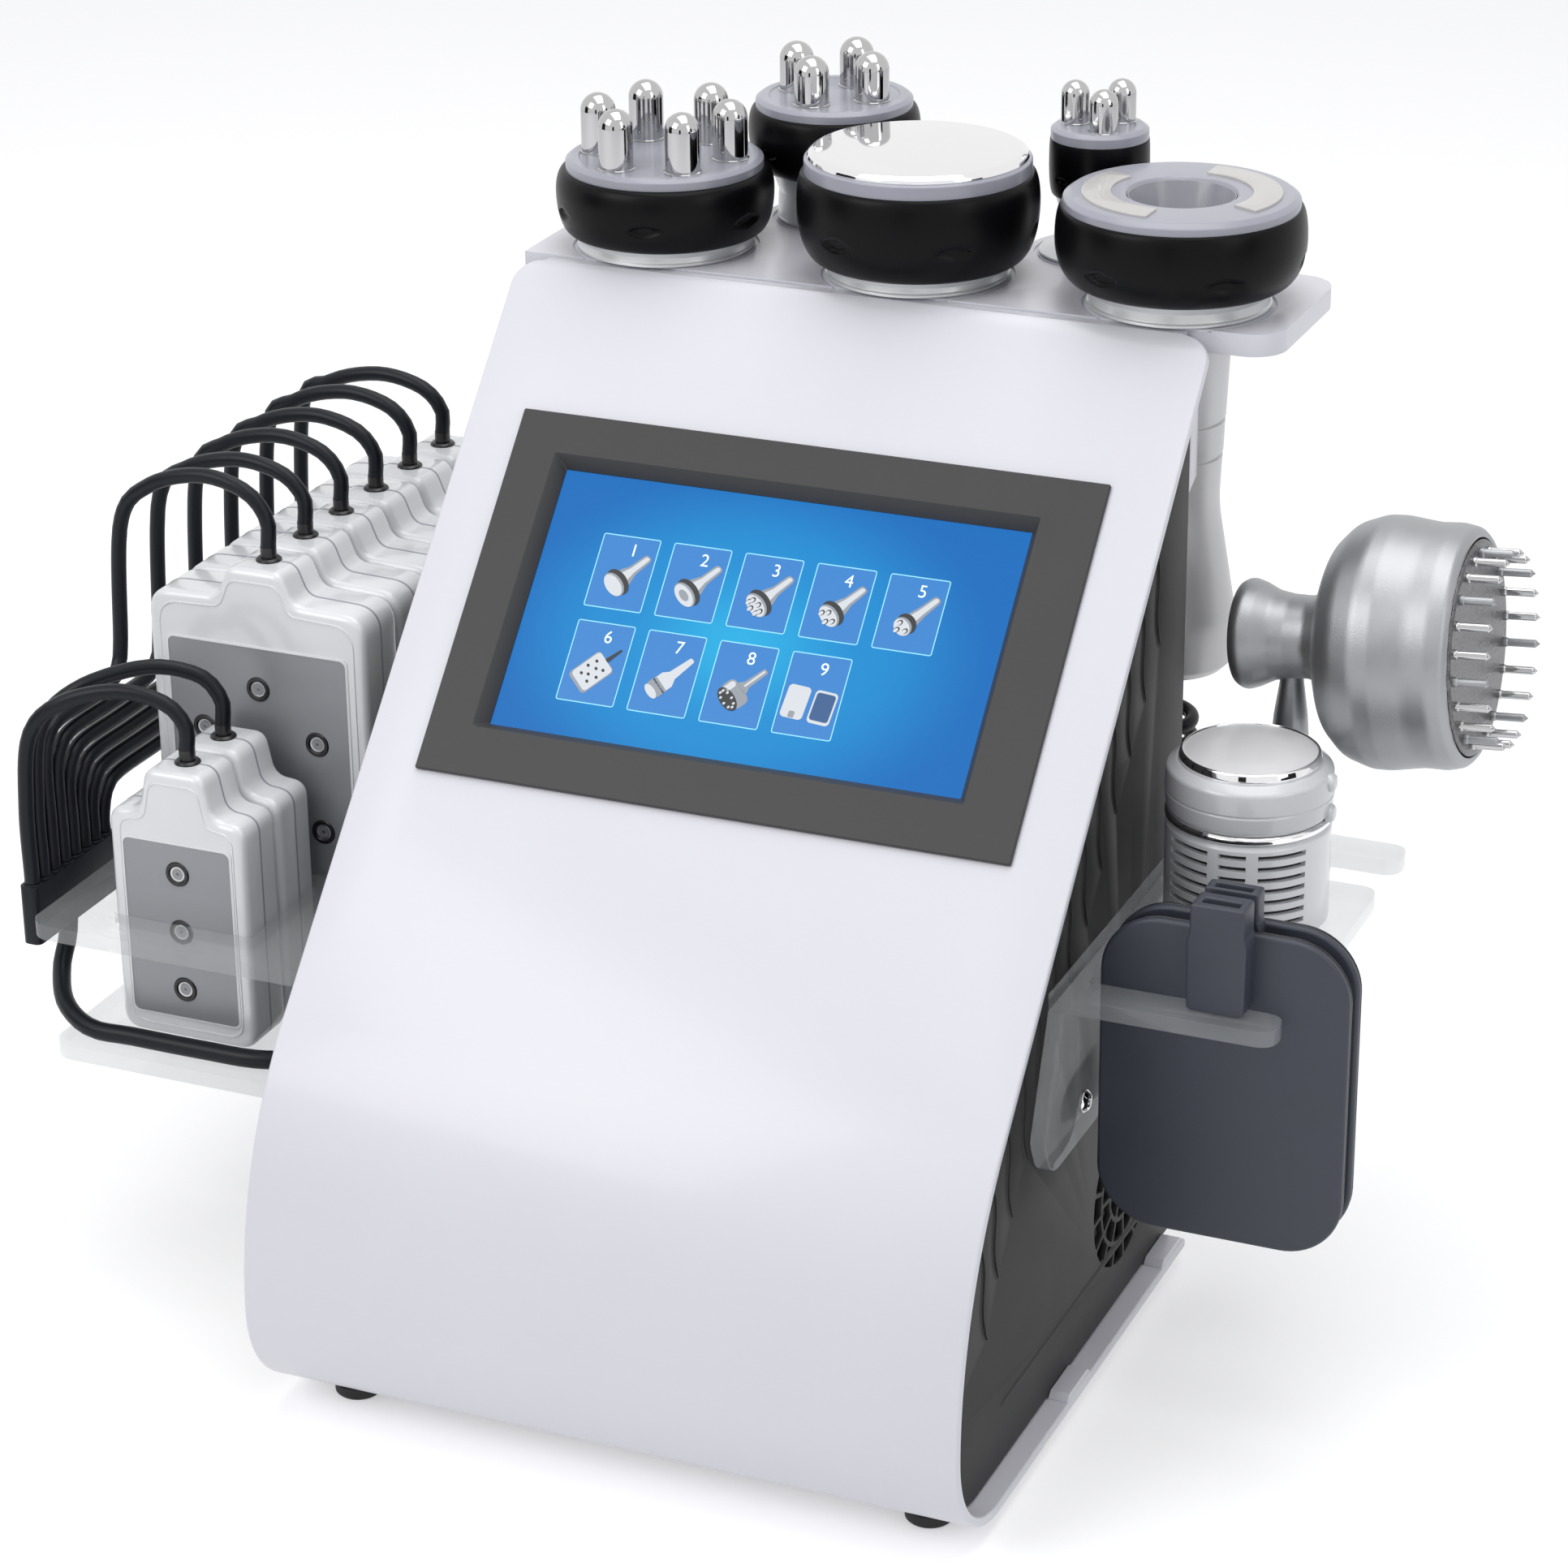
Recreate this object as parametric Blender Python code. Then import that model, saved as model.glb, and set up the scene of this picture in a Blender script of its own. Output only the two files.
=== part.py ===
"""A desktop skin and body care machine with five hand pieces, eight light pads and a tool rack.

Metres, +Z up. The machine's own frame has x = 0 in the middle of the body, y = 0 at the top
edge of the sloping front and z = 0 at the underside of the body. One empty moves that frame, so
that the world's origin is below the middle of the whole object, level with the feet.
"""
import math

import bmesh
import bpy
from mathutils import Matrix, Vector

CLEAR = 0.0003          # gap between two pieces that touch
OVERRUN = 0.002         # how far a cutter passes the face it cuts
ROUND = 16              # sides of a turned piece
FINE = 18               # sides of a large turned piece
SMALL = 8               # sides of a small turned piece
SHARP = math.radians(35)
WELD = 0.00001

# The body: one bent sheet for front and base, with a side panel set into each end
BODY_WIDTH = 0.2312
BODY_HEIGHT = 0.306
BODY_REAR = 0.0042
BASE_REAR = 0.0005
PANEL_TILT = math.radians(42.76)
FRONT_RADIUS = 0.1252
TOE_RADIUS = 0.035
SHEET = 0.003
SIDE_INSET = 0.007
SIDE_SHEET = 0.002
SIDE_GAP = 0.0009
REAR_SHEET = 0.0025
FRONT_ARC_STEPS = 10
TOE_ARC_STEPS = 6
PANEL_LENGTH = (BODY_HEIGHT - FRONT_RADIUS * math.sin(PANEL_TILT) - TOE_RADIUS) / math.cos(PANEL_TILT)
SIDE_FACE = BODY_WIDTH / 2 - SIDE_INSET
SIDE_BACK = SIDE_FACE - SIDE_SHEET

# Louvres in the side panels, and the grille over the fan
SLITS = 13
SLIT_FIRST = 0.0749
SLIT_PITCH = 0.0182
SLIT_HEIGHT = 0.034
SLIT_WIDTH = 0.0012
SLIT_SETBACK = 0.019
SLIT_SWING = 0.0016
SLIT_STEPS = 4
SLIT_DRIFT = 0.0058
GRILLE_Y = -0.044
GRILLE_Z = 0.044
GRILLE_RADIUS = 0.028
GRILLE_HOLE = 0.0038
GRILLE_PITCH = 0.0095

# The display and its frame, in the plane of the front
SCREEN_WIDTH = 0.1541
SCREEN_HEIGHT = 0.0859
SCREEN_X = -0.0022
SCREEN_TOP = 0.0649
SCREEN_DEPTH = 0.004
SCREEN_MARGIN = 0.004
SCREEN_THICKNESS = 0.005
BEZEL_X = -0.0002
BEZEL_WIDTH = 0.1936
BEZEL_HEIGHT = 0.1216
BEZEL_TOP = 0.0483
BEZEL_PROUD = 0.0015
BEZEL_WALL = 0.0022
BEZEL_FLARE = 0.0028
BOARD_GAP = 0.006
BOARD_THICKNESS = 0.0016
BOARD_MARGIN = 0.012
BOARD_PILLAR = 0.0035
CHIP_HEIGHT = 0.004
CHIP_SIDE = 0.022
CHIP_SPACING_SHARE = 1.5

# The tray that holds the hand pieces
TRAY_TOP = BODY_HEIGHT + 0.003
TRAY_THICKNESS = 0.007
TRAY_LEFT = -0.1155
TRAY_RIGHT = 0.134
TRAY_FRONT = -0.003
TRAY_REAR = 0.0715
TRAY_CORNER = 0.011
TRAY_HOLE = 0.023
TRAY_SMALL_HOLE = 0.0175
TRAY_LOBE_WALL = 0.0055
CORNER_STEPS = 4
BRACKET_X = SIDE_FACE - 0.0001
BRACKET_THICKNESS = 0.003
BRACKET_REACH = 0.0075
BRACKET_DROP = 0.045
TRAY_BOTTOM = TRAY_TOP - TRAY_THICKNESS
HEAD_TOP = TRAY_BOTTOM - CLEAR

# Feet, and what stands on the base inside
FOOT_RADIUS = 0.0075
FOOT_HEIGHT = 0.0045
FOOT_X = BODY_WIDTH / 2 - 0.0206
FOOT_FRONT = -0.174
FOOT_BACK = -0.012
SUPPLY_SIZE = (0.095, 0.055, 0.036)
SUPPLY_PLACE = (-0.045, -0.048)
PUMP_SIZE = (0.05, 0.045, 0.05)
PUMP_PLACE = (-0.055, -0.125)
PUMP_DRUM_RADIUS = 0.019
PUMP_DRUM_LENGTH = 0.03
FAN_SIDE = 0.06
FAN_DEPTH = 0.015
FAN_BORE = 0.028
FAN_HUB = 0.0115
FAN_BLADES = 7
FAN_BLADE_ROOT = 0.0025
FAN_BLADE_TIP = 0.0262
FAN_BLADE_THICKNESS = 0.0012
FAN_BLADE_PITCH = math.radians(38)
FAN_SPOKE = 0.003
FAN_ARMS = 3
FAN_ARM_START_SHARE = 0.5
FAN_ROTOR_DEPTH = 0.009

# Rear panel: mains inlet, rocker switch, sockets, vents
INLET_X = -0.055
INLET_Z = 0.03
INLET_WIDTH = 0.03
INLET_HEIGHT = 0.023
INLET_DEPTH = 0.02
INLET_WALL = 0.002
ROCKER_X = -0.018
ROCKER_WIDTH = 0.014
ROCKER_HEIGHT = 0.021
ROCKER_SINK = 0.004
ROCKER_LIFT = 0.0026
PLATE_LEFT = -0.106
PLATE_RIGHT = 0.105
PLATE_LOW = 0.012
PLATE_HIGH = 0.096
PLATE_THICKNESS = 0.002
STRIP_Z = 0.084
SOCKETS = 8
SOCKET_RADIUS = 0.0065
SOCKET_BORE = 0.0045
SOCKET_LENGTH = 0.007
SOCKET_FIRST = -0.0965
SOCKET_PITCH = 0.0274
VENTS = 9
VENT_WIDTH = 0.003
VENT_HEIGHT = 0.05
VENT_PITCH = 0.009
VENT_Z = 0.17


def material(name, colour, roughness, metallic=0.0, alpha=1.0):
    finish = bpy.data.materials.new(name)
    finish.use_nodes = True
    shader = finish.node_tree.nodes["Principled BSDF"]
    shader.inputs["Base Color"].default_value = (*colour, 1.0)
    shader.inputs["Roughness"].default_value = roughness
    shader.inputs["Metallic"].default_value = metallic
    shader.inputs["Transmission Weight"].default_value = 1.0 - alpha
    return finish


def new_object(name, shape, finish, parent, at=(0, 0, 0), turn=(0, 0, 0)):
    """Makes one object of a bmesh, with its faces pointing out."""
    bmesh.ops.recalc_face_normals(shape, faces=shape.faces)
    mesh = bpy.data.meshes.new(name)
    shape.to_mesh(mesh)
    shape.free()
    mesh.materials.append(finish)
    mesh.shade_smooth()
    mesh.set_sharp_from_angle(angle=SHARP)
    thing = bpy.data.objects.new(name, mesh)
    bpy.context.scene.collection.objects.link(thing)
    thing.parent = parent
    thing.location = at
    thing.rotation_euler = turn
    return thing


def empty(name, parent, at, turn=(0, 0, 0)):
    marker = bpy.data.objects.new(name, None)
    bpy.context.scene.collection.objects.link(marker)
    marker.parent = parent
    marker.location = at
    marker.rotation_euler = turn
    return marker


def combine(target, tool, operation):
    """Cuts with a tool object, or joins it, and leaves the tool out of the model."""
    tool.hide_render = True
    tool.display_type = "WIRE"
    change = target.modifiers.new(tool.name, "BOOLEAN")
    change.operation = operation
    change.object = tool
    change.solver = "EXACT"


def cut(target, tool):
    combine(target, tool, "DIFFERENCE")


def join(target, tool):
    combine(target, tool, "UNION")


def turned(shape, profile, sides=ROUND, ring=False, matrix=Matrix()):
    """Adds a turned solid. Its profile is (radius, height) points; ring closes it on itself."""
    rows = []
    for radius, height in profile:
        if radius == 0:
            rows.append([shape.verts.new(matrix @ Vector((0, 0, height)))])
            continue
        angles = (2 * math.pi * k / sides for k in range(sides))
        rows.append([shape.verts.new(matrix @ Vector((radius * math.cos(a), radius * math.sin(a), height)))
                     for a in angles])
    pairs = list(zip(rows, rows[1:])) + ([(rows[-1], rows[0])] if ring else [])
    for low, high in pairs:
        for k in range(sides):
            n = (k + 1) % sides
            corners = [low[k % len(low)], low[n % len(low)], high[n % len(high)], high[k % len(high)]]
            shape.faces.new(list(dict.fromkeys(corners)))


def prism(shape, outline, low, high, matrix=Matrix()):
    """Adds an outline in x and y, extruded from z = low to z = high."""
    floor = [shape.verts.new(matrix @ Vector((x, y, low))) for x, y in outline]
    roof = [shape.verts.new(matrix @ Vector((x, y, high))) for x, y in outline]
    shape.faces.new(floor[::-1])
    shape.faces.new(roof)
    for k in range(len(outline)):
        n = (k + 1) % len(outline)
        shape.faces.new([floor[k], floor[n], roof[n], roof[k]])


def block(shape, centre, size, matrix=Matrix()):
    x, y, z = (side / 2 for side in size)
    outline = [(centre[0] - x, centre[1] - y), (centre[0] + x, centre[1] - y),
               (centre[0] + x, centre[1] + y), (centre[0] - x, centre[1] + y)]
    prism(shape, outline, centre[2] - z, centre[2] + z, matrix)


def loops(shape, rows, closed=False, matrix=Matrix()):
    """Skins a row of outlines with as many points each, capped at both ends unless closed."""
    made = [[shape.verts.new(matrix @ Vector(point)) for point in row] for row in rows]
    count = len(made[0])
    for low, high in list(zip(made, made[1:])) + ([(made[-1], made[0])] if closed else []):
        for k in range(count):
            n = (k + 1) % count
            shape.faces.new([low[k], low[n], high[n], high[k]])
    if not closed:
        shape.faces.new(made[0][::-1])
        shape.faces.new(made[-1])


def rectangle(x, y, half_x, half_y, z):
    return [(x - half_x, y - half_y, z), (x + half_x, y - half_y, z),
            (x + half_x, y + half_y, z), (x - half_x, y + half_y, z)]


def arc(x, y, radius, start, end, steps):
    """Points of an arc, with both its ends, in degrees."""
    angles = (math.radians(start + (end - start) * k / steps) for k in range(steps + 1))
    return [(x + radius * math.cos(a), y + radius * math.sin(a)) for a in angles]


def rounded(left, right, low, high, radius, steps=CORNER_STEPS):
    """A rectangle's outline with four round corners."""
    return (arc(right - radius, low + radius, radius, -90, 0, steps)
            + arc(right - radius, high - radius, radius, 0, 90, steps)
            + arc(left + radius, high - radius, radius, 90, 180, steps)
            + arc(left + radius, low + radius, radius, 180, 270, steps))


# Turns an outline in (y, z) with its extrusion along x
SIDEWAYS = Matrix(((0, 0, 1, 0), (1, 0, 0, 0), (0, 1, 0, 0), (0, 0, 0, 1)))
# Turns an outline in (x, z) with its extrusion along y
UPRIGHT = Matrix(((1, 0, 0, 0), (0, 0, 1, 0), (0, 1, 0, 0), (0, 0, 0, 1)))
# The plane of the front: x across, y up the slope, z out of it
FRONT = Matrix.Translation((0, 0, BODY_HEIGHT)) @ Matrix.Rotation(math.pi / 2 - PANEL_TILT, 4, "X")


def skin(offset, top):
    """The front's outline in (y, z), set in by offset, from its top edge down to the flat base."""
    lean, slope = math.sin(PANEL_TILT), math.cos(PANEL_TILT)
    points = [(-(BODY_HEIGHT - top) * lean / slope + offset / slope, top)]
    end_y, end_z = -PANEL_LENGTH * lean, BODY_HEIGHT - PANEL_LENGTH * slope
    centre_y, centre_z = end_y + FRONT_RADIUS * slope, end_z - FRONT_RADIUS * lean
    start = 180 - math.degrees(PANEL_TILT)
    points += arc(centre_y, centre_z, FRONT_RADIUS - offset, start, 180, FRONT_ARC_STEPS)
    toe_y = centre_y - FRONT_RADIUS + TOE_RADIUS
    points += arc(toe_y, centre_z, TOE_RADIUS - offset, 180, 270, TOE_ARC_STEPS)[1:]
    return points


def along_skin(offset, distance):
    """The point of the inset front outline that lies a distance below its top edge."""
    points = skin(offset, BODY_HEIGHT)
    for (y0, z0), (y1, z1) in zip(points, points[1:]):
        step = math.hypot(y1 - y0, z1 - z0)
        if distance <= step:
            return y0 + (y1 - y0) * distance / step, z0 + (z1 - z0) * distance / step
        distance -= step
    return points[-1]


def make_wrap(machine, paint):
    outer = skin(0, HEAD_TOP) + [(BASE_REAR, 0)]
    inner = skin(SHEET, HEAD_TOP) + [(BASE_REAR, SHEET)]
    shape = bmesh.new()
    prism(shape, outer + inner[::-1], -BODY_WIDTH / 2, BODY_WIDTH / 2, SIDEWAYS)
    wrap = new_object("wrap_shell", shape, paint, machine)
    window = bmesh.new()
    room = BEZEL_WALL + CLEAR
    block(window, (SCREEN_X, -SCREEN_TOP - SCREEN_HEIGHT / 2, -SHEET / 2),
          (SCREEN_WIDTH + 2 * (BEZEL_FLARE + room), SCREEN_HEIGHT + 2 * (BEZEL_FLARE + room),
           SHEET + 2 * OVERRUN), FRONT)
    cut(wrap, new_object("screen_window", window, paint, machine))
    return wrap


def slit_outline(top_y, top_z):
    """A slim wave of a slot that runs down from a point of the side panel's front edge."""
    front, back = [], []
    for k in range(SLIT_STEPS + 1):
        share = k / SLIT_STEPS
        wave = SLIT_SWING * math.sin(2 * math.pi * share)
        y = top_y + SLIT_SETBACK + wave + SLIT_DRIFT * share
        z = top_z - SLIT_HEIGHT * share
        half = SLIT_WIDTH / 2 * (1 if 0 < k < SLIT_STEPS else 0.6)
        front.append((y - half, z))
        back.append((y + half, z))
    return front + back[::-1]


def make_side(machine, coat, side, name):
    """A side panel with its louvres, and the fan's grille on the right one."""
    offset = SHEET + SIDE_GAP
    outline = skin(offset, HEAD_TOP) + [(BODY_REAR, offset), (BODY_REAR, HEAD_TOP)]
    low, high = sorted((side * SIDE_BACK, side * SIDE_FACE))
    shape = bmesh.new()
    prism(shape, outline, low, high, SIDEWAYS)
    panel = new_object(name, shape, coat, machine)
    slits = bmesh.new()
    for k in range(SLITS):
        start = along_skin(offset, SLIT_FIRST + k * SLIT_PITCH)
        prism(slits, slit_outline(*start), low - OVERRUN, high + OVERRUN, SIDEWAYS)
    if side > 0:
        for y, z in grille_holes():
            hexagon = arc(y, z, GRILLE_HOLE, 30, 330, 5)
            prism(slits, hexagon, low - OVERRUN, high + OVERRUN, SIDEWAYS)
    cut(panel, new_object(name + "_slits", slits, coat, machine))
    return panel


def grille_holes():
    """Centres of a honeycomb inside a circle."""
    reach = int(GRILLE_RADIUS / GRILLE_PITCH) + 1
    for row in range(-reach, reach + 1):
        for column in range(-reach, reach + 1):
            y = GRILLE_PITCH * (column + row / 2)
            z = GRILLE_PITCH * row * math.sqrt(3) / 2
            if math.hypot(y, z) + GRILLE_HOLE <= GRILLE_RADIUS:
                yield GRILLE_Y + y, GRILLE_Z + z


def make_rear(machine, coat):
    """The rear panel between the side panels, with holes for what is mounted in it."""
    half = SIDE_BACK - CLEAR
    front = BODY_REAR - REAR_SHEET
    shape = bmesh.new()
    prism(shape, [(-half, SHEET + CLEAR), (half, SHEET + CLEAR), (half, HEAD_TOP), (-half, HEAD_TOP)],
          front, BODY_REAR, UPRIGHT)
    panel = new_object("rear_panel", shape, coat, machine)
    holes = bmesh.new()
    reach = (front - OVERRUN, BODY_REAR + OVERRUN)
    add_hole(holes, INLET_X, INLET_Z, INLET_WIDTH, INLET_HEIGHT, reach)
    add_hole(holes, ROCKER_X, INLET_Z, ROCKER_WIDTH + 2 * CLEAR, ROCKER_HEIGHT + 2 * CLEAR, reach)
    for k in range(VENTS):
        x = VENT_PITCH * (k - (VENTS - 1) / 2)
        add_hole(holes, x, VENT_Z, VENT_WIDTH, VENT_HEIGHT, reach)
    cut(panel, new_object("rear_holes", holes, coat, machine))
    return panel


def add_hole(shape, x, z, width, height, reach):
    outline = [(x - width / 2, z - height / 2), (x + width / 2, z - height / 2),
               (x + width / 2, z + height / 2), (x - width / 2, z + height / 2)]
    prism(shape, outline, *reach, UPRIGHT)


def make_screen(machine, dark, glass, green):
    """The bezel with its sunk neck, the display under it, and the board on pillars behind."""
    middle = -SCREEN_TOP - SCREEN_HEIGHT / 2
    flange = (BEZEL_X, -BEZEL_TOP - BEZEL_HEIGHT / 2, BEZEL_WIDTH / 2, BEZEL_HEIGHT / 2)
    half_x, half_y = SCREEN_WIDTH / 2, SCREEN_HEIGHT / 2
    neck_x, neck_y = half_x + BEZEL_FLARE + BEZEL_WALL, half_y + BEZEL_FLARE + BEZEL_WALL
    floor = -SCREEN_DEPTH + CLEAR
    shape = bmesh.new()
    loops(shape, [rectangle(SCREEN_X, middle, half_x, half_y, floor),
                  rectangle(SCREEN_X, middle, neck_x, neck_y, floor),
                  rectangle(SCREEN_X, middle, neck_x, neck_y, CLEAR),
                  rectangle(*flange, CLEAR),
                  rectangle(*flange, BEZEL_PROUD),
                  rectangle(SCREEN_X, middle, half_x + BEZEL_FLARE, half_y + BEZEL_FLARE, BEZEL_PROUD)],
          closed=True, matrix=FRONT)
    new_object("screen_bezel", shape, dark, machine)
    shape = bmesh.new()
    block(shape, (SCREEN_X, middle, -SCREEN_DEPTH - SCREEN_THICKNESS / 2),
          (SCREEN_WIDTH + 2 * SCREEN_MARGIN, SCREEN_HEIGHT + 2 * SCREEN_MARGIN, SCREEN_THICKNESS), FRONT)
    display = new_object("display_module", shape, glass, machine)
    add_board(machine, display, green, middle)


def add_board(machine, display, green, middle):
    """The circuit board on four pillars behind the display, with its chips."""
    back = -SCREEN_DEPTH - SCREEN_THICKNESS
    width, height = SCREEN_WIDTH - 2 * BOARD_MARGIN, SCREEN_HEIGHT - 2 * BOARD_MARGIN
    plate = back - BOARD_GAP
    shape = bmesh.new()
    block(shape, (SCREEN_X, middle, plate - BOARD_THICKNESS / 2), (width, height, BOARD_THICKNESS), FRONT)
    board = new_object("main_board", shape, green, machine)
    pillars, chips = bmesh.new(), bmesh.new()
    for side_x in (-1, 1):
        for side_y in (-1, 1):
            x = SCREEN_X + side_x * (width / 2 - 2 * BOARD_PILLAR)
            y = middle + side_y * (height / 2 - 2 * BOARD_PILLAR)
            low, high = plate - BOARD_THICKNESS / 2, back + SCREEN_THICKNESS / 2
            turned(pillars, [(0, low), (BOARD_PILLAR, low), (BOARD_PILLAR, high), (0, high)], SMALL,
                   matrix=FRONT @ Matrix.Translation((x, y, 0)))
    for step in (-1, 0, 1):
        x = SCREEN_X + step * CHIP_SPACING_SHARE * CHIP_SIDE
        block(chips, (x, middle, plate - BOARD_THICKNESS - CHIP_HEIGHT / 2 + BOARD_THICKNESS / 2),
              (CHIP_SIDE, CHIP_SIDE, CHIP_HEIGHT + BOARD_THICKNESS), FRONT)
    join(display, new_object("board_pillars", pillars, green, machine))
    join(display, board)
    join(display, new_object("board_chips", chips, green, machine))


def tray_outline(lobes):
    """The tray seen from above: three round corners, and a lobe round each rear hole."""
    left, right, corner = TRAY_LEFT, TRAY_RIGHT, TRAY_CORNER
    points = [(left, TRAY_FRONT)]
    points += arc(right - corner, TRAY_FRONT + corner, corner, -90, 0, CORNER_STEPS)
    points += arc(right - corner, TRAY_REAR - corner, corner, 0, 90, CORNER_STEPS)
    for x, y, radius in sorted(lobes, reverse=True):
        start = math.degrees(math.asin((TRAY_REAR - y) / radius))
        points += arc(x, y, radius, start, 180 - start, 2 * CORNER_STEPS)
    points += arc(left + corner, TRAY_REAR - corner, corner, 90, 180, CORNER_STEPS)
    return points


def make_tray(machine, paint, front_places, rear_places):
    lobes = [(x, y, TRAY_SMALL_HOLE + TRAY_LOBE_WALL) for x, y in rear_places]
    shape = bmesh.new()
    prism(shape, tray_outline(lobes), TRAY_BOTTOM, TRAY_TOP)
    tray = new_object("handle_tray", shape, paint, machine)
    brackets = bmesh.new()
    near = BODY_REAR + CLEAR
    for side in (-1, 1):
        low, high = sorted((side * BRACKET_X, side * (BRACKET_X - BRACKET_THICKNESS)))
        prism(brackets, [(near, TRAY_BOTTOM + TRAY_THICKNESS / 2), (near, TRAY_BOTTOM - BRACKET_DROP),
                         (near + BRACKET_REACH, TRAY_BOTTOM - BRACKET_DROP + BRACKET_REACH / 2),
                         (near + BRACKET_REACH, TRAY_BOTTOM + TRAY_THICKNESS / 2)], low, high, SIDEWAYS)
    join(tray, new_object("tray_brackets", brackets, paint, machine))
    holes = bmesh.new()
    for places, radius in ((front_places, TRAY_HOLE), (rear_places, TRAY_SMALL_HOLE)):
        for x, y in places:
            low, high = TRAY_BOTTOM - OVERRUN, TRAY_TOP + OVERRUN
            turned(holes, [(0, low), (radius, low), (radius, high), (0, high)], FINE,
                   matrix=Matrix.Translation((x, y, 0)))
    cut(tray, new_object("tray_holes", holes, paint, machine))

# Hand pieces. Heights are above the tray's top; a shaft's are below it.
GRIP_STEPS = 3
EDGE = 0.001
CORE_RISE = 0.002
SHAFT_END = 0.118
SHAFT_WAIST = 0.064
SHAFT_FLARE = 0.018
SHAFT_TIP = 0.003
GLAND_RADIUS = 0.0045
GLAND_LENGTH = 0.006
LIFT_SHARE = 1.1
HAND_PIECES = {
    "body_rf": {"x": -0.0769, "y": 0.0305, "base": 0.02835, "neck": 0.0275, "grip_low": 0.0053,
                "grip_widest": 0.0186, "grip_top": 0.0258, "grip_foot": 0.0295, "grip_radius": 0.03475,
                "plate_radius": 0.0315, "plate_top": 0.0295, "core": 0.019,
                "under": 0.0165, "waist": 0.014, "flare": 0.02},
    "cavitation": {"x": 0.0095, "y": 0.0305, "base": 0.029, "neck": 0.028, "grip_low": 0.0053,
                   "grip_widest": 0.0235, "grip_top": 0.033, "grip_foot": 0.03, "grip_radius": 0.038,
                   "plate_radius": 0.0355, "plate_top": 0.0377, "core": 0.02,
                   "under": 0.0165, "waist": 0.014, "flare": 0.02},
    "vacuum": {"x": 0.0953, "y": 0.0305, "base": 0.0284, "neck": 0.0274, "grip_low": 0.007,
               "grip_widest": 0.021, "grip_top": 0.031, "grip_foot": 0.0295, "grip_radius": 0.0384,
               "plate_radius": 0.03615, "plate_top": 0.0346, "core": 0.022,
               "under": 0.0165, "waist": 0.014, "flare": 0.02},
    "face_rf": {"x": -0.0388, "y": 0.0792, "base": 0.0188, "neck": 0.0182, "grip_low": 0.0165,
                "grip_widest": 0.0299, "grip_top": 0.037, "grip_foot": 0.021, "grip_radius": 0.02785,
                "plate_radius": 0.02545, "plate_top": 0.0406, "core": 0.014,
                "under": 0.0162, "waist": 0.013, "flare": 0.0165},
    "eye_rf": {"x": 0.0542, "y": 0.0722, "base": 0.0188, "neck": 0.0115, "grip_low": 0.0193,
               "grip_widest": 0.0293, "grip_top": 0.0373, "grip_foot": 0.0145, "grip_radius": 0.01585,
               "plate_radius": 0.01545, "plate_top": 0.0413, "core": 0.009,
               "under": 0.0162, "waist": 0.013, "flare": 0.0165},
}
FRONT_PIECES = ("body_rf", "cavitation", "vacuum")
REAR_PIECES = ("face_rf", "eye_rf")
# Round electrodes: how many, their radius, the radius of their circle and the height of their tips
PINS = {
    "body_rf": {"count": 6, "radius": 0.0056, "circle": 0.0215, "top": 0.0482, "turn": math.radians(10)},
    "face_rf": {"count": 4, "radius": 0.0056, "circle": 0.0141, "top": 0.0561, "turn": math.radians(-8.6)},
    "eye_rf": {"count": 3, "radius": 0.0045, "circle": 0.0085, "top": 0.0545, "turn": math.radians(-63)},
}
DISC_RADIUS = 0.034
DISC_TOP = 0.0404
CUP_RADIUS = 0.0175
CUP_DEPTH = 0.013
CUP_FLOOR_SHARE = 0.72
BALL_RADIUS = 0.005
KIDNEY_INNER = 0.0225
KIDNEY_OUTER = 0.0305
KIDNEY_SPAN = 66
KIDNEY_TURN = 10
KIDNEY_RISE = 0.0006
KIDNEY_STEPS = 6

# Light pads in the left rack
PAD_SMALL = {"width": 0.0485, "shoulder": 0.077, "height": 0.092, "neck": 0.022, "depth": 0.0205,
             "label_width": 0.038, "label_low": 0.008, "label_high": 0.068}
PAD_LARGE = {"width": 0.078, "shoulder": 0.131, "height": 0.142, "neck": 0.0195, "depth": 0.0225,
             "label_width": 0.064, "label_low": 0.026, "label_high": 0.116}
PAD_CORNER = 0.006
PAD_SHOULDER_RADIUS = 0.009
PAD_EDGE = 0.0022
LABEL_SINK = 0.0004
LENS_RADIUS = 0.0039
LENS_SINK = 0.0016
LENS_GAP_SMALL = 0.02
LENS_FIRST_SMALL = 0.018
LENS_CIRCLE = 0.0265
LENS_SQUEEZE_SHARES = ((0, 1.17), (0.77, 0.57), (0.79, -0.57), (0, -1.17), (-0.79, -0.57), (-0.77, 0.57))
LENS_CENTRE = 0.071
SMALL_PADS = 2
LARGE_PADS = 6
SMALL_PITCH = 0.0223
LARGE_PITCH = 0.024
SMALL_X = -0.1757
SMALL_FRONT = -0.129
LARGE_X = -0.1722
LARGE_FRONT = -0.079
PAD_LIFT = 0.06

# Left rack: one bent acrylic piece with two floors
ACRYLIC = 0.005
LEFT_RACK_LOW = 0.080
LEFT_RACK_HIGH = 0.121
LEFT_RACK_LOW_REACH = -0.217
LEFT_RACK_HIGH_REACH = -0.222
LEFT_RACK_FRONT = -0.1465
LEFT_RACK_BACK = 0.07
PAD_ROOM = 0.0009
CABLE_HOLE_FRONT = 0.018
CABLE_HOLE_BACK = 0.06

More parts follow.
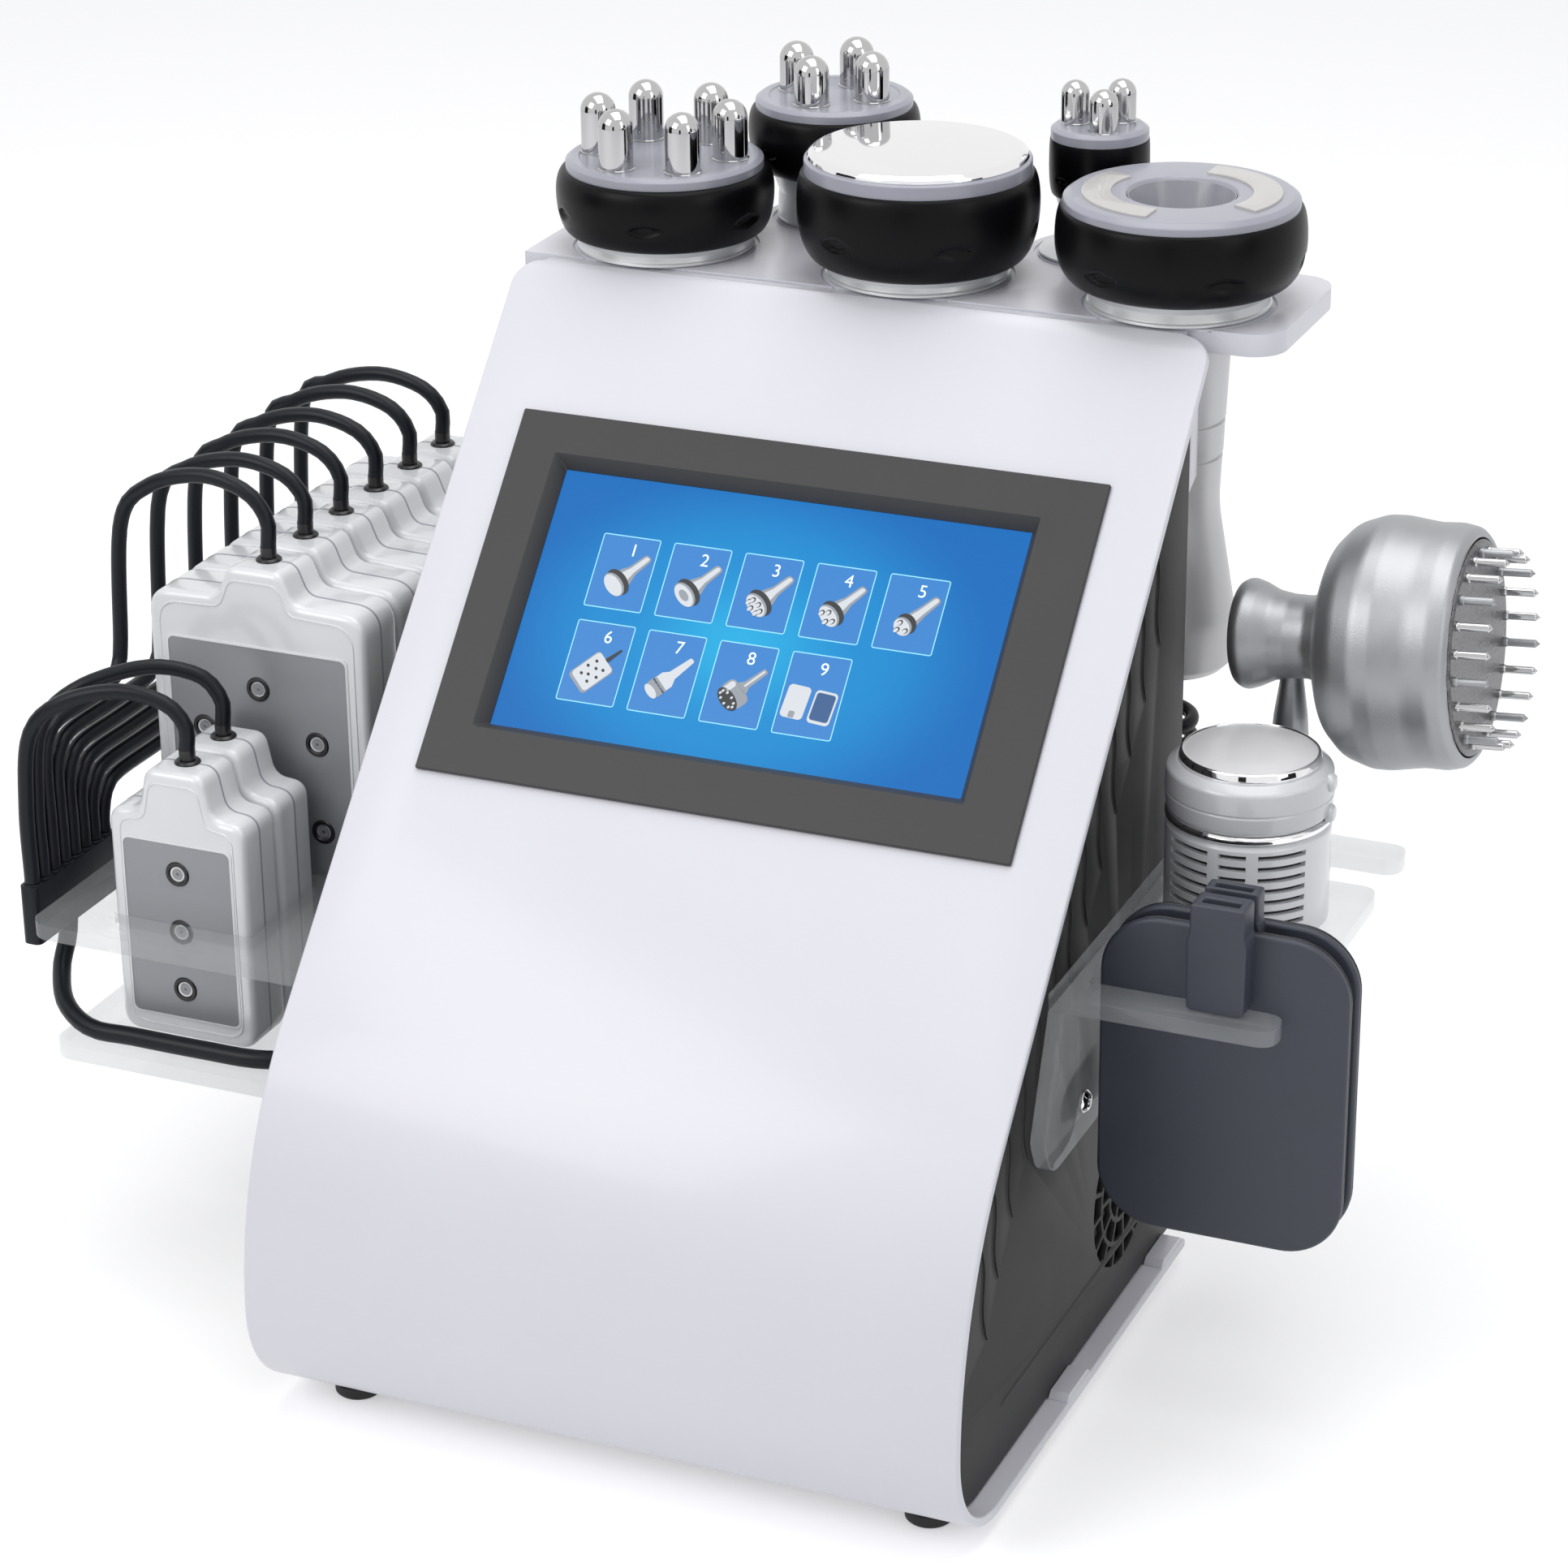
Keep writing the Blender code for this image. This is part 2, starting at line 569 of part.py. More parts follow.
# Leads of the light pads, and the flat joiner that gathers them beside the upper floor
LEAD_RADIUS = 0.0025
LANE_X = -0.2295
LANE_FIRST = -0.1295
LANE_PITCH = 0.0062
LANE_TOP = 0.126
LEAD_RISES = {"small_1": 0.0175, "small_2": 0.019, "large_1": 0.021, "large_2": 0.0185, "large_3": 0.019,
              "large_4": 0.0185, "large_5": 0.019, "large_6": 0.018}
LEAD_ARCH_SHARES = ((0, 0, 0), (0, 0, 0.45), (0.13, 0.05, 0.85), (0.41, 0.3, 1), (0.74, 0.75, 0.72),
                    (0.94, 0.98, 0.05))
LEAD_BEND = 0.011
LEAD_BEND_SHARE = 0.29
LEAD_STEP = 0.015
JOINER_DEPTH = 0.0066
JOINER_LOW = 0.106
TRUNK_RADIUS = 0.003
TRUNK_FLOOR = LEFT_RACK_LOW + TRUNK_RADIUS + 2 * CLEAR
TRUNK_STEP = 0.0165

# Right rack: a comb of acrylic on a flange
RIGHT_RACK_TOP = 0.143
RIGHT_RACK_REACH = 0.1775
FLANGE_LOW = 0.088
FLANGE_FRONT = -0.1215
FLANGE_LEAN = 0.0095
FLANGE_CORNER = 0.013
FINGER_ROOT = 0.117
FINGERS = ((-0.117, -0.104), (-0.0991, -0.0943), (-0.089, -0.009), (0.011, 0.0247))
FINGER_CORNER = 0.005
ROD_SLOT_ROOT = 0.1342
HAMMER_HOLE = 0.019

# Muscle-stimulation pads that hang on the rack's fingers by their bosses
EMS_X = 0.158
EMS_WIDTH = 0.0775
EMS_LOW = 0.065
EMS_HIGH = 0.168
EMS_THICKNESS = 0.004
EMS_CORNER = 0.013
BOSS_WIDTH = 0.018
BOSS_TOP = 0.177
EMS_FACES = {"front": (-0.1035, 0.0085), "back": (-0.0939, 0.0049)}
PLUG_SLOT_WIDTH = 0.011
PLUG_SLOT_DEPTH = 0.012
PLUG_SLOT_GAP = 0.0032
EMS_LIFT = 0.04

# Cold hammer that stands in the rack's hole
HAMMER_X = 0.1447
HAMMER_Y = -0.041
HAMMER_RADIUS = 0.025
HAMMER_GRIP = 0.018
HAMMER_GRIP_LENGTH = 0.073
HAMMER_BARREL = 0.0325
HAMMER_SLOT_ROWS = 5
HAMMER_SLOT_COLUMNS = 5
HAMMER_SLOT_PITCH = 0.005
HAMMER_SLOT_HEIGHT = 0.0022
HAMMER_SLOT_FIRST = 0.0038
HAMMER_SLOT_WIDTH = 0.0185
HAMMER_SLOT_DEPTH = 0.0022
COLD_RADIUS = 0.0254
COLD_GROOVE = 0.0014
COLD_RING_TOP = 0.051
COLD_DISC_RADIUS = 0.021
COLD_DISC_TOP = 0.0542
BUTTON_RADIUS = 0.003
BUTTON_PROUD = 0.0013
BUTTON_TRAVEL = 0.0009
BUTTON_WELL = 0.0024
BUTTON_HEIGHTS = (0.0468, 0.037)

# Head with needles on its rod. Its drum lies along x with the needle end tilted up
BIO_X = 0.1442
BIO_Y = 0.001
BIO_Z = 0.2174
BIO_TILT = math.radians(4.5)
BIO_TIP = 0.069
DRUM_PROFILE = ((0, -0.0165), (0.0155, -0.0165), (0.0173, -0.0135), (0.016, -0.0095), (0.0138, -0.005),
                (0.0129, 0), (0.0127, 0.006), (0.0145, 0.0105), (0.022, 0.0118), (0.03, 0.0148),
                (0.0358, 0.0205), (0.0385, 0.0285), (0.0385, 0.034), (0.037, 0.044), (0.0372, 0.051),
                (0.0362, 0.0555))
DRUM_RIM = 0.0345
DRUM_FACE = 0.057
DRUM_SINK = 0.003
RIM_RADIUS = 0.033
NEEDLES = 22
NEEDLE_CIRCLE = 0.029
NEEDLE_RADIUS = 0.0009
ROD_COLLAR = 0.0115
ROD_COLLAR_HEIGHT = 0.003
ROD_PROFILE = ((0.006, -0.036), (0.0052, -0.0255), (0.0034, -0.0125), (0.003, -0.009), (0, -0.008))
ROD_CONE_RADIUS = 0.0075
ROD_CONE_HEIGHT = 0.012
ROD_STUB = 0.0094
ROD_STUB_LENGTH = 0.014
BIO_LIFT = 0.03

# The vacuum hand piece's curly cord
CORD_RADIUS = 0.00225
CURLS = 11
CURL_POINTS = 8
CURL_RADIUS = 0.0075
CURL_PITCH = 0.0065
CORD_LEAD_IN = 0.005
CORD_BEND = 0.018
CORD_BEND_STEPS = 5


def hand_piece_grip(piece):
    """Outline of the rubber ring: a barrel outside, a straight bore inside."""
    bore = (piece["core"] + CLEAR) / math.cos(math.pi / FINE)
    low, mid, top = piece["grip_low"], piece["grip_widest"], piece["grip_top"]
    points = [(bore, top), (bore, low)]
    for k in range(-GRIP_STEPS, GRIP_STEPS + 1):
        angle = math.pi / 2 * k / GRIP_STEPS
        edge = piece["grip_foot"] if k < 0 else min(piece["plate_radius"], piece["grip_radius"])
        reach = (low - mid) if k < 0 else (top - mid)
        points.append((edge + (piece["grip_radius"] - edge) * math.cos(angle),
                       mid + reach * abs(math.sin(angle))))
    return points


def make_hand_piece(machine, name, piece, finishes):
    """Shell, rubber grip and plate of one hand piece, on an empty at its seat in the tray."""
    seat = empty(name + "_seat", machine, (piece["x"], piece["y"], TRAY_TOP))
    low, core = piece["grip_low"], piece["core"]
    under, waist, flare = piece["under"], piece["waist"], piece["flare"]
    foot = -SHAFT_END
    profile = [(0, foot - GLAND_LENGTH), (GLAND_RADIUS, foot - GLAND_LENGTH), (GLAND_RADIUS, foot),
               (flare - SHAFT_TIP, foot), (flare, foot + SHAFT_TIP), (flare, foot + SHAFT_FLARE),
               (waist, -SHAFT_WAIST), (under, -TRAY_THICKNESS - EDGE), (under, CLEAR),
               (piece["base"], CLEAR), (piece["neck"], low / 2),
               (piece["grip_foot"], low - CLEAR), (core, low - CLEAR),
               (core, low + CORE_RISE), (0, low + CORE_RISE)]
    shape = bmesh.new()
    turned(shape, profile, ROUND)
    new_object(name + "_shell", shape, finishes["silver"], seat)
    shape = bmesh.new()
    turned(shape, hand_piece_grip(piece), FINE, ring=True)
    new_object(name + "_grip", shape, finishes["rubber"], seat)
    radius, top, rest = piece["plate_radius"], piece["plate_top"], piece["grip_top"] + CLEAR
    profile = [(0, low + CORE_RISE + CLEAR), (core, low + CORE_RISE + CLEAR), (core, rest),
               (radius, rest), (radius, top - EDGE), (radius - EDGE, top)]
    return seat, profile


def make_pin_plate(name, piece, pins, finishes, machine):
    seat, profile = make_hand_piece(machine, name, piece, finishes)
    shape = bmesh.new()
    turned(shape, profile + [(0, piece["plate_top"])], FINE)
    plate = new_object(name + "_electrodes", shape, finishes["pale"], seat)
    shape = bmesh.new()
    radius, top = pins["radius"], pins["top"]
    low = (piece["plate_top"] + piece["grip_top"]) / 2
    for k in range(pins["count"]):
        angle = pins["turn"] + 2 * math.pi * k / pins["count"]
        place = Matrix.Translation((pins["circle"] * math.cos(angle), pins["circle"] * math.sin(angle), 0))
        turned(shape, [(0, low), (radius, low), (radius, top - radius), (radius * 0.72, top - radius * 0.3),
                       (0, top)], SMALL, matrix=place)
    join(plate, new_object(name + "_pins", shape, finishes["chrome"], seat))


def make_cavitation_plate(piece, finishes, machine):
    seat, profile = make_hand_piece(machine, "cavitation", piece, finishes)
    shape = bmesh.new()
    turned(shape, profile + [(DISC_RADIUS, piece["plate_top"]), (DISC_RADIUS, DISC_TOP - EDGE),
                             (DISC_RADIUS - EDGE, DISC_TOP), (0, DISC_TOP)], FINE)
    new_object("cavitation_disc", shape, finishes["chrome"], seat)


def make_vacuum_plate(piece, finishes, machine):
    seat, profile = make_hand_piece(machine, "vacuum", piece, finishes)
    top = piece["plate_top"]
    floor = top - CUP_DEPTH
    shape = bmesh.new()
    turned(shape, profile + [(CUP_RADIUS + EDGE, top), (CUP_RADIUS, top - EDGE),
                             (CUP_RADIUS * CUP_FLOOR_SHARE, floor), (BALL_RADIUS, floor),
                             (BALL_RADIUS * 0.7, floor + BALL_RADIUS * 0.7), (0, floor + BALL_RADIUS)], FINE)
    plate = new_object("vacuum_cup", shape, finishes["pale"], seat)
    shape = bmesh.new()
    for side in (0, 180):
        start = side + KIDNEY_TURN - KIDNEY_SPAN / 2
        outline = (arc(0, 0, KIDNEY_OUTER, start, start + KIDNEY_SPAN, KIDNEY_STEPS)
                   + arc(0, 0, KIDNEY_INNER, start + KIDNEY_SPAN, start, KIDNEY_STEPS))
        prism(shape, outline, top - EDGE, top + KIDNEY_RISE)
    join(plate, new_object("vacuum_kidneys", shape, finishes["chrome"], seat))
    return seat


def pad_outline(pad):
    """A pad seen from the front, in (x, height): a box with round shoulders and a short neck."""
    half, neck = pad["width"] / 2, pad["neck"] / 2
    shoulder, top, corner, round_off = pad["shoulder"], pad["height"], PAD_CORNER, PAD_SHOULDER_RADIUS
    hollow = min(top - shoulder, round_off)
    right = (arc(half - corner, corner, corner, -90, 0, 2)
             + arc(half - round_off, shoulder - round_off, round_off, 0, 80, 3)
             + arc(neck + hollow, shoulder + hollow, hollow, 260, 180, 2)
             + [(neck, top - EDGE), (neck - EDGE, top)])
    return right + [(-x, z) for x, z in right[::-1]]


def pad_mesh_object(name, pad, lenses, finishes, parent, at):
    """One light pad with its sunk label field, lens wells and the lead's gland."""
    depth = pad["depth"]
    shape = bmesh.new()
    prism(shape, pad_outline(pad), 0, depth, UPRIGHT)
    thing = new_object(name, shape, finishes["white"], parent, at)
    soften = thing.modifiers.new("soft edges", "BEVEL")
    soften.width = PAD_EDGE
    soften.segments = 1
    soften.limit_method = "ANGLE"
    soften.angle_limit = math.radians(60)
    gland = bmesh.new()
    top = pad["height"]
    turned(gland, [(0, top - GLAND_LENGTH), (GLAND_RADIUS, top - GLAND_LENGTH), (GLAND_RADIUS, top + EDGE),
                   (LEAD_RADIUS + EDGE, top + GLAND_LENGTH / 2), (0, top + GLAND_LENGTH / 2)], SMALL,
           matrix=Matrix.Translation((0, depth / 2, 0)))
    join(thing, new_object(name + "_gland", gland, finishes["white"], parent, at))
    wells = bmesh.new()
    label = pad["label_high"] - pad["label_low"]
    block(wells, (0, (LABEL_SINK - OVERRUN) / 2, pad["label_low"] + label / 2),
          (pad["label_width"], LABEL_SINK + OVERRUN, label))
    cut(thing, new_object(name + "_label", wells, finishes["white"], parent, at))
    wells = bmesh.new()
    for x, z in lenses:
        prism(wells, arc(x, z, LENS_RADIUS, 0, 300, 5), -OVERRUN, LENS_SINK, UPRIGHT)
    cut(thing, new_object(name + "_wells", wells, finishes["white"], parent, at))
    return thing


def make_pads(machine, finishes):
    floor = LEFT_RACK_LOW + CLEAR
    small = [(0, LENS_FIRST_SMALL + k * LENS_GAP_SMALL) for k in range(3)]
    large = [(LENS_CIRCLE * x, LENS_CENTRE + LENS_CIRCLE * z) for x, z in LENS_SQUEEZE_SHARES]
    for k in range(SMALL_PADS):
        at = (SMALL_X, SMALL_FRONT + k * SMALL_PITCH, floor)
        pad_mesh_object(f"small_pad_{k + 1}", PAD_SMALL, small, finishes, machine, at)
    for k in range(LARGE_PADS):
        at = (LARGE_X, LARGE_FRONT + k * LARGE_PITCH, floor)
        pad_mesh_object(f"large_pad_{k + 1}", PAD_LARGE, large, finishes, machine, at)


def smooth_path(points, step):
    """Points about a step apart on a smooth curve through the given ones."""
    ends = [2 * points[0] - points[1]] + points + [2 * points[-1] - points[-2]]
    fine = []
    for a, b, c, d in zip(ends, ends[1:], ends[2:], ends[3:]):
        for k in range(16):
            t = k / 16
            fine.append(0.5 * (2 * b + (c - a) * t + (2 * a - 5 * b + 4 * c - d) * t * t
                               + (3 * b - a - 3 * c + d) * t ** 3))
    fine.append(points[-1])
    length = sum((q - p).length for p, q in zip(fine, fine[1:]))
    count = max(4, round(length / step))
    path, walked = [fine[0]], 0
    for p, q in zip(fine, fine[1:]):
        walked += (q - p).length
        if walked >= length * len(path) / count and len(path) < count:
            path.append(q)
    return path + [fine[-1]]


def tube(name, path, radius, finish, parent, sides=2):
    curve = bpy.data.curves.new(name, "CURVE")
    curve.dimensions = "3D"
    curve.bevel_depth = radius
    curve.bevel_resolution = sides
    curve.use_fill_caps = True
    curve.render_resolution_u = 0
    spline = curve.splines.new("POLY")
    spline.points.add(len(path) - 1)
    for point, place in zip(spline.points, path):
        point.co = (*place, 1)
    curve.materials.append(finish)
    thing = bpy.data.objects.new(name, curve)
    bpy.context.scene.collection.objects.link(thing)
    thing.parent = parent
    return thing


def lead_route(start, lane_y, run, rise):
    """A lead's route: up out of its gland, over the pad's side and down to its lane.

    A lead with a run turns forward at that height beside the pads, below the leads before it.
    One without moves forward while it is still above its pad.
    """
    x, y, z = start
    across = LANE_X - x
    ahead = 0 if run else lane_y - y
    points = [Vector((x + across * x_share, y + ahead * y_share, z + rise * z_share))
              for x_share, y_share, z_share in LEAD_ARCH_SHARES]
    last = LANE_TOP + 2 * CLEAR
    if run:
        turn_in, turn_out = y - LEAD_BEND, lane_y + LEAD_BEND
        drop = LEAD_BEND * LEAD_BEND_SHARE
        points += [Vector((LANE_X, y, run + LEAD_BEND)), Vector((LANE_X, y - drop, run + drop)),
                   Vector((LANE_X, turn_in, run))]
        spans = max(1, round((turn_in - turn_out) / (2 * LEAD_BEND)))
        points += [Vector((LANE_X, turn_in + (turn_out - turn_in) * k / spans, run))
                   for k in range(1, spans + 1)]
        points += [Vector((LANE_X, lane_y + drop, run - drop)), Vector((LANE_X, lane_y, run - LEAD_BEND))]
    if points[-1].z > last + LEAD_BEND:
        points.append(Vector((LANE_X, lane_y, (points[-1].z + last) / 2)))
    return points + [Vector((LANE_X, lane_y, last))]


def make_leads(machine, black):
    tops = {"small": (PAD_SMALL, SMALL_X, SMALL_FRONT, SMALL_PITCH, SMALL_PADS),
            "large": (PAD_LARGE, LARGE_X, LARGE_FRONT, LARGE_PITCH, LARGE_PADS)}
    lane = 0
    for size, (pad, x, front, pitch, count) in tops.items():
        for k in range(count):
            name = f"{size}_{k + 1}"
            start = (x, front + k * pitch + pad["depth"] / 2,
                     LEFT_RACK_LOW + pad["height"] + GLAND_LENGTH / 2 + 5 * CLEAR)
            step = SMALL_PADS + LARGE_PADS - lane
            run = LANE_TOP + LEAD_BEND + step * LANE_PITCH if size == "large" else None
            route = lead_route(start, LANE_FIRST + lane * LANE_PITCH, run, LEAD_RISES[name])
            tube("lead_" + name, smooth_path(route, LEAD_STEP), LEAD_RADIUS, black, machine)
            lane += 1


def make_harness(machine, black):
    """The joiner, and one trunk from it along the lower floor to its socket at the rear."""
    lanes = SMALL_PADS + LARGE_PADS
    middle = LANE_FIRST + (lanes - 1) * LANE_PITCH / 2
    width = (lanes - 1) * LANE_PITCH + 2 * LEAD_RADIUS + 2 * EDGE
    route = [(LANE_X, middle - 0.002, JOINER_LOW + 0.004), (LANE_X, middle - 0.004, 0.1),
             (-0.2275, middle - 0.012, 0.0925), (-0.219, -0.132, 0.087), (-0.206, -0.1388, TRUNK_FLOOR),
             (-0.19, -0.1392, TRUNK_FLOOR), (-0.165, -0.1392, TRUNK_FLOOR), (-0.144, -0.138, TRUNK_FLOOR),
             (-0.1285, -0.129, TRUNK_FLOOR), (-0.1225, -0.112, TRUNK_FLOOR), (-0.122, -0.08, TRUNK_FLOOR),
             (-0.122, -0.04, TRUNK_FLOOR), (-0.1225, 0, TRUNK_FLOOR), (-0.1228, 0.02, TRUNK_FLOOR),
             (-0.1195, 0.0345, TRUNK_FLOOR), (-0.1096, 0.0405, TRUNK_FLOOR), (-0.1, 0.0345, TRUNK_FLOOR),
             (SOCKET_FIRST, 0.022, STRIP_Z), (SOCKET_FIRST, BODY_REAR + PLATE_THICKNESS + 3 * CLEAR, STRIP_Z)]
    path = smooth_path([Vector(point) for point in route], TRUNK_STEP)
    shape = bmesh.new()
    outline = rounded(LANE_X - JOINER_DEPTH / 2, LANE_X + JOINER_DEPTH / 2, middle - width / 2,
                      middle + width / 2, JOINER_DEPTH / 3, 2)
    prism(shape, outline, JOINER_LOW, LANE_TOP)
    harness = new_object("laser_harness", shape, black, machine)
    join(harness, as_mesh(tube("harness_route", path, TRUNK_RADIUS, black, machine), "harness_trunk"))


def as_mesh(thing, name):
    """Turns a curve object into a mesh object, with its caps sewn on."""
    graph = bpy.context.evaluated_depsgraph_get()
    mesh = bpy.data.meshes.new_from_object(thing.evaluated_get(graph))
    shape = bmesh.new()
    shape.from_mesh(mesh)
    bmesh.ops.remove_doubles(shape, verts=shape.verts, dist=WELD)
    finish, parent = thing.data.materials[0], thing.parent
    bpy.data.objects.remove(thing)
    return new_object(name, shape, finish, parent)


def make_left_rack(machine, clear):
    wall = -SIDE_FACE - CLEAR
    low, high, thick = LEFT_RACK_LOW, LEFT_RACK_HIGH, ACRYLIC
    shape = bmesh.new()
    prism(shape, [(wall, low - thick), (wall, high), (LEFT_RACK_HIGH_REACH, high),
                  (LEFT_RACK_HIGH_REACH, high - thick), (wall - thick, high - thick), (wall - thick, low),
                  (LEFT_RACK_LOW_REACH, low), (LEFT_RACK_LOW_REACH, low - thick)],
          LEFT_RACK_FRONT, LEFT_RACK_BACK, UPRIGHT)
    rack = new_object("left_rack", shape, clear, machine)
    windows = bmesh.new()
    for pad, x, front, pitch, count in ((PAD_SMALL, SMALL_X, SMALL_FRONT, SMALL_PITCH, SMALL_PADS),
                                        (PAD_LARGE, LARGE_X, LARGE_FRONT, LARGE_PITCH, LARGE_PADS)):
        outline = rounded(x - pad["width"] / 2 - PAD_ROOM, x + pad["width"] / 2 + PAD_ROOM,
                          front - PAD_ROOM, front + (count - 1) * pitch + pad["depth"] + PAD_ROOM, EDGE, 1)
        prism(windows, outline, high - thick - OVERRUN, high + OVERRUN)
    prism(windows, rounded(CABLE_HOLE_FRONT, CABLE_HOLE_BACK, low + CLEAR, high - thick - EDGE, 3 * EDGE, 2),
          wall - thick - OVERRUN, wall + OVERRUN, SIDEWAYS)
    cut(rack, new_object("left_rack_windows", windows, clear, machine))


def comb_outline():
    """The right shelf seen from above: fingers with round ends and the gaps between them."""
    points = [(SIDE_FACE + CLEAR, FINGERS[0][0])]
    for k, (front, back) in enumerate(FINGERS):
        corner = min((back - front) / 2 - CLEAR, FINGER_CORNER)
        points += arc(RIGHT_RACK_REACH - corner, front + corner, corner, -90, 0, 3)
        points += arc(RIGHT_RACK_REACH - corner, back - corner, corner, 0, 90, 3)
        if k + 1 < len(FINGERS):
            root = ROD_SLOT_ROOT if k == len(FINGERS) - 2 else FINGER_ROOT
            points += [(root, back), (root, FINGERS[k + 1][0])]
    return points + [(SIDE_FACE + CLEAR, FINGERS[-1][1])]


def make_right_rack(machine, clear):
    wall = SIDE_FACE + CLEAR
    shape = bmesh.new()
    prism(shape, comb_outline(), RIGHT_RACK_TOP - ACRYLIC, RIGHT_RACK_TOP)
    rack = new_object("right_rack", shape, clear, machine)
    flange = bmesh.new()
    lean = FLANGE_FRONT - FLANGE_LEAN
    middle = RIGHT_RACK_TOP - ACRYLIC / 2
    outline = [(BODY_REAR, middle), (FLANGE_FRONT + ACRYLIC, middle), (lean, FLANGE_LOW + FLANGE_CORNER),
               (lean + FLANGE_CORNER * 0.3, FLANGE_LOW + FLANGE_CORNER * 0.3),
               (lean + FLANGE_CORNER, FLANGE_LOW), (BODY_REAR, FLANGE_LOW)]
    prism(flange, outline, wall, wall + ACRYLIC, SIDEWAYS)
    join(rack, new_object("right_rack_flange", flange, clear, machine))
    hole = bmesh.new()
    turned(hole, [(0, RIGHT_RACK_TOP - ACRYLIC - OVERRUN), (HAMMER_HOLE, RIGHT_RACK_TOP - ACRYLIC - OVERRUN),
                  (HAMMER_HOLE, RIGHT_RACK_TOP + OVERRUN), (0, RIGHT_RACK_TOP + OVERRUN)], ROUND,
           matrix=Matrix.Translation((HAMMER_X, HAMMER_Y, 0)))
    cut(rack, new_object("hammer_hole", hole, clear, machine))


def make_ems_pad(machine, name, face, boss_depth, grey):
    """A flat pad whose boss stands on a finger of the rack, with the plug's slot in its top."""
    seat = empty(name + "_seat", machine, (EMS_X, face, RIGHT_RACK_TOP + CLEAR))
    low, high = EMS_LOW - RIGHT_RACK_TOP, EMS_HIGH - RIGHT_RACK_TOP
    top = BOSS_TOP - RIGHT_RACK_TOP
    shape = bmesh.new()
    prism(shape, rounded(-EMS_WIDTH / 2, EMS_WIDTH / 2, low, high, EMS_CORNER), 0, EMS_THICKNESS, UPRIGHT)
    pad = new_object(name, shape, grey, seat)
    boss = bmesh.new()
    prism(boss, rounded(-BOSS_WIDTH / 2, BOSS_WIDTH / 2, 0, top, 2 * EDGE, 2), -boss_depth,
          EMS_THICKNESS - EDGE, UPRIGHT)
    join(pad, new_object(name + "_boss", boss, grey, seat))
    slot = bmesh.new()
    block(slot, (0, -boss_depth / 2 + EDGE / 2, top - (PLUG_SLOT_DEPTH - OVERRUN) / 2),
          (PLUG_SLOT_WIDTH, PLUG_SLOT_GAP, PLUG_SLOT_DEPTH + OVERRUN))
    cut(pad, new_object(name + "_slot", slot, grey, seat))


def make_hammer(machine, finishes):
    seat = empty("hammer_seat", machine, (HAMMER_X, HAMMER_Y, RIGHT_RACK_TOP))
    grip, foot, barrel = HAMMER_GRIP, -HAMMER_GRIP_LENGTH, HAMMER_BARREL
    shape = bmesh.new()
    turned(shape, [(0, foot), (grip - 3 * EDGE, foot), (grip, foot + 3 * EDGE), (grip, CLEAR),
                   (HAMMER_RADIUS - EDGE, CLEAR), (HAMMER_RADIUS, CLEAR + EDGE),
                   (HAMMER_RADIUS, barrel - EDGE), (HAMMER_RADIUS - EDGE, barrel), (0, barrel)], FINE)
    body = new_object("hammer_body", shape, finishes["white"], seat)
    slots = bmesh.new()
    for column in range(HAMMER_SLOT_COLUMNS):
        turn = Matrix.Rotation(2 * math.pi * (column + 0.2) / HAMMER_SLOT_COLUMNS, 4, "Z")
        for row in range(HAMMER_SLOT_ROWS):
            z = HAMMER_SLOT_FIRST + row * HAMMER_SLOT_PITCH
            block(slots, (HAMMER_RADIUS, 0, z), (2 * HAMMER_SLOT_DEPTH, HAMMER_SLOT_WIDTH, HAMMER_SLOT_HEIGHT),
                  turn)
    cut(body, new_object("hammer_slots", slots, finishes["white"], seat))
    low = barrel + CLEAR
    profile = [(0, low), (COLD_RADIUS - EDGE, low), (COLD_RADIUS, low + EDGE), (COLD_RADIUS, BUTTON_HEIGHTS[1] + 0.0044),
               (COLD_RADIUS - COLD_GROOVE, BUTTON_HEIGHTS[1] + 0.0052),
               (COLD_RADIUS, BUTTON_HEIGHTS[1] + 0.006), (COLD_RADIUS, COLD_RING_TOP - EDGE),
               (COLD_RADIUS - EDGE, COLD_RING_TOP), (COLD_DISC_RADIUS, COLD_RING_TOP),
               (COLD_DISC_RADIUS, COLD_DISC_TOP - EDGE), (COLD_DISC_RADIUS - EDGE, COLD_DISC_TOP),
               (0, COLD_DISC_TOP)]
    shape = bmesh.new()
    turned(shape, profile, FINE)
    head = new_object("hammer_cold_head", shape, finishes["chrome"], seat)
    wells = bmesh.new()
    floor = COLD_RADIUS - BUTTON_WELL
    for k, height in enumerate(BUTTON_HEIGHTS):
        across = Matrix.Translation((0, 0, height)) @ Matrix.Rotation(math.pi / 2, 4, "Y")
        well = BUTTON_RADIUS + CLEAR
        turned(wells, [(0, floor), (well, floor), (well, COLD_RADIUS + OVERRUN), (0, COLD_RADIUS + OVERRUN)],
               SMALL, matrix=across)
        shape = bmesh.new()
        base = floor + BUTTON_TRAVEL + CLEAR
        turned(shape, [(0, base), (BUTTON_RADIUS, base), (BUTTON_RADIUS, COLD_RADIUS + BUTTON_PROUD - EDGE / 2),
                       (BUTTON_RADIUS - EDGE / 2, COLD_RADIUS + BUTTON_PROUD), (0, COLD_RADIUS + BUTTON_PROUD)],
               SMALL, matrix=Matrix.Rotation(math.pi / 2, 4, "Y"))
        new_object(f"hammer_button_{k + 1}", shape, finishes["pale"], seat, (0, 0, height))
    cut(head, new_object("hammer_wells", wells, finishes["chrome"], seat))


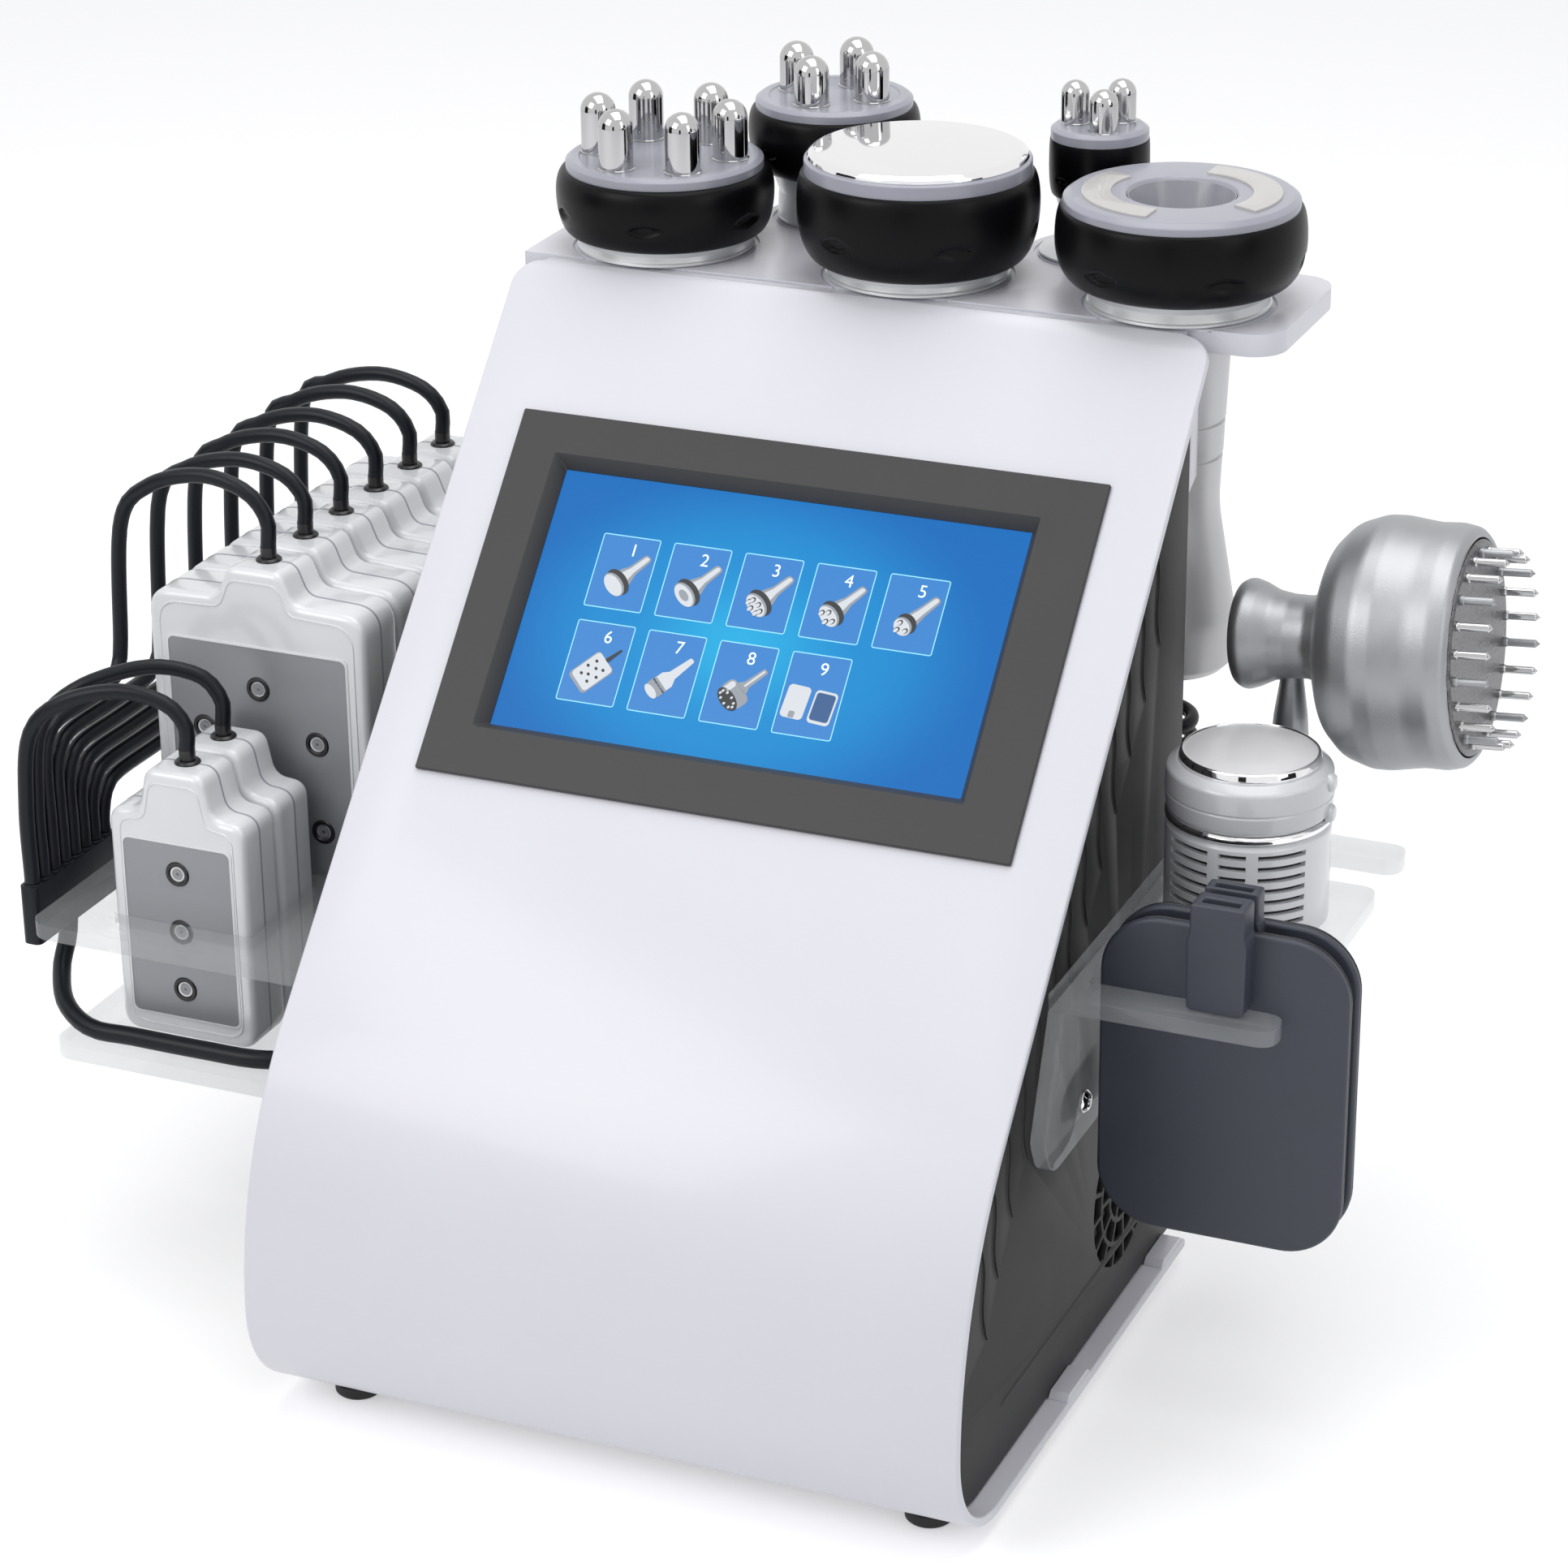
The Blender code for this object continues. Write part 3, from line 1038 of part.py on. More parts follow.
def make_bio_head(machine, finishes):
    """A lying drum with a knob behind and needles in front, carried by an upright rod."""
    seat = empty("bio_seat", machine, (BIO_X, BIO_Y, BIO_Z))
    lying = (0, math.pi / 2 - BIO_TILT, 0)
    face = DRUM_FACE - DRUM_SINK
    shape = bmesh.new()
    turned(shape, [*DRUM_PROFILE, (DRUM_RIM, DRUM_FACE), (RIM_RADIUS, DRUM_FACE), (RIM_RADIUS, face), (0, face)],
           FINE)
    head = new_object("bio_head", shape, finishes["silver"], seat, turn=lying)
    rod = bmesh.new()
    collar = RIGHT_RACK_TOP + CLEAR - BIO_Z
    turned(rod, [(0, collar - ROD_STUB_LENGTH), (ROD_STUB, collar - ROD_STUB_LENGTH), (ROD_STUB, collar),
                 (ROD_COLLAR, collar), (ROD_COLLAR, collar + ROD_COLLAR_HEIGHT),
                 (ROD_CONE_RADIUS, collar + ROD_CONE_HEIGHT), *ROD_PROFILE], 12)
    join(head, new_object("bio_rod", rod, finishes["silver"], seat))
    plate = bmesh.new()
    radius = RIM_RADIUS - CLEAR
    turned(plate, [(0, face + CLEAR), (radius, face + CLEAR), (radius, DRUM_FACE), (radius - EDGE, DRUM_FACE + EDGE / 2),
                   (0, DRUM_FACE + EDGE / 2)], FINE)
    disc = new_object("bio_needle_plate", plate, finishes["chrome"], seat, turn=lying)
    needles = bmesh.new()
    for k in range(NEEDLES):
        angle = 2 * math.pi * (k + 0.5) / NEEDLES
        place = Matrix.Translation((NEEDLE_CIRCLE * math.cos(angle), NEEDLE_CIRCLE * math.sin(angle), 0))
        turned(needles, [(0, DRUM_FACE - EDGE), (NEEDLE_RADIUS, DRUM_FACE - EDGE),
                         (NEEDLE_RADIUS, BIO_TIP - EDGE), (0, BIO_TIP)], 4, matrix=place)
    join(disc, new_object("bio_needles", needles, finishes["chrome"], seat, turn=lying))


def vacuum_cord_path():
    """Out of the shaft, down in curls, then round a bend into its socket in the rear panel."""
    piece = HAND_PIECES["vacuum"]
    x, y = piece["x"], piece["y"]
    top = TRAY_TOP - SHAFT_END - GLAND_LENGTH - CLEAR
    path = [Vector((x, y, top)), Vector((x, y, top - CORD_LEAD_IN))]
    start = top - CORD_LEAD_IN
    steps = CURLS * CURL_POINTS
    for k in range(1, steps):
        angle = 2 * math.pi * k / CURL_POINTS
        ease = min(1, 1.0 * k / CURL_POINTS, 1.0 * (steps - k) / CURL_POINTS)
        radius = CURL_RADIUS * math.sin(math.pi / 2 * ease)
        path.append(Vector((x + radius * math.sin(angle), y + radius * (math.cos(angle)),
                            start - CURL_PITCH * k / CURL_POINTS)))
    low = start - CURL_PITCH * CURLS
    path.append(Vector((x, y, low)))
    reach = BODY_REAR + PLATE_THICKNESS + 3 * CLEAR
    for k in range(1, CORD_BEND_STEPS + 1):
        angle = math.pi / 2 * k / CORD_BEND_STEPS
        path.append(Vector((x, y - CORD_BEND * (1 - math.cos(angle)),
                            STRIP_Z + CORD_BEND * (1 - math.sin(angle)))))
    path.append(Vector((x, reach, STRIP_Z)))
    return path


def least_gap(path, radius):
    """The least space between turns of a tube, measured between points that are not neighbours."""
    closest = min((p - q).length for i, p in enumerate(path) for q in path[i + CURL_POINTS // 2 + 1:])
    return closest - 2 * radius


def make_feet(machine, rubber):
    for name, side, y in (("front_left", -1, FOOT_FRONT), ("front_right", 1, FOOT_FRONT),
                          ("rear_left", -1, FOOT_BACK), ("rear_right", 1, FOOT_BACK)):
        shape = bmesh.new()
        turned(shape, [(0, -FOOT_HEIGHT), (FOOT_RADIUS - EDGE, -FOOT_HEIGHT), (FOOT_RADIUS, -FOOT_HEIGHT + EDGE),
                       (FOOT_RADIUS, -CLEAR), (0, -CLEAR)], 16)
        new_object("foot_" + name, shape, rubber, machine, (side * FOOT_X, y, 0))


def make_inside(machine, finishes):
    """Power supply and vacuum pump on the base, and the fan against the right side panel."""
    floor = SHEET + CLEAR
    shape = bmesh.new()
    block(shape, (*SUPPLY_PLACE, floor + SUPPLY_SIZE[2] / 2), SUPPLY_SIZE)
    new_object("power_supply", shape, finishes["steel"], machine)
    shape = bmesh.new()
    block(shape, (*PUMP_PLACE, floor + PUMP_SIZE[2] / 2), PUMP_SIZE)
    pump = new_object("vacuum_pump", shape, finishes["dark"], machine)
    drum = bmesh.new()
    start = PUMP_PLACE[0] + PUMP_SIZE[0] / 2 - OVERRUN
    turned(drum, [(0, start), (PUMP_DRUM_RADIUS, start), (PUMP_DRUM_RADIUS, start + PUMP_DRUM_LENGTH),
                  (0, start + PUMP_DRUM_LENGTH)], 16,
           matrix=Matrix.Translation((0, PUMP_PLACE[1], floor + PUMP_SIZE[2] / 2))
           @ Matrix.Rotation(math.pi / 2, 4, "Y"))
    join(pump, new_object("pump_drum", drum, finishes["dark"], machine))


def make_fan(machine, dark):
    """A square fan frame with a spoked hub, and the rotor that turns in it."""
    axis = empty("fan_axis", machine, (SIDE_BACK - CLEAR - FAN_DEPTH, GRILLE_Y, GRILLE_Z), (0, math.pi / 2, 0))
    half = FAN_SIDE / 2
    shape = bmesh.new()
    prism(shape, rounded(-half, half, -half, half, 4 * EDGE, 2), 0, FAN_DEPTH)
    frame = new_object("fan_frame", shape, dark, axis)
    bore = bmesh.new()
    turned(bore, [(0, -OVERRUN), (FAN_BORE, -OVERRUN), (FAN_BORE, FAN_DEPTH + OVERRUN),
                  (0, FAN_DEPTH + OVERRUN)], FINE)
    cut(frame, new_object("fan_bore", bore, dark, axis))
    arms, hub = bmesh.new(), bmesh.new()
    inner = FAN_HUB * FAN_ARM_START_SHARE
    length = FAN_BORE + EDGE - inner
    for k in range(FAN_ARMS):
        block(arms, (inner + length / 2, 0, FAN_SPOKE / 2), (length, FAN_SPOKE, FAN_SPOKE),
              Matrix.Rotation(2 * math.pi * (k + 0.5) / FAN_ARMS, 4, "Z"))
    top = FAN_SPOKE + EDGE / 4
    turned(hub, [(0, 0), (FAN_HUB, 0), (FAN_HUB, top), (0, top)], 12)
    join(frame, new_object("fan_arms", arms, dark, axis))
    join(frame, new_object("fan_hub", hub, dark, axis))
    low = top + CLEAR
    high = low + FAN_ROTOR_DEPTH
    shape = bmesh.new()
    turned(shape, [(0, low), (FAN_HUB, low), (FAN_HUB, high), (0, high)], 14)
    rotor = new_object("fan_rotor", shape, dark, axis)
    blades = bmesh.new()
    reach = FAN_BLADE_TIP - FAN_HUB + FAN_BLADE_ROOT
    for k in range(FAN_BLADES):
        place = (Matrix.Rotation(2 * math.pi * k / FAN_BLADES, 4, "Z")
                 @ Matrix.Translation((FAN_HUB - FAN_BLADE_ROOT + reach / 2, 0, (low + high) / 2))
                 @ Matrix.Rotation(FAN_BLADE_PITCH, 4, "X"))
        block(blades, (0, 0, 0), (reach, FAN_ROTOR_DEPTH * 1.05, FAN_BLADE_THICKNESS), place)
    join(rotor, new_object("fan_blades", blades, dark, axis))


def make_rocker(machine, dark):
    axis = empty("rocker_axis", machine, (ROCKER_X, BODY_REAR - ROCKER_SINK, INLET_Z))
    shape = bmesh.new()
    half = ROCKER_HEIGHT / 2 - 4 * CLEAR
    low, face = -ROCKER_SINK / 2, ROCKER_SINK + PLATE_THICKNESS
    outline = [(low, -half * 0.8), (face - EDGE, -half * 0.95), (face + ROCKER_LIFT, -half * 0.9),
               (face, 0), (face - EDGE / 2, half * 0.95), (low, half * 0.8)]
    prism(shape, outline, -ROCKER_WIDTH / 2 + CLEAR, ROCKER_WIDTH / 2 - CLEAR, SIDEWAYS)
    new_object("power_rocker", shape, dark, axis)


def make_connector_plate(machine, steel):
    """The plate that holds the mains inlet, the rocker and the row of sockets."""
    out = BODY_REAR + CLEAR
    face = out + PLATE_THICKNESS
    room = 2 * CLEAR
    shape = bmesh.new()
    prism(shape, rounded(PLATE_LEFT, PLATE_RIGHT, PLATE_LOW, PLATE_HIGH, 2 * EDGE, 2), out, face, UPRIGHT)
    plate = new_object("connector_plate", shape, steel, machine)
    well = bmesh.new()
    block(well, (INLET_X, out - INLET_DEPTH / 2 + PLATE_THICKNESS / 2, INLET_Z),
          (INLET_WIDTH - room, INLET_DEPTH, INLET_HEIGHT - room))
    join(plate, new_object("inlet_well", well, steel, machine))
    holes, shells = bmesh.new(), bmesh.new()
    block(holes, (INLET_X, face + OVERRUN - INLET_DEPTH / 2, INLET_Z),
          (INLET_WIDTH - room - 2 * INLET_WALL, INLET_DEPTH, INLET_HEIGHT - room - 2 * INLET_WALL))
    add_hole(holes, ROCKER_X, INLET_Z, ROCKER_WIDTH + room, ROCKER_HEIGHT + room,
             (out - OVERRUN, face + OVERRUN))
    for k in range(SOCKETS):
        place = (Matrix.Translation((SOCKET_FIRST + k * SOCKET_PITCH, 0, STRIP_Z))
                 @ Matrix.Rotation(-math.pi / 2, 4, "X"))
        start, end = out + PLATE_THICKNESS / 2, face + SOCKET_LENGTH
        turned(shells, [(0, start), (SOCKET_RADIUS, start), (SOCKET_RADIUS, end), (0, end)], SMALL, matrix=place)
        turned(holes, [(0, face), (SOCKET_BORE, face), (SOCKET_BORE, end + OVERRUN), (0, end + OVERRUN)], SMALL,
               matrix=place)
    join(plate, new_object("socket_shells", shells, steel, machine))
    cut(plate, new_object("plate_holes", holes, steel, machine))


def machine_centre():
    """The middle of the whole object, seen from above."""
    left = LANE_X - JOINER_DEPTH / 2
    tip = NEEDLE_CIRCLE + NEEDLE_RADIUS
    right = BIO_X + BIO_TIP * math.cos(BIO_TILT) + tip * math.sin(BIO_TILT)
    front = min(y for y, z in skin(0, HEAD_TOP))
    rear = HAND_PIECES["face_rf"]["y"] + HAND_PIECES["face_rf"]["grip_radius"]
    return (left + right) / 2, (front + rear) / 2


def main():
    for thing in list(bpy.data.objects):
        bpy.data.objects.remove(thing)
    finishes = {
        "paint": material("white_enamel", (0.86, 0.86, 0.89), 0.35),
        "coat": material("grey_panel", (0.07, 0.07, 0.075), 0.5),
        "dark": material("dark_plastic", (0.05, 0.05, 0.055), 0.45),
        "glass": material("display_glass", (0.02, 0.2, 0.6), 0.1),
        "green": material("circuit_board", (0.02, 0.2, 0.08), 0.5),
        "steel": material("plated_steel", (0.6, 0.6, 0.6), 0.35, 1.0),
        "rubber": material("black_rubber", (0.015, 0.015, 0.018), 0.4),
        "silver": material("silver_plastic", (0.62, 0.62, 0.64), 0.3, 0.6),
        "pale": material("pale_plastic", (0.6, 0.62, 0.68), 0.35),
        "chrome": material("bright_chrome", (0.8, 0.8, 0.8), 0.08, 1.0),
        "white": material("white_plastic", (0.85, 0.86, 0.88), 0.3),
        "grey": material("slate_rubber", (0.1, 0.12, 0.16), 0.55),
        "clear": material("clear_acrylic", (0.9, 0.93, 0.95), 0.05, alpha=0.1),
    }
    x, y = machine_centre()
    machine = empty("machine", None, (-x, -y, FOOT_HEIGHT))
    make_wrap(machine, finishes["paint"])
    make_side(machine, finishes["coat"], -1, "side_panel_left")
    make_side(machine, finishes["coat"], 1, "side_panel_right")
    make_rear(machine, finishes["coat"])
    make_screen(machine, finishes["dark"], finishes["glass"], finishes["green"])
    places = {name: (piece["x"], piece["y"]) for name, piece in HAND_PIECES.items()}
    make_tray(machine, finishes["paint"], [places[name] for name in FRONT_PIECES],
              [places[name] for name in REAR_PIECES])
    for name, pins in PINS.items():
        make_pin_plate(name, HAND_PIECES[name], pins, finishes, machine)
    make_cavitation_plate(HAND_PIECES["cavitation"], finishes, machine)
    make_vacuum_plate(HAND_PIECES["vacuum"], finishes, machine)
    make_left_rack(machine, finishes["clear"])
    make_pads(machine, finishes)
    make_leads(machine, finishes["rubber"])
    make_harness(machine, finishes["rubber"])
    make_right_rack(machine, finishes["clear"])
    for name, (face, depth) in EMS_FACES.items():
        make_ems_pad(machine, "ems_pad_" + name, face, depth, finishes["grey"])
    make_hammer(machine, finishes)
    make_bio_head(machine, finishes)
    make_feet(machine, finishes["rubber"])
    make_inside(machine, finishes)
    make_fan(machine, finishes["dark"])
    make_connector_plate(machine, finishes["steel"])
    make_rocker(machine, finishes["dark"])
    path = vacuum_cord_path()
    tube("vacuum_cord", path, CORD_RADIUS, finishes["rubber"], machine, sides=1)
    print(f"least gap between the curls: {least_gap(path, CORD_RADIUS) * 1000:.2f} mm")


main()
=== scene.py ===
"""Looks of a desktop skin and body care machine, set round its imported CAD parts.

Sizes are metres in the machine's own frame: x = 0 in the middle of the body, y = 0 at the top
edge of the sloping front and z = 0 at the underside of the body. PLACE is where that frame
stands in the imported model.
"""
import math

import bmesh
import bpy
from mathutils import Matrix, Vector


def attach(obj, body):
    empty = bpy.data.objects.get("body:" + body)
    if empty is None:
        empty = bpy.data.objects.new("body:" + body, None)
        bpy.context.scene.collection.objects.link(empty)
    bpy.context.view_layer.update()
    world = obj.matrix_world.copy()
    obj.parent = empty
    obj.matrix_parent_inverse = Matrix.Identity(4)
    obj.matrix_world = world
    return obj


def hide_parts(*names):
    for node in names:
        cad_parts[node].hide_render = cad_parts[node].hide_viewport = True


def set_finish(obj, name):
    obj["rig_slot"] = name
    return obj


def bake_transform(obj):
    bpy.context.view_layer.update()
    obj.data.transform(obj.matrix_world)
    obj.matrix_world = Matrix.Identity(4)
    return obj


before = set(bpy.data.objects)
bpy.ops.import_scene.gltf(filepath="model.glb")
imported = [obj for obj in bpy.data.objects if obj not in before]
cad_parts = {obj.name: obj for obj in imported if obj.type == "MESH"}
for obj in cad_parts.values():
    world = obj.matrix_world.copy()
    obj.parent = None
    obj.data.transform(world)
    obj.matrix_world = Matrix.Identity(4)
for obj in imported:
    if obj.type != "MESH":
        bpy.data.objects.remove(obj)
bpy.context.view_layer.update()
scene = bpy.context.scene

PLACE = Vector((0.0087334, 0.0491114, 0.0045))
CLEAR = 0.0003
FINE = 96

# Camera of the photograph
CAMERA_PLACE = (0.50457, -1.21978, 0.71742)
CAMERA_TURN = (23.46, 23.42, -0.63)
CAMERA_LENS = 102.57

# Body
BODY_WIDTH = 0.2312
BODY_HEIGHT = 0.306
BODY_REAR = 0.0042
BASE_REAR = 0.0005
TILT = math.radians(42.76)
FRONT_RADIUS = 0.1252
TOE_RADIUS = 0.035
SHEET = 0.003
SIDE_FACE = BODY_WIDTH / 2 - 0.007
SIDE_BACK = SIDE_FACE - 0.002
PANEL_LENGTH = (BODY_HEIGHT - FRONT_RADIUS * math.sin(TILT) - TOE_RADIUS) / math.cos(TILT)
HEAD_TOP = 0.3017
WRAP_TOP = 0.3084
SHEET_CORNER = 0.009
SLITS = 13
SLIT_FIRST = 0.0749
SLIT_PITCH = 0.0182
GRILLE = (-0.044, 0.044)
GRILLE_RADIUS = 0.028

# Display
SCREEN_X, SCREEN_TOP = -0.0022, 0.0649
SCREEN_WIDTH, SCREEN_HEIGHT = 0.1541, 0.0859
SCREEN_DEPTH = 0.004
SCREEN_MIDDLE = -SCREEN_TOP - SCREEN_HEIGHT / 2
BEZEL_X, BEZEL_TOP = -0.0002, 0.0483
BEZEL_WIDTH, BEZEL_HEIGHT = 0.1936, 0.1216
BEZEL_MIDDLE = -BEZEL_TOP - BEZEL_HEIGHT / 2

# Tray and hand pieces
TRAY_TOP, TRAY_BOTTOM = 0.309, 0.302
SHAFT_END = 0.118
PIECES = {
    "body_rf": {"x": -0.0769, "y": 0.0305, "base": 0.02835, "neck": 0.0275, "low": 0.0053,
                "widest": 0.0186, "top": 0.0258, "foot": 0.0295, "radius": 0.03475,
                "plate": 0.0315, "plate_top": 0.0295, "flare": 0.02, "waist": 0.014, "under": 0.0165},
    "cavitation": {"x": 0.0095, "y": 0.0305, "base": 0.029, "neck": 0.028, "low": 0.0053,
                   "widest": 0.0235, "top": 0.033, "foot": 0.03, "radius": 0.038,
                   "plate": 0.0355, "plate_top": 0.0377, "flare": 0.02, "waist": 0.014, "under": 0.0165},
    "vacuum": {"x": 0.0953, "y": 0.0305, "base": 0.0284, "neck": 0.0274, "low": 0.007,
               "widest": 0.021, "top": 0.031, "foot": 0.0295, "radius": 0.0384,
               "plate": 0.03615, "plate_top": 0.0346, "flare": 0.02, "waist": 0.014, "under": 0.0165},
    "face_rf": {"x": -0.0388, "y": 0.0792, "base": 0.0188, "neck": 0.0182, "low": 0.0165,
                "widest": 0.0299, "top": 0.037, "foot": 0.021, "radius": 0.02785,
                "plate": 0.02545, "plate_top": 0.0406, "flare": 0.0165, "waist": 0.013, "under": 0.0162},
    "eye_rf": {"x": 0.0542, "y": 0.0722, "base": 0.0188, "neck": 0.0115, "low": 0.0193,
               "widest": 0.0293, "top": 0.0373, "foot": 0.0145, "radius": 0.01585,
               "plate": 0.01545, "plate_top": 0.0413, "flare": 0.0165, "waist": 0.013, "under": 0.0162},
}
PINS = {
    "body_rf": {"count": 6, "radius": 0.0056, "circle": 0.0215, "top": 0.0482, "turn": math.radians(10)},
    "face_rf": {"count": 4, "radius": 0.0056, "circle": 0.0141, "top": 0.0561, "turn": math.radians(-8.6)},
    "eye_rf": {"count": 3, "radius": 0.0045, "circle": 0.0085, "top": 0.0545, "turn": math.radians(-63)},
}

# Light pads and their leads
PAD_SMALL = {"width": 0.0485, "shoulder": 0.077, "height": 0.092, "neck": 0.022, "depth": 0.0205,
             "label_width": 0.038, "label_low": 0.008, "label_high": 0.068}
PAD_LARGE = {"width": 0.078, "shoulder": 0.131, "height": 0.142, "neck": 0.0195, "depth": 0.0225,
             "label_width": 0.064, "label_low": 0.026, "label_high": 0.116}
SMALL_ROW = (-0.1757, -0.129, 0.0223)
LARGE_ROW = (-0.1722, -0.079, 0.024)
RACK_LOW, RACK_HIGH = 0.080, 0.121
LANE_X, LANE_FIRST, LANE_PITCH, LANE_TOP = -0.2295, -0.1295, 0.0062, 0.126
LEAD_RADIUS = 0.0025
LEAD_BEND = 0.011
RISES = {"small_1": 0.0175, "small_2": 0.019, "large_1": 0.021, "large_2": 0.0185, "large_3": 0.019,
         "large_4": 0.0185, "large_5": 0.019, "large_6": 0.018}
MARK_PHASES = {"body_rf": -76.5, "cavitation": -51.4, "vacuum": -50.9}
ARCH = ((0, 0, 0), (0, 0, 0.45), (0.13, 0.05, 0.85), (0.41, 0.3, 1), (0.74, 0.75, 0.72), (0.94, 0.98, 0.05))
TRUNK_RADIUS = 0.003
TRUNK_FLOOR = RACK_LOW + TRUNK_RADIUS + 2 * CLEAR
STRIP_Z = 0.084
SOCKET_FIRST, SOCKET_PITCH = -0.0965, 0.0274

# Right rack and what it carries
RIGHT_TOP = 0.143
ACRYLIC = 0.005
FINGERS = ((-0.117, -0.104), (-0.0991, -0.0943), (-0.089, -0.009), (0.011, 0.0247))
ROD_SLOT_ROOT = 0.1342
HAMMER = (0.1447, -0.041)
BARREL = 0.0325
RING_TOP = 0.051
DISC_TOP = 0.0542
KEY_HEIGHTS = (0.0468, 0.037)
BIO = (0.1442, 0.001, 0.2174)
BIO_TILT = math.radians(4.5)

SIDEWAYS = Matrix(((0, 0, 1, 0), (1, 0, 0, 0), (0, 1, 0, 0), (0, 0, 0, 1)))
UPRIGHT = Matrix(((1, 0, 0, 0), (0, 0, 1, 0), (0, 1, 0, 0), (0, 0, 0, 1)))
FRONT = Matrix.Translation((0, 0, BODY_HEIGHT)) @ Matrix.Rotation(math.pi / 2 - TILT, 4, "X")
TO_FRONT = Matrix.Rotation(math.pi / 2, 4, "X")


# Finishes

def node(material, kind, **values):
    made = material.node_tree.nodes.new(kind)
    for key, value in values.items():
        if key in made.inputs:
            made.inputs[key].default_value = value
        else:
            setattr(made, key, value)
    return made


def surface(name, colour, roughness, metallic=0.0, tint=0.03, mottle=45.0, grain=1400.0, relief=0.00002,
            wear=0.12, stretch=(1, 1, 1), **sockets):
    """A plastic, paint or metal whose colour and gloss vary slowly, with a fine grain in relief."""
    material = bpy.data.materials.new(name)
    material.use_nodes = True
    link = material.node_tree.links.new
    shader = material.node_tree.nodes["Principled BSDF"]
    place = node(material, "ShaderNodeTexCoord")
    spread = node(material, "ShaderNodeMapping", Scale=stretch)
    link(place.outputs["Object"], spread.inputs["Vector"])
    slow = node(material, "ShaderNodeTexNoise", Scale=mottle, Detail=3.0)
    fast = node(material, "ShaderNodeTexNoise", Scale=grain, Detail=2.0)
    for noise in (slow, fast):
        link(spread.outputs["Vector"], noise.inputs["Vector"])
    ramp = node(material, "ShaderNodeValToRGB")
    ramp.color_ramp.elements[0].position = 0.3
    ramp.color_ramp.elements[1].position = 0.7
    ramp.color_ramp.elements[0].color = (*(c * (1 - tint) for c in colour), 1)
    ramp.color_ramp.elements[1].color = (*(min(1, c * (1 + tint)) for c in colour), 1)
    link(slow.outputs["Fac"], ramp.inputs["Fac"])
    link(ramp.outputs["Color"], shader.inputs["Base Color"])
    gloss = node(material, "ShaderNodeMapRange")
    gloss.inputs["To Min"].default_value = roughness * (1 - wear)
    gloss.inputs["To Max"].default_value = min(1, roughness * (1 + wear))
    link(slow.outputs["Fac"], gloss.inputs["Value"])
    link(gloss.outputs["Result"], shader.inputs["Roughness"])
    if relief:
        bump = node(material, "ShaderNodeBump", Strength=1.0, Distance=relief)
        link(fast.outputs["Fac"], bump.inputs["Height"])
        link(bump.outputs["Normal"], shader.inputs["Normal"])
    shader.inputs["Metallic"].default_value = metallic
    for key, value in sockets.items():
        shader.inputs[key.replace("_", " ")].default_value = value
    return material


def glow(name, colour, strength=1.0):
    """A lit part of the display."""
    material = bpy.data.materials.new(name)
    material.use_nodes = True
    shader = material.node_tree.nodes["Principled BSDF"]
    shader.inputs["Base Color"].default_value = (*(c * 0.1 for c in colour), 1)
    shader.inputs["Roughness"].default_value = 0.35
    shader.inputs["Emission Color"].default_value = (*colour, 1)
    shader.inputs["Emission Strength"].default_value = strength
    return material


def display_glow():
    """The lit blue field of the display, brightest just below its middle."""
    material = bpy.data.materials.new("display_field")
    material.use_nodes = True
    link = material.node_tree.links.new
    shader = material.node_tree.nodes["Principled BSDF"]
    place = node(material, "ShaderNodeTexCoord")
    spread = node(material, "ShaderNodeMapping", Location=(0.06, 0.1, 0), Scale=(12.0, 17.0, 1.0))
    link(place.outputs["Object"], spread.inputs["Vector"])
    reach = node(material, "ShaderNodeVectorMath", operation="LENGTH")
    link(spread.outputs["Vector"], reach.inputs[0])
    ramp = node(material, "ShaderNodeValToRGB")
    ramp.color_ramp.interpolation = "EASE"
    ramp.color_ramp.elements[0].color = (0.022, 0.44, 0.78, 1)
    ramp.color_ramp.elements[1].color = (0.008, 0.155, 0.5, 1)
    middle = ramp.color_ramp.elements.new(0.5)
    middle.color = (0.012, 0.27, 0.64, 1)
    link(reach.outputs["Value"], ramp.inputs["Fac"])
    link(ramp.outputs["Color"], shader.inputs["Emission Color"])
    shader.inputs["Base Color"].default_value = (0.004, 0.01, 0.03, 1)
    shader.inputs["Emission Strength"].default_value = 1.0
    shader.inputs["Roughness"].default_value = 0.3
    shader.inputs["Specular IOR Level"].default_value = 0.12
    return material


ENAMEL = surface("white_enamel", (0.775, 0.77, 0.835), 0.34, tint=0.008, mottle=20, grain=2600,
                 relief=0.000012, Coat_Weight=0.25, Coat_Roughness=0.12)
COAT = surface("charcoal_panel", (0.031, 0.031, 0.0315), 0.55, tint=0.06, grain=2400, relief=0.00003,
               Specular_IOR_Level=0.24)
DARK = surface("bezel_plastic", (0.041, 0.041, 0.0415), 0.45, tint=0.05, grain=2000, relief=0.00002,
               Specular_IOR_Level=0.4)
RUBBER = surface("grip_rubber", (0.003, 0.003, 0.0038), 0.32, tint=0.1, grain=1700, relief=0.000008,
                 Specular_IOR_Level=0.12)
CORD = surface("cord_jacket", (0.006, 0.007, 0.011), 0.36, tint=0.12, grain=1500, relief=0.00002,
               Specular_IOR_Level=0.25)
FOOT = surface("foot_rubber", (0.012, 0.012, 0.013), 0.6, tint=0.15)
COLLAR = surface("collar_silver", (0.74, 0.75, 0.76), 0.3, metallic=0.25, tint=0.02, grain=2500,
                 relief=0.00001, Coat_Weight=0.3)
SHAFT = surface("shaft_silver", (0.68, 0.68, 0.69), 0.36, metallic=0.3, tint=0.03, grain=3000,
                relief=0.00001)
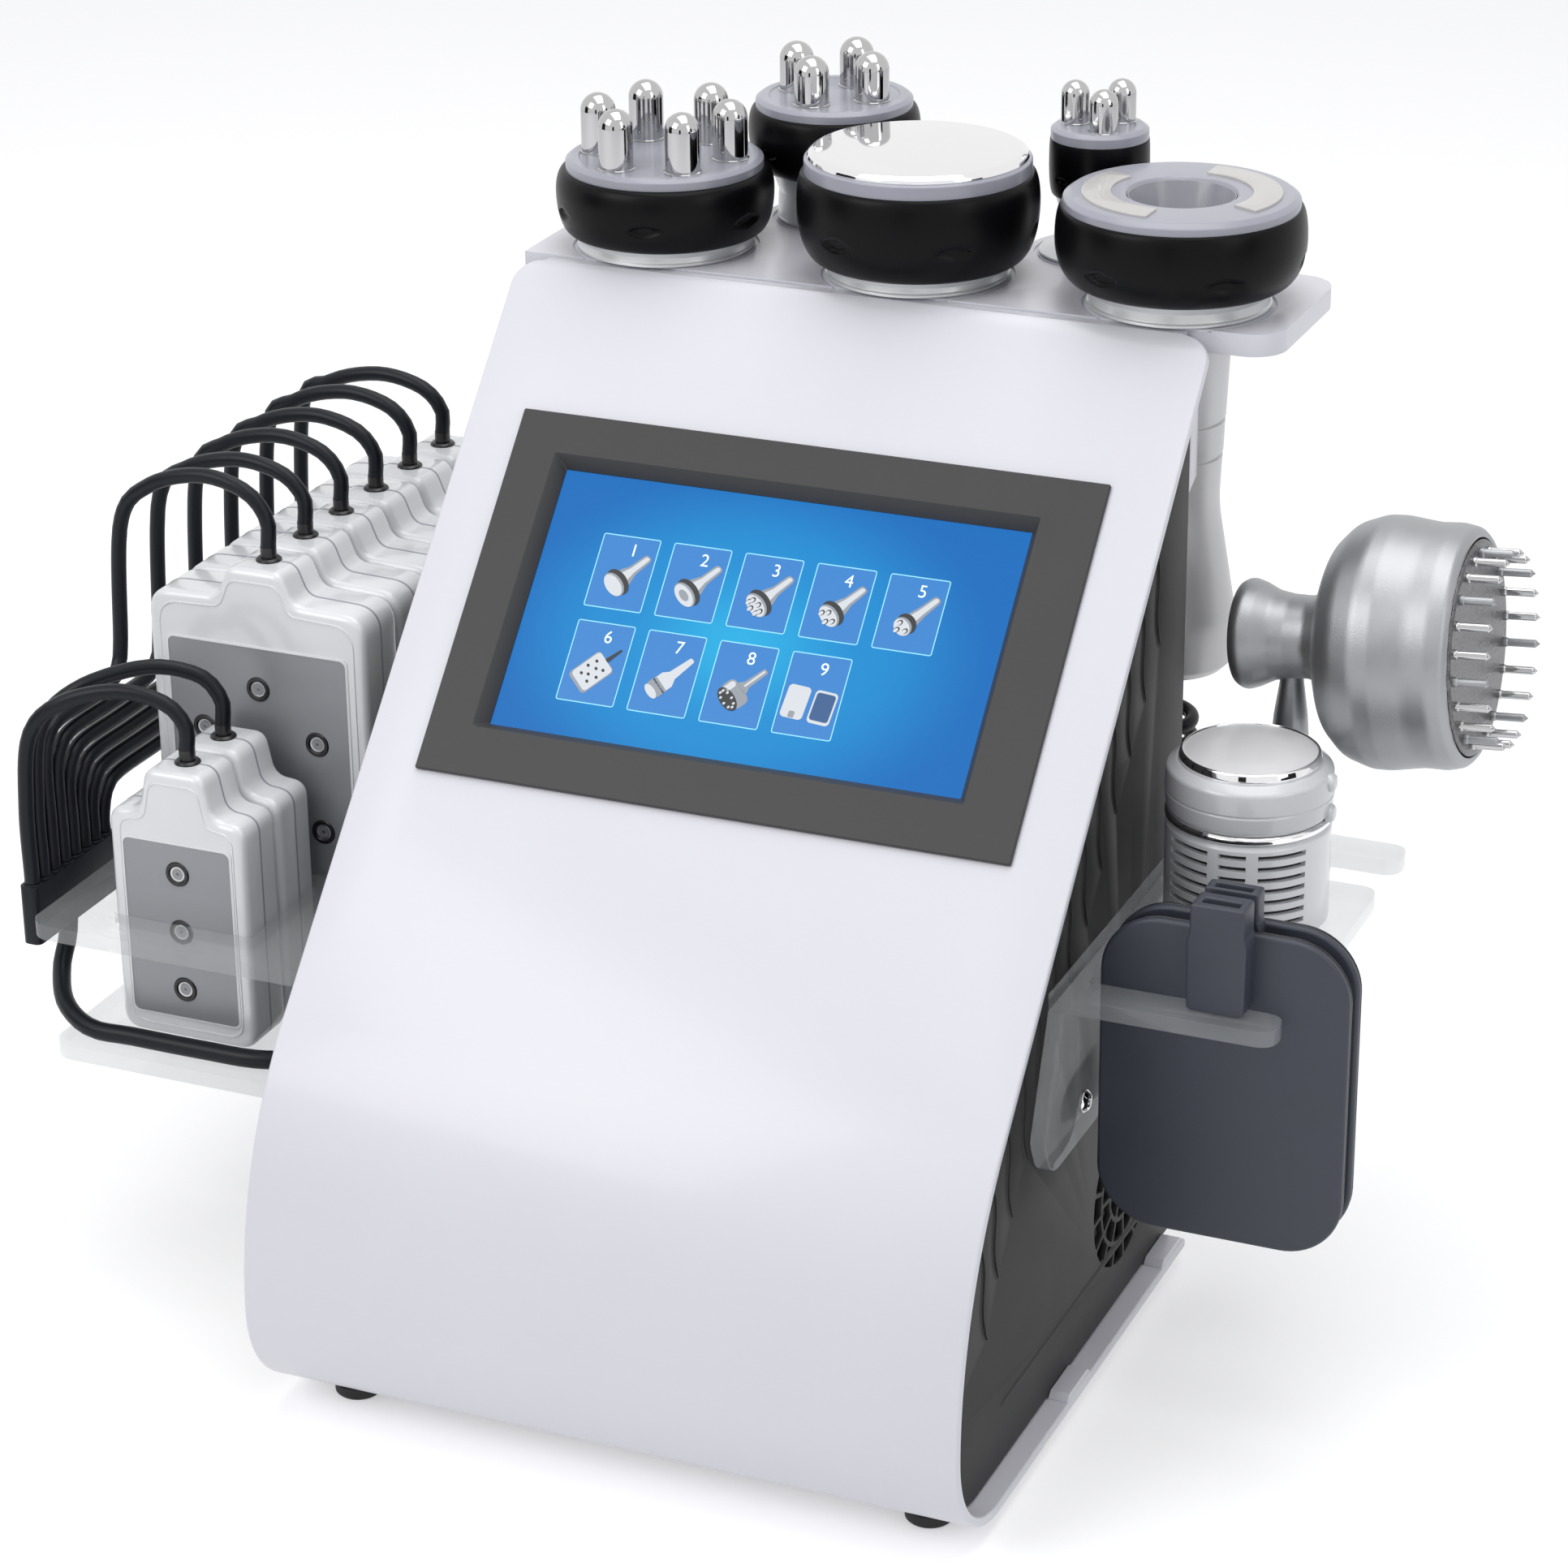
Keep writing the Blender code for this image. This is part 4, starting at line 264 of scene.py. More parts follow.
PALE = surface("pale_plate", (0.36, 0.365, 0.425), 0.3, tint=0.025, grain=2200, relief=0.00001,
               Coat_Weight=0.2)
KIDNEY = surface("kidney_electrode", (0.56, 0.545, 0.525), 0.3, tint=0.02, relief=0.00001, Coat_Weight=0.3)
CUP = surface("cup_inside", (0.33, 0.335, 0.37), 0.3, tint=0.03, relief=0.00001, Coat_Weight=0.3)
CHROME = surface("mirror_chrome", (0.83, 0.83, 0.84), 0.045, metallic=1.0, tint=0.01, relief=0)
SATIN = surface("satin_silver", (0.365, 0.37, 0.385), 0.4, metallic=0.85, tint=0.05, mottle=70, grain=2600,
                relief=0.00005, wear=0.2)
PIN = surface("dark_chrome", (0.50, 0.50, 0.505), 0.06, metallic=1.0, tint=0.01, relief=0)
GRAIN = surface("needle_bed", (0.15, 0.15, 0.155), 0.34, metallic=0.9, tint=0.25, mottle=420, grain=900,
                relief=0.0004, wear=0.3)
WHITE = surface("gloss_white", (0.83, 0.84, 0.865), 0.2, tint=0.01, grain=2400, relief=0.000008,
                Coat_Weight=0.5, Coat_Roughness=0.06)
LABEL = surface("brushed_field", (0.31, 0.315, 0.335), 0.4, metallic=0.3, tint=0.05, mottle=30,
                grain=900, relief=0.00002, stretch=(0.05, 1, 1.6))
FROST = surface("frosted_ring", (0.70, 0.705, 0.73), 0.22, tint=0.02, mottle=60, relief=0.00001,
                Coat_Weight=0.4)
DISC = surface("satin_disc", (0.82, 0.82, 0.825), 0.3, metallic=0.05, tint=0.02, grain=1800, relief=0.00001)
SLATE = surface("slate_rubber", (0.043, 0.049, 0.068), 0.48, tint=0.05, grain=1800, relief=0.00003)
LENS = surface("lens_glass", (0.07, 0.075, 0.085), 0.12, tint=0.05, relief=0, Coat_Weight=1.0)
BLACK = surface("black_plastic", (0.008, 0.008, 0.009), 0.3, tint=0.2, grain=2000)
STEEL = surface("plated_steel", (0.55, 0.55, 0.56), 0.3, metallic=1.0, tint=0.05, grain=900,
                relief=0.00002, stretch=(1, 1, 0.1))
BOARD = surface("painted_block", (0.10, 0.11, 0.12), 0.5, tint=0.1)
ACRYL = surface("clear_acrylic", (0.50, 0.52, 0.53), 0.06, tint=0.01, relief=0, Alpha=0.24, Coat_Weight=1.0,
                Coat_Roughness=0.03)
LINE = glow("display_line", (0.3, 0.78, 0.95))
INK = glow("display_digit", (0.85, 0.97, 1.0))
TILE = glow("display_tile", (0.008, 0.19, 0.56))
ICON_LIGHT = glow("display_light", (0.62, 0.66, 0.7))
ICON_MID = glow("display_mid", (0.27, 0.3, 0.34))
ICON_DARK = glow("display_dark", (0.006, 0.008, 0.012))
ICON_BLUE = glow("display_blue", (0.01, 0.08, 0.24))


# Shapes

def fillet(points, radius, steps=3, closed=False):
    """Rounds the corners of a flat outline. A third value on a point is its own radius."""
    out = []
    count = len(points)
    for k, point in enumerate(points):
        here = Vector(point[:2])
        own = point[2] if len(point) > 2 else radius
        if own == 0 or (not closed and k in (0, count - 1)):
            out.append(tuple(here))
            continue
        before, after = Vector(points[k - 1][:2]) - here, Vector(points[(k + 1) % count][:2]) - here
        angle = before.angle(after)
        if angle > math.pi - 0.03:
            out.append(tuple(here))
            continue
        reach = min(own / math.tan(angle / 2), 0.48 * before.length, 0.48 * after.length)
        start, end = here + before.normalized() * reach, here + after.normalized() * reach
        for step in range(steps + 1):
            t = step / steps
            out.append(tuple(start * (1 - t) ** 2 + here * 2 * t * (1 - t) + end * t * t))
    return out


def arc(x, y, radius, start, end, steps):
    angles = (math.radians(start + (end - start) * k / steps) for k in range(steps + 1))
    return [(x + radius * math.cos(a), y + radius * math.sin(a)) for a in angles]


def rounded(left, right, low, high, radius, steps=8):
    return (arc(right - radius, low + radius, radius, -90, 0, steps)
            + arc(right - radius, high - radius, radius, 0, 90, steps)
            + arc(left + radius, high - radius, radius, 90, 180, steps)
            + arc(left + radius, low + radius, radius, 180, 270, steps))


def turned(shape, profile, sides=FINE, ring=False, matrix=Matrix()):
    """Adds a turned solid of (radius, height) points."""
    rows = []
    for radius, height in profile:
        if radius < 0.000001:
            rows.append([shape.verts.new(matrix @ Vector((0, 0, height)))])
            continue
        angles = (2 * math.pi * k / sides for k in range(sides))
        rows.append([shape.verts.new(matrix @ Vector((radius * math.cos(a), radius * math.sin(a), height)))
                     for a in angles])
    for low, high in list(zip(rows, rows[1:])) + ([(rows[-1], rows[0])] if ring else []):
        for k in range(sides):
            n = (k + 1) % sides
            corners = [low[k % len(low)], low[n % len(low)], high[n % len(high)], high[k % len(high)]]
            corners = list(dict.fromkeys(corners))
            if len(corners) > 2:
                shape.faces.new(corners)


def prism(shape, outline, low, high, matrix=Matrix()):
    floor = [shape.verts.new(matrix @ Vector((x, y, low))) for x, y in outline]
    roof = [shape.verts.new(matrix @ Vector((x, y, high))) for x, y in outline]
    shape.faces.new(floor[::-1])
    shape.faces.new(roof)
    for k in range(len(outline)):
        n = (k + 1) % len(outline)
        shape.faces.new([floor[k], floor[n], roof[n], roof[k]])


def block(shape, centre, size, matrix=Matrix()):
    x, y, z = (side / 2 for side in size)
    prism(shape, [(centre[0] - x, centre[1] - y), (centre[0] + x, centre[1] - y),
                  (centre[0] + x, centre[1] + y), (centre[0] - x, centre[1] + y)],
          centre[2] - z, centre[2] + z, matrix)


def loops(shape, rows, closed=False, matrix=Matrix()):
    made = [[shape.verts.new(matrix @ Vector(point)) for point in row] for row in rows]
    count = len(made[0])
    for low, high in list(zip(made, made[1:])) + ([(made[-1], made[0])] if closed else []):
        for k in range(count):
            n = (k + 1) % count
            shape.faces.new([low[k], low[n], high[n], high[k]])
    if not closed:
        shape.faces.new(made[0][::-1])
        shape.faces.new(made[-1])


def raw(name, shape):
    bmesh.ops.recalc_face_normals(shape, faces=shape.faces)
    mesh = bpy.data.meshes.new(name)
    shape.to_mesh(mesh)
    shape.free()
    thing = bpy.data.objects.new(name, mesh)
    scene.collection.objects.link(thing)
    return thing


def add(name, shape, finish, body="machine", at=(0, 0, 0), turn=(0, 0, 0), soft=0.0, steps=3, limit=35,
        holes=None, stands_for=(), slot=None, sharp=38):
    """Makes one piece: cuts its holes, rounds its edges, and puts it on its body."""
    thing = raw(name, shape)
    tool = raw(name + "_tool", holes) if holes else None
    if tool:
        change = thing.modifiers.new("holes", "BOOLEAN")
        change.operation, change.solver, change.object = "DIFFERENCE", "EXACT", tool
    if soft:
        change = thing.modifiers.new("edges", "BEVEL")
        change.width, change.segments = soft, steps
        change.limit_method, change.angle_limit = "ANGLE", math.radians(limit)
    if tool or soft:
        bpy.context.view_layer.update()
        graph = bpy.context.evaluated_depsgraph_get()
        mesh = bpy.data.meshes.new_from_object(thing.evaluated_get(graph))
        thing.modifiers.clear()
        thing.data = mesh
        mesh.name = name
    if tool:
        bpy.data.objects.remove(tool)
    thing.data.materials.clear()
    thing.data.materials.append(finish)
    thing.data.shade_smooth()
    thing.data.set_sharp_from_angle(angle=math.radians(sharp))
    settle(thing, body, at, turn, stands_for, slot)
    return thing


def settle(thing, body, at=(0, 0, 0), turn=(0, 0, 0), stands_for=(), slot=None):
    thing.location = PLACE + Vector(at)
    thing.rotation_euler = turn
    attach(thing, body)
    if stands_for:
        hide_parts(*stands_for)
    if slot:
        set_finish(thing, slot)


def copy_of(thing, name, body, at, stands_for=()):
    """Another piece with the same mesh."""
    twin = bpy.data.objects.new(name, thing.data)
    scene.collection.objects.link(twin)
    settle(twin, body, at, (0, 0, 0), stands_for, thing.get("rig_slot"))
    return twin


def skin(offset, top, arc_steps=48, toe_steps=20):
    lean, slope = math.sin(TILT), math.cos(TILT)
    points = [(-(BODY_HEIGHT - top) * lean / slope + offset / slope, top)]
    end_y, end_z = -PANEL_LENGTH * lean, BODY_HEIGHT - PANEL_LENGTH * slope
    centre_y, centre_z = end_y + FRONT_RADIUS * slope, end_z - FRONT_RADIUS * lean
    points += arc(centre_y, centre_z, FRONT_RADIUS - offset, 180 - math.degrees(TILT), 180, arc_steps)
    toe_y = centre_y - FRONT_RADIUS + TOE_RADIUS
    points += arc(toe_y, centre_z, TOE_RADIUS - offset, 180, 270, toe_steps)[1:]
    return points


def along_skin(offset, distance):
    points = skin(offset, BODY_HEIGHT)
    for (y0, z0), (y1, z1) in zip(points, points[1:]):
        step = math.hypot(y1 - y0, z1 - z0)
        if distance <= step:
            return y0 + (y1 - y0) * distance / step, z0 + (z1 - z0) * distance / step
        distance -= step
    return points[-1]


def tube(name, path, radius, finish, body, stands_for=(), span=None, sides=20, **told):
    """A cord along close points. With a span its mesh is baked in place and left off its body; without one it is put on
    its body.
    """
    close, path = path, path[:1]
    for point in close[1:]:
        if (point - path[-1]).length > 0.0006:
            path.append(point)
    shape = bmesh.new()
    rows, across = [], None
    for k, point in enumerate(path):
        ahead = (path[min(k + 1, len(path) - 1)] - path[max(k - 1, 0)]).normalized()
        across = ahead.orthogonal() if across is None else across - ahead * across.dot(ahead)
        across.normalize()
        over = ahead.cross(across)
        angles = (2 * math.pi * n / sides for n in range(sides))
        rows.append([shape.verts.new(point + (across * math.cos(a) + over * math.sin(a)) * radius) for a in angles])
    for low, high in zip(rows, rows[1:]):
        for k in range(sides):
            n = (k + 1) % sides
            shape.faces.new([low[k], low[n], high[n], high[k]])
    shape.faces.new(rows[0][::-1])
    shape.faces.new(rows[-1])
    thing = raw(name, shape)
    thing.data.materials.append(finish)
    thing.data.shade_smooth()
    thing.data.set_sharp_from_angle(angle=math.radians(60))
    thing.location = PLACE
    if span:
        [tuple(PLACE + Vector(point)) for point in span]
        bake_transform(thing)
    else:
        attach(thing, body)
    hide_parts(*stands_for)
    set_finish(thing, "cord_black")
    length_of(path)
    [tuple(PLACE + point) for point in path]
    return thing


def length_of(path):
    return sum((q - p).length for p, q in zip(path, path[1:]))


def smooth_path(points, step):
    """Points about a step apart on a smooth curve through the given ones."""
    ends = [2 * points[0] - points[1]] + points + [2 * points[-1] - points[-2]]
    fine = []
    for a, b, c, d in zip(ends, ends[1:], ends[2:], ends[3:]):
        for k in range(16):
            t = k / 16
            fine.append(0.5 * (2 * b + (c - a) * t + (2 * a - 5 * b + 4 * c - d) * t * t
                               + (3 * b - a - 3 * c + d) * t ** 3))
    fine.append(points[-1])
    length = length_of(fine)
    count = max(4, round(length / step))
    path, walked = [fine[0]], 0
    for p, q in zip(fine, fine[1:]):
        walked += (q - p).length
        if walked >= length * len(path) / count and len(path) < count:
            path.append(q)
    return path + [fine[-1]]


# Camera, light and cords come first

def aim_camera():
    turn, lift, roll = (math.radians(value) for value in CAMERA_TURN)
    back = Vector((math.sin(turn) * math.cos(lift), -math.cos(turn) * math.cos(lift), math.sin(lift)))
    right = Vector((math.cos(turn), math.sin(turn), 0))
    up = back.cross(right)
    across = right * math.cos(roll) + up * math.sin(roll)
    over = -right * math.sin(roll) + up * math.cos(roll)
    data = bpy.data.cameras.new("photo_camera")
    data.sensor_width = 36
    data.lens = CAMERA_LENS
    data.clip_start = 0.05
    camera = bpy.data.objects.new("photo_camera", data)
    scene.collection.objects.link(camera)
    matrix = Matrix((across, over, back)).transposed().to_4x4()
    matrix.translation = PLACE + Vector(CAMERA_PLACE)
    camera.matrix_world = matrix
    scene.camera = camera


def area_light(name, place, aim, size, power, colour=(1, 1, 1)):
    data = bpy.data.lights.new(name, "AREA")
    data.shape = "RECTANGLE"
    data.size, data.size_y = size
    data.energy = power
    data.color = colour
    light = bpy.data.objects.new(name, data)
    scene.collection.objects.link(light)
    light.location = place
    light.rotation_euler = (Vector(aim) - Vector(place)).to_track_quat("-Z", "Y").to_euler()


def light_scene():
    """A pale world that shows white behind the object, soft lamps, a floor and two dark flags."""
    scene.view_settings.view_transform = "Standard"
    world = bpy.data.worlds.new("studio")
    scene.world = world
    world.use_nodes = True
    tree = world.node_tree
    soft = tree.nodes["Background"]
    soft.inputs["Color"].default_value = (0.97, 0.98, 1.0, 1)
    soft.inputs["Strength"].default_value = 0.45
    white = tree.nodes.new("ShaderNodeBackground")
    white.inputs["Color"].default_value = (1, 1, 1, 1)
    white.inputs["Strength"].default_value = 1.0
    path = tree.nodes.new("ShaderNodeLightPath")
    seen = tree.nodes.new("ShaderNodeMath")
    seen.operation = "MAXIMUM"
    seen_too = tree.nodes.new("ShaderNodeMath")
    seen_too.operation = "MAXIMUM"
    mix = tree.nodes.new("ShaderNodeMixShader")
    link = tree.links.new
    link(path.outputs["Is Camera Ray"], seen.inputs[0])
    link(path.outputs["Is Glossy Ray"], seen.inputs[1])
    link(seen.outputs[0], seen_too.inputs[0])
    link(path.outputs["Is Transmission Ray"], seen_too.inputs[1])
    link(seen_too.outputs[0], mix.inputs[0])
    link(soft.outputs[0], mix.inputs[1])
    link(white.outputs[0], mix.inputs[2])
    link(mix.outputs[0], tree.nodes["World Output"].inputs["Surface"])
    area_light("key", (-1.0, -1.5, 1.6), (0, 0, 0.15), (1.2, 1.2), 14.8, (1.0, 0.99, 0.98))
    area_light("top", (0.1, 0.1, 1.7), (0, 0, 0.1), (1.6, 1.0), 11.4)
    area_light("side", (1.5, -0.5, 0.9), (0, 0, 0.15), (0.5, 1.2), 3.1)
    shape = bmesh.new()
    prism(shape, rounded(-3.0, 3.0, -3.0, 3.0, 0.5), -0.02, 0)
    floor = raw("studio_floor", shape)
    material = bpy.data.materials.new("studio_floor")
    material.use_nodes = True
    tree = material.node_tree
    link = tree.links.new
    shader = tree.nodes["Principled BSDF"]
    shader.inputs["Base Color"].default_value = (0.86, 0.86, 0.87, 1)
    shader.inputs["Roughness"].default_value = 0.8
    shader.inputs["Specular IOR Level"].default_value = 0.0
    lift = tree.nodes.new("ShaderNodeEmission")
    lift.inputs["Color"].default_value = (1, 1, 1, 1)
    path = tree.nodes.new("ShaderNodeLightPath")
    seen = tree.nodes.new("ShaderNodeMath")
    seen.operation = "MAXIMUM"
    seen_too = tree.nodes.new("ShaderNodeMath")
    seen_too.operation = "MAXIMUM"
    share = tree.nodes.new("ShaderNodeMath")
    share.operation = "MULTIPLY"
    share.inputs[1].default_value = 0.42
    link(path.outputs["Is Camera Ray"], seen.inputs[0])
    link(path.outputs["Is Glossy Ray"], seen.inputs[1])
    link(seen.outputs[0], seen_too.inputs[0])
    link(path.outputs["Is Transmission Ray"], seen_too.inputs[1])
    link(seen_too.outputs[0], share.inputs[0])
    link(share.outputs[0], lift.inputs["Strength"])
    both = tree.nodes.new("ShaderNodeAddShader")
    link(shader.outputs[0], both.inputs[0])
    link(lift.outputs[0], both.inputs[1])
    link(both.outputs[0], tree.nodes["Material Output"].inputs["Surface"])
    floor.data.materials.append(material)
    dark = bpy.data.materials.new("studio_flag")
    dark.use_nodes = True
    dark.node_tree.nodes["Principled BSDF"].inputs["Base Color"].default_value = (0.012, 0.012, 0.013, 1)
    dark.node_tree.nodes["Principled BSDF"].inputs["Roughness"].default_value = 1.0
    for name, place, size in (("flag_front", (0.35, -2.1, 0.35), (0.45, 1.0)),
                              ("flag_left", (-1.7, -1.0, 0.4), (0.9, 1.1)),
                              ("flag_right", (2.0, -0.35, 0.4), (0.9, 1.0))):
        shape = bmesh.new()
        prism(shape, rounded(-size[0] / 2, size[0] / 2, -size[1] / 2, size[1] / 2, 0.05), -0.01, 0.01)
        flag = raw(name, shape)
        flag.location = place
        flag.rotation_euler = (Vector((0, 0, 0.3)) - Vector(place)).to_track_quat("-Z", "Y").to_euler()
        flag.data.materials.append(dark)
        flag.visible_camera = flag.visible_diffuse = flag.visible_shadow = flag.visible_transmission = False


def lead_route(start, lane_y, run, rise):
    x, y, z = start
    across = LANE_X - x
    ahead = 0 if run else lane_y - y
    points = [Vector((x + across * a, y + ahead * b, z + rise * c)) for a, b, c in ARCH]
    last = LANE_TOP + 2 * CLEAR
    if run:
        turn_in, turn_out = y - LEAD_BEND, lane_y + LEAD_BEND
        drop = LEAD_BEND * 0.29
        points += [Vector((LANE_X, y, run + LEAD_BEND)), Vector((LANE_X, y - drop, run + drop)),
                   Vector((LANE_X, turn_in, run))]
        spans = max(1, round((turn_in - turn_out) / (2 * LEAD_BEND)))
        points += [Vector((LANE_X, turn_in + (turn_out - turn_in) * k / spans, run))
                   for k in range(1, spans + 1)]
        points += [Vector((LANE_X, lane_y + drop, run - drop)), Vector((LANE_X, lane_y, run - LEAD_BEND))]
    if points[-1].z > last + LEAD_BEND:
        points.append(Vector((LANE_X, lane_y, (points[-1].z + last) / 2)))
    return points + [Vector((LANE_X, lane_y, last))]


def pad_places():
    """Every light pad: its name, body, lead, sizes and place."""
    for size, pad, row, count in (("small", PAD_SMALL, SMALL_ROW, 2), ("large", PAD_LARGE, LARGE_ROW, 6)):
        for k in range(count):
            yield f"{size}_{k + 1}", pad, (row[0], row[1] + k * row[2], RACK_LOW + CLEAR)


def make_leads():
    for lane, (name, pad, place) in enumerate(pad_places()):
        start = (place[0], place[1] + pad["depth"] / 2, RACK_LOW + pad["height"] + 0.003 + 5 * CLEAR)
        run = None if name.startswith("small") else LANE_TOP + LEAD_BEND + (8 - lane) * LANE_PITCH
        route = lead_route(start, LANE_FIRST + lane * LANE_PITCH, run, RISES[name])
        size, number = name.split("_")
        foot = (run or LANE_TOP) + 0.002
        tube(f"lead_{name}_jacket", smooth_path(route, 0.0035), LEAD_RADIUS, CORD, f"{size}_pad_{number}_body",
             [f"lead_{name}"], span=((LANE_X, 0, foot), (LANE_X, 0, start[2] - 0.004)), lay="hanging")


def make_trunk():
    """The joiner beside the rack's upper floor, and the cord from it to its socket."""
    middle = LANE_FIRST + 3.5 * LANE_PITCH
    width = 7 * LANE_PITCH + 2 * LEAD_RADIUS + 0.002
    shape = bmesh.new()
    prism(shape, rounded(LANE_X - 0.0033, LANE_X + 0.0033, middle - width / 2, middle + width / 2, 0.0022),
          0.106, LANE_TOP)
    for k in range(8):
        turned(shape, fillet([(0, LANE_TOP - 0.002), (0.0031, LANE_TOP - 0.002), (0.0031, LANE_TOP + 0.0004),
                              (0, LANE_TOP + 0.0004)], 0.0003, 2), 24,
               matrix=Matrix.Translation((LANE_X, LANE_FIRST + k * LANE_PITCH, 0)))
    add("harness_joiner", shape, CORD, soft=0.0007, limit=50, stands_for=["laser_harness"], slot="cord_black")
    route = [(LANE_X, middle - 0.002, 0.110), (LANE_X, middle - 0.004, 0.1), (-0.2275, middle - 0.012, 0.0925),
             (-0.219, -0.132, 0.087), (-0.206, -0.1388, TRUNK_FLOOR), (-0.19, -0.1392, TRUNK_FLOOR),
             (-0.165, -0.1392, TRUNK_FLOOR), (-0.144, -0.138, TRUNK_FLOOR), (-0.1285, -0.129, TRUNK_FLOOR),
             (-0.1225, -0.112, TRUNK_FLOOR), (-0.122, -0.08, TRUNK_FLOOR), (-0.122, -0.04, TRUNK_FLOOR),
             (-0.1225, 0, TRUNK_FLOOR), (-0.1228, 0.02, TRUNK_FLOOR), (-0.1195, 0.0345, TRUNK_FLOOR),
             (-0.1096, 0.0405, TRUNK_FLOOR), (-0.1, 0.0345, TRUNK_FLOOR), (SOCKET_FIRST, 0.022, STRIP_Z),
             (SOCKET_FIRST, BODY_REAR + 0.0029, STRIP_Z)]
    tube("harness_trunk", smooth_path([Vector(point) for point in route], 0.004), TRUNK_RADIUS, CORD, "machine",
         ["laser_harness"], lay="loose")


def make_curly_cord():
    piece = PIECES["vacuum"]
    x, y = piece["x"], piece["y"]
    top = TRAY_TOP - SHAFT_END - 0.006 - CLEAR
    curls, per_turn, pitch, wide = 11, 36, 0.0065, 0.0075
    start = top - 0.005
    path = [Vector((x, y, top)), Vector((x, y, start))]
    steps = curls * per_turn
    for k in range(1, steps):
        angle = 2 * math.pi * k / per_turn
        ease = min(1, k / per_turn, (steps - k) / per_turn)
        radius = wide * (1 - math.cos(math.pi * ease)) / 2
        path.append(Vector((x + radius * math.sin(angle), y + radius * math.cos(angle),
                            start - pitch * k / per_turn)))
    path.append(Vector((x, y, start - pitch * curls)))
    for k in range(1, 11):
        angle = math.pi / 2 * k / 10
        path.append(Vector((x, y - 0.018 * (1 - math.cos(angle)), STRIP_Z + 0.018 * (1 - math.sin(angle)))))
    path.append(Vector((x, BODY_REAR + 0.0029, STRIP_Z)))
    tube("vacuum_curly_cord", path, 0.00225, CORD, "vacuum_piece", ["vacuum_cord"],
         span=((x, y, STRIP_Z + 0.02), (x, y, top)), sides=14, lay="hanging")


# Body

def make_body():
    outer = skin(0, WRAP_TOP) + [(BASE_REAR, 0)]
    inner = skin(SHEET, WRAP_TOP) + [(BASE_REAR, SHEET)]
    shape = bmesh.new()
    prism(shape, outer + inner[::-1], -BODY_WIDTH / 2, BODY_WIDTH / 2, SIDEWAYS)
    holes = bmesh.new()
    room = 0.0028 + 0.0022 + CLEAR
    block(holes, (SCREEN_X, SCREEN_MIDDLE, -SHEET / 2),
          (SCREEN_WIDTH + 2 * room, SCREEN_HEIGHT + 2 * room, SHEET + 0.004), FRONT)
    edge = -(BODY_HEIGHT - WRAP_TOP) / math.cos(TILT)
    half, out = BODY_WIDTH / 2, 0.004
    for side in (-1, 1):
        outline = arc(half - SHEET_CORNER, edge - SHEET_CORNER, SHEET_CORNER, 0, 90, 12)
        outline = [(half + out, edge - SHEET_CORNER)] + outline + [(half - SHEET_CORNER, edge + out),
                                                                   (half + out, edge + out)]
        outline = [(side * x, y) for x, y in outline]
        prism(holes, outline, -0.008, 0.004, FRONT)
    add("body_wrap", shape, ENAMEL, soft=0.0009, steps=3, limit=50, holes=holes, stands_for=["wrap_shell"],
        slot="enamel")
    for side, name in ((-1, "left"), (1, "right")):
        make_side(side, name)
    for name, finish in (("rear_panel", COAT), ("power_supply", STEEL), ("vacuum_pump", BOARD),
                         ("fan_frame", BLACK), ("fan_rotor", BLACK), ("display_module", BLACK),
                         ("connector_plate", STEEL), ("power_rocker", BLACK)):
        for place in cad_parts[name].material_slots:
            place.material = finish
    foot = None
    for name, x, y in (("front_left", -0.095, -0.174), ("front_right", 0.095, -0.174),
                       ("rear_left", -0.095, -0.012), ("rear_right", 0.095, -0.012)):
        if foot:
            copy_of(foot, f"foot_{name}_pad", "machine", (x, y, 0), [f"foot_{name}"])
            continue
        shape = bmesh.new()
        turned(shape, fillet([(0, -0.0045), (0.0066, -0.0045), (0.0075, -0.0036), (0.0075, -CLEAR), (0, -CLEAR)],
                             0.0007), 48)
        foot = add(f"foot_{name}_pad", shape, FOOT, at=(x, y, 0), stands_for=[f"foot_{name}"],
                   slot="black_rubber")


def slit_outline(top_y, top_z):
    front, back = [], []
    steps = 18
    for k in range(steps + 1):
        share = k / steps
        wave = 0.0016 * math.sin(2 * math.pi * share)
        y = top_y + 0.019 + wave + 0.0058 * share
        z = top_z - 0.034 * share
        half = 0.00065 * min(1, 0.35 + 5 * min(share, 1 - share))
        front.append((y - half, z))
        back.append((y + half, z))
    return front + back[::-1]


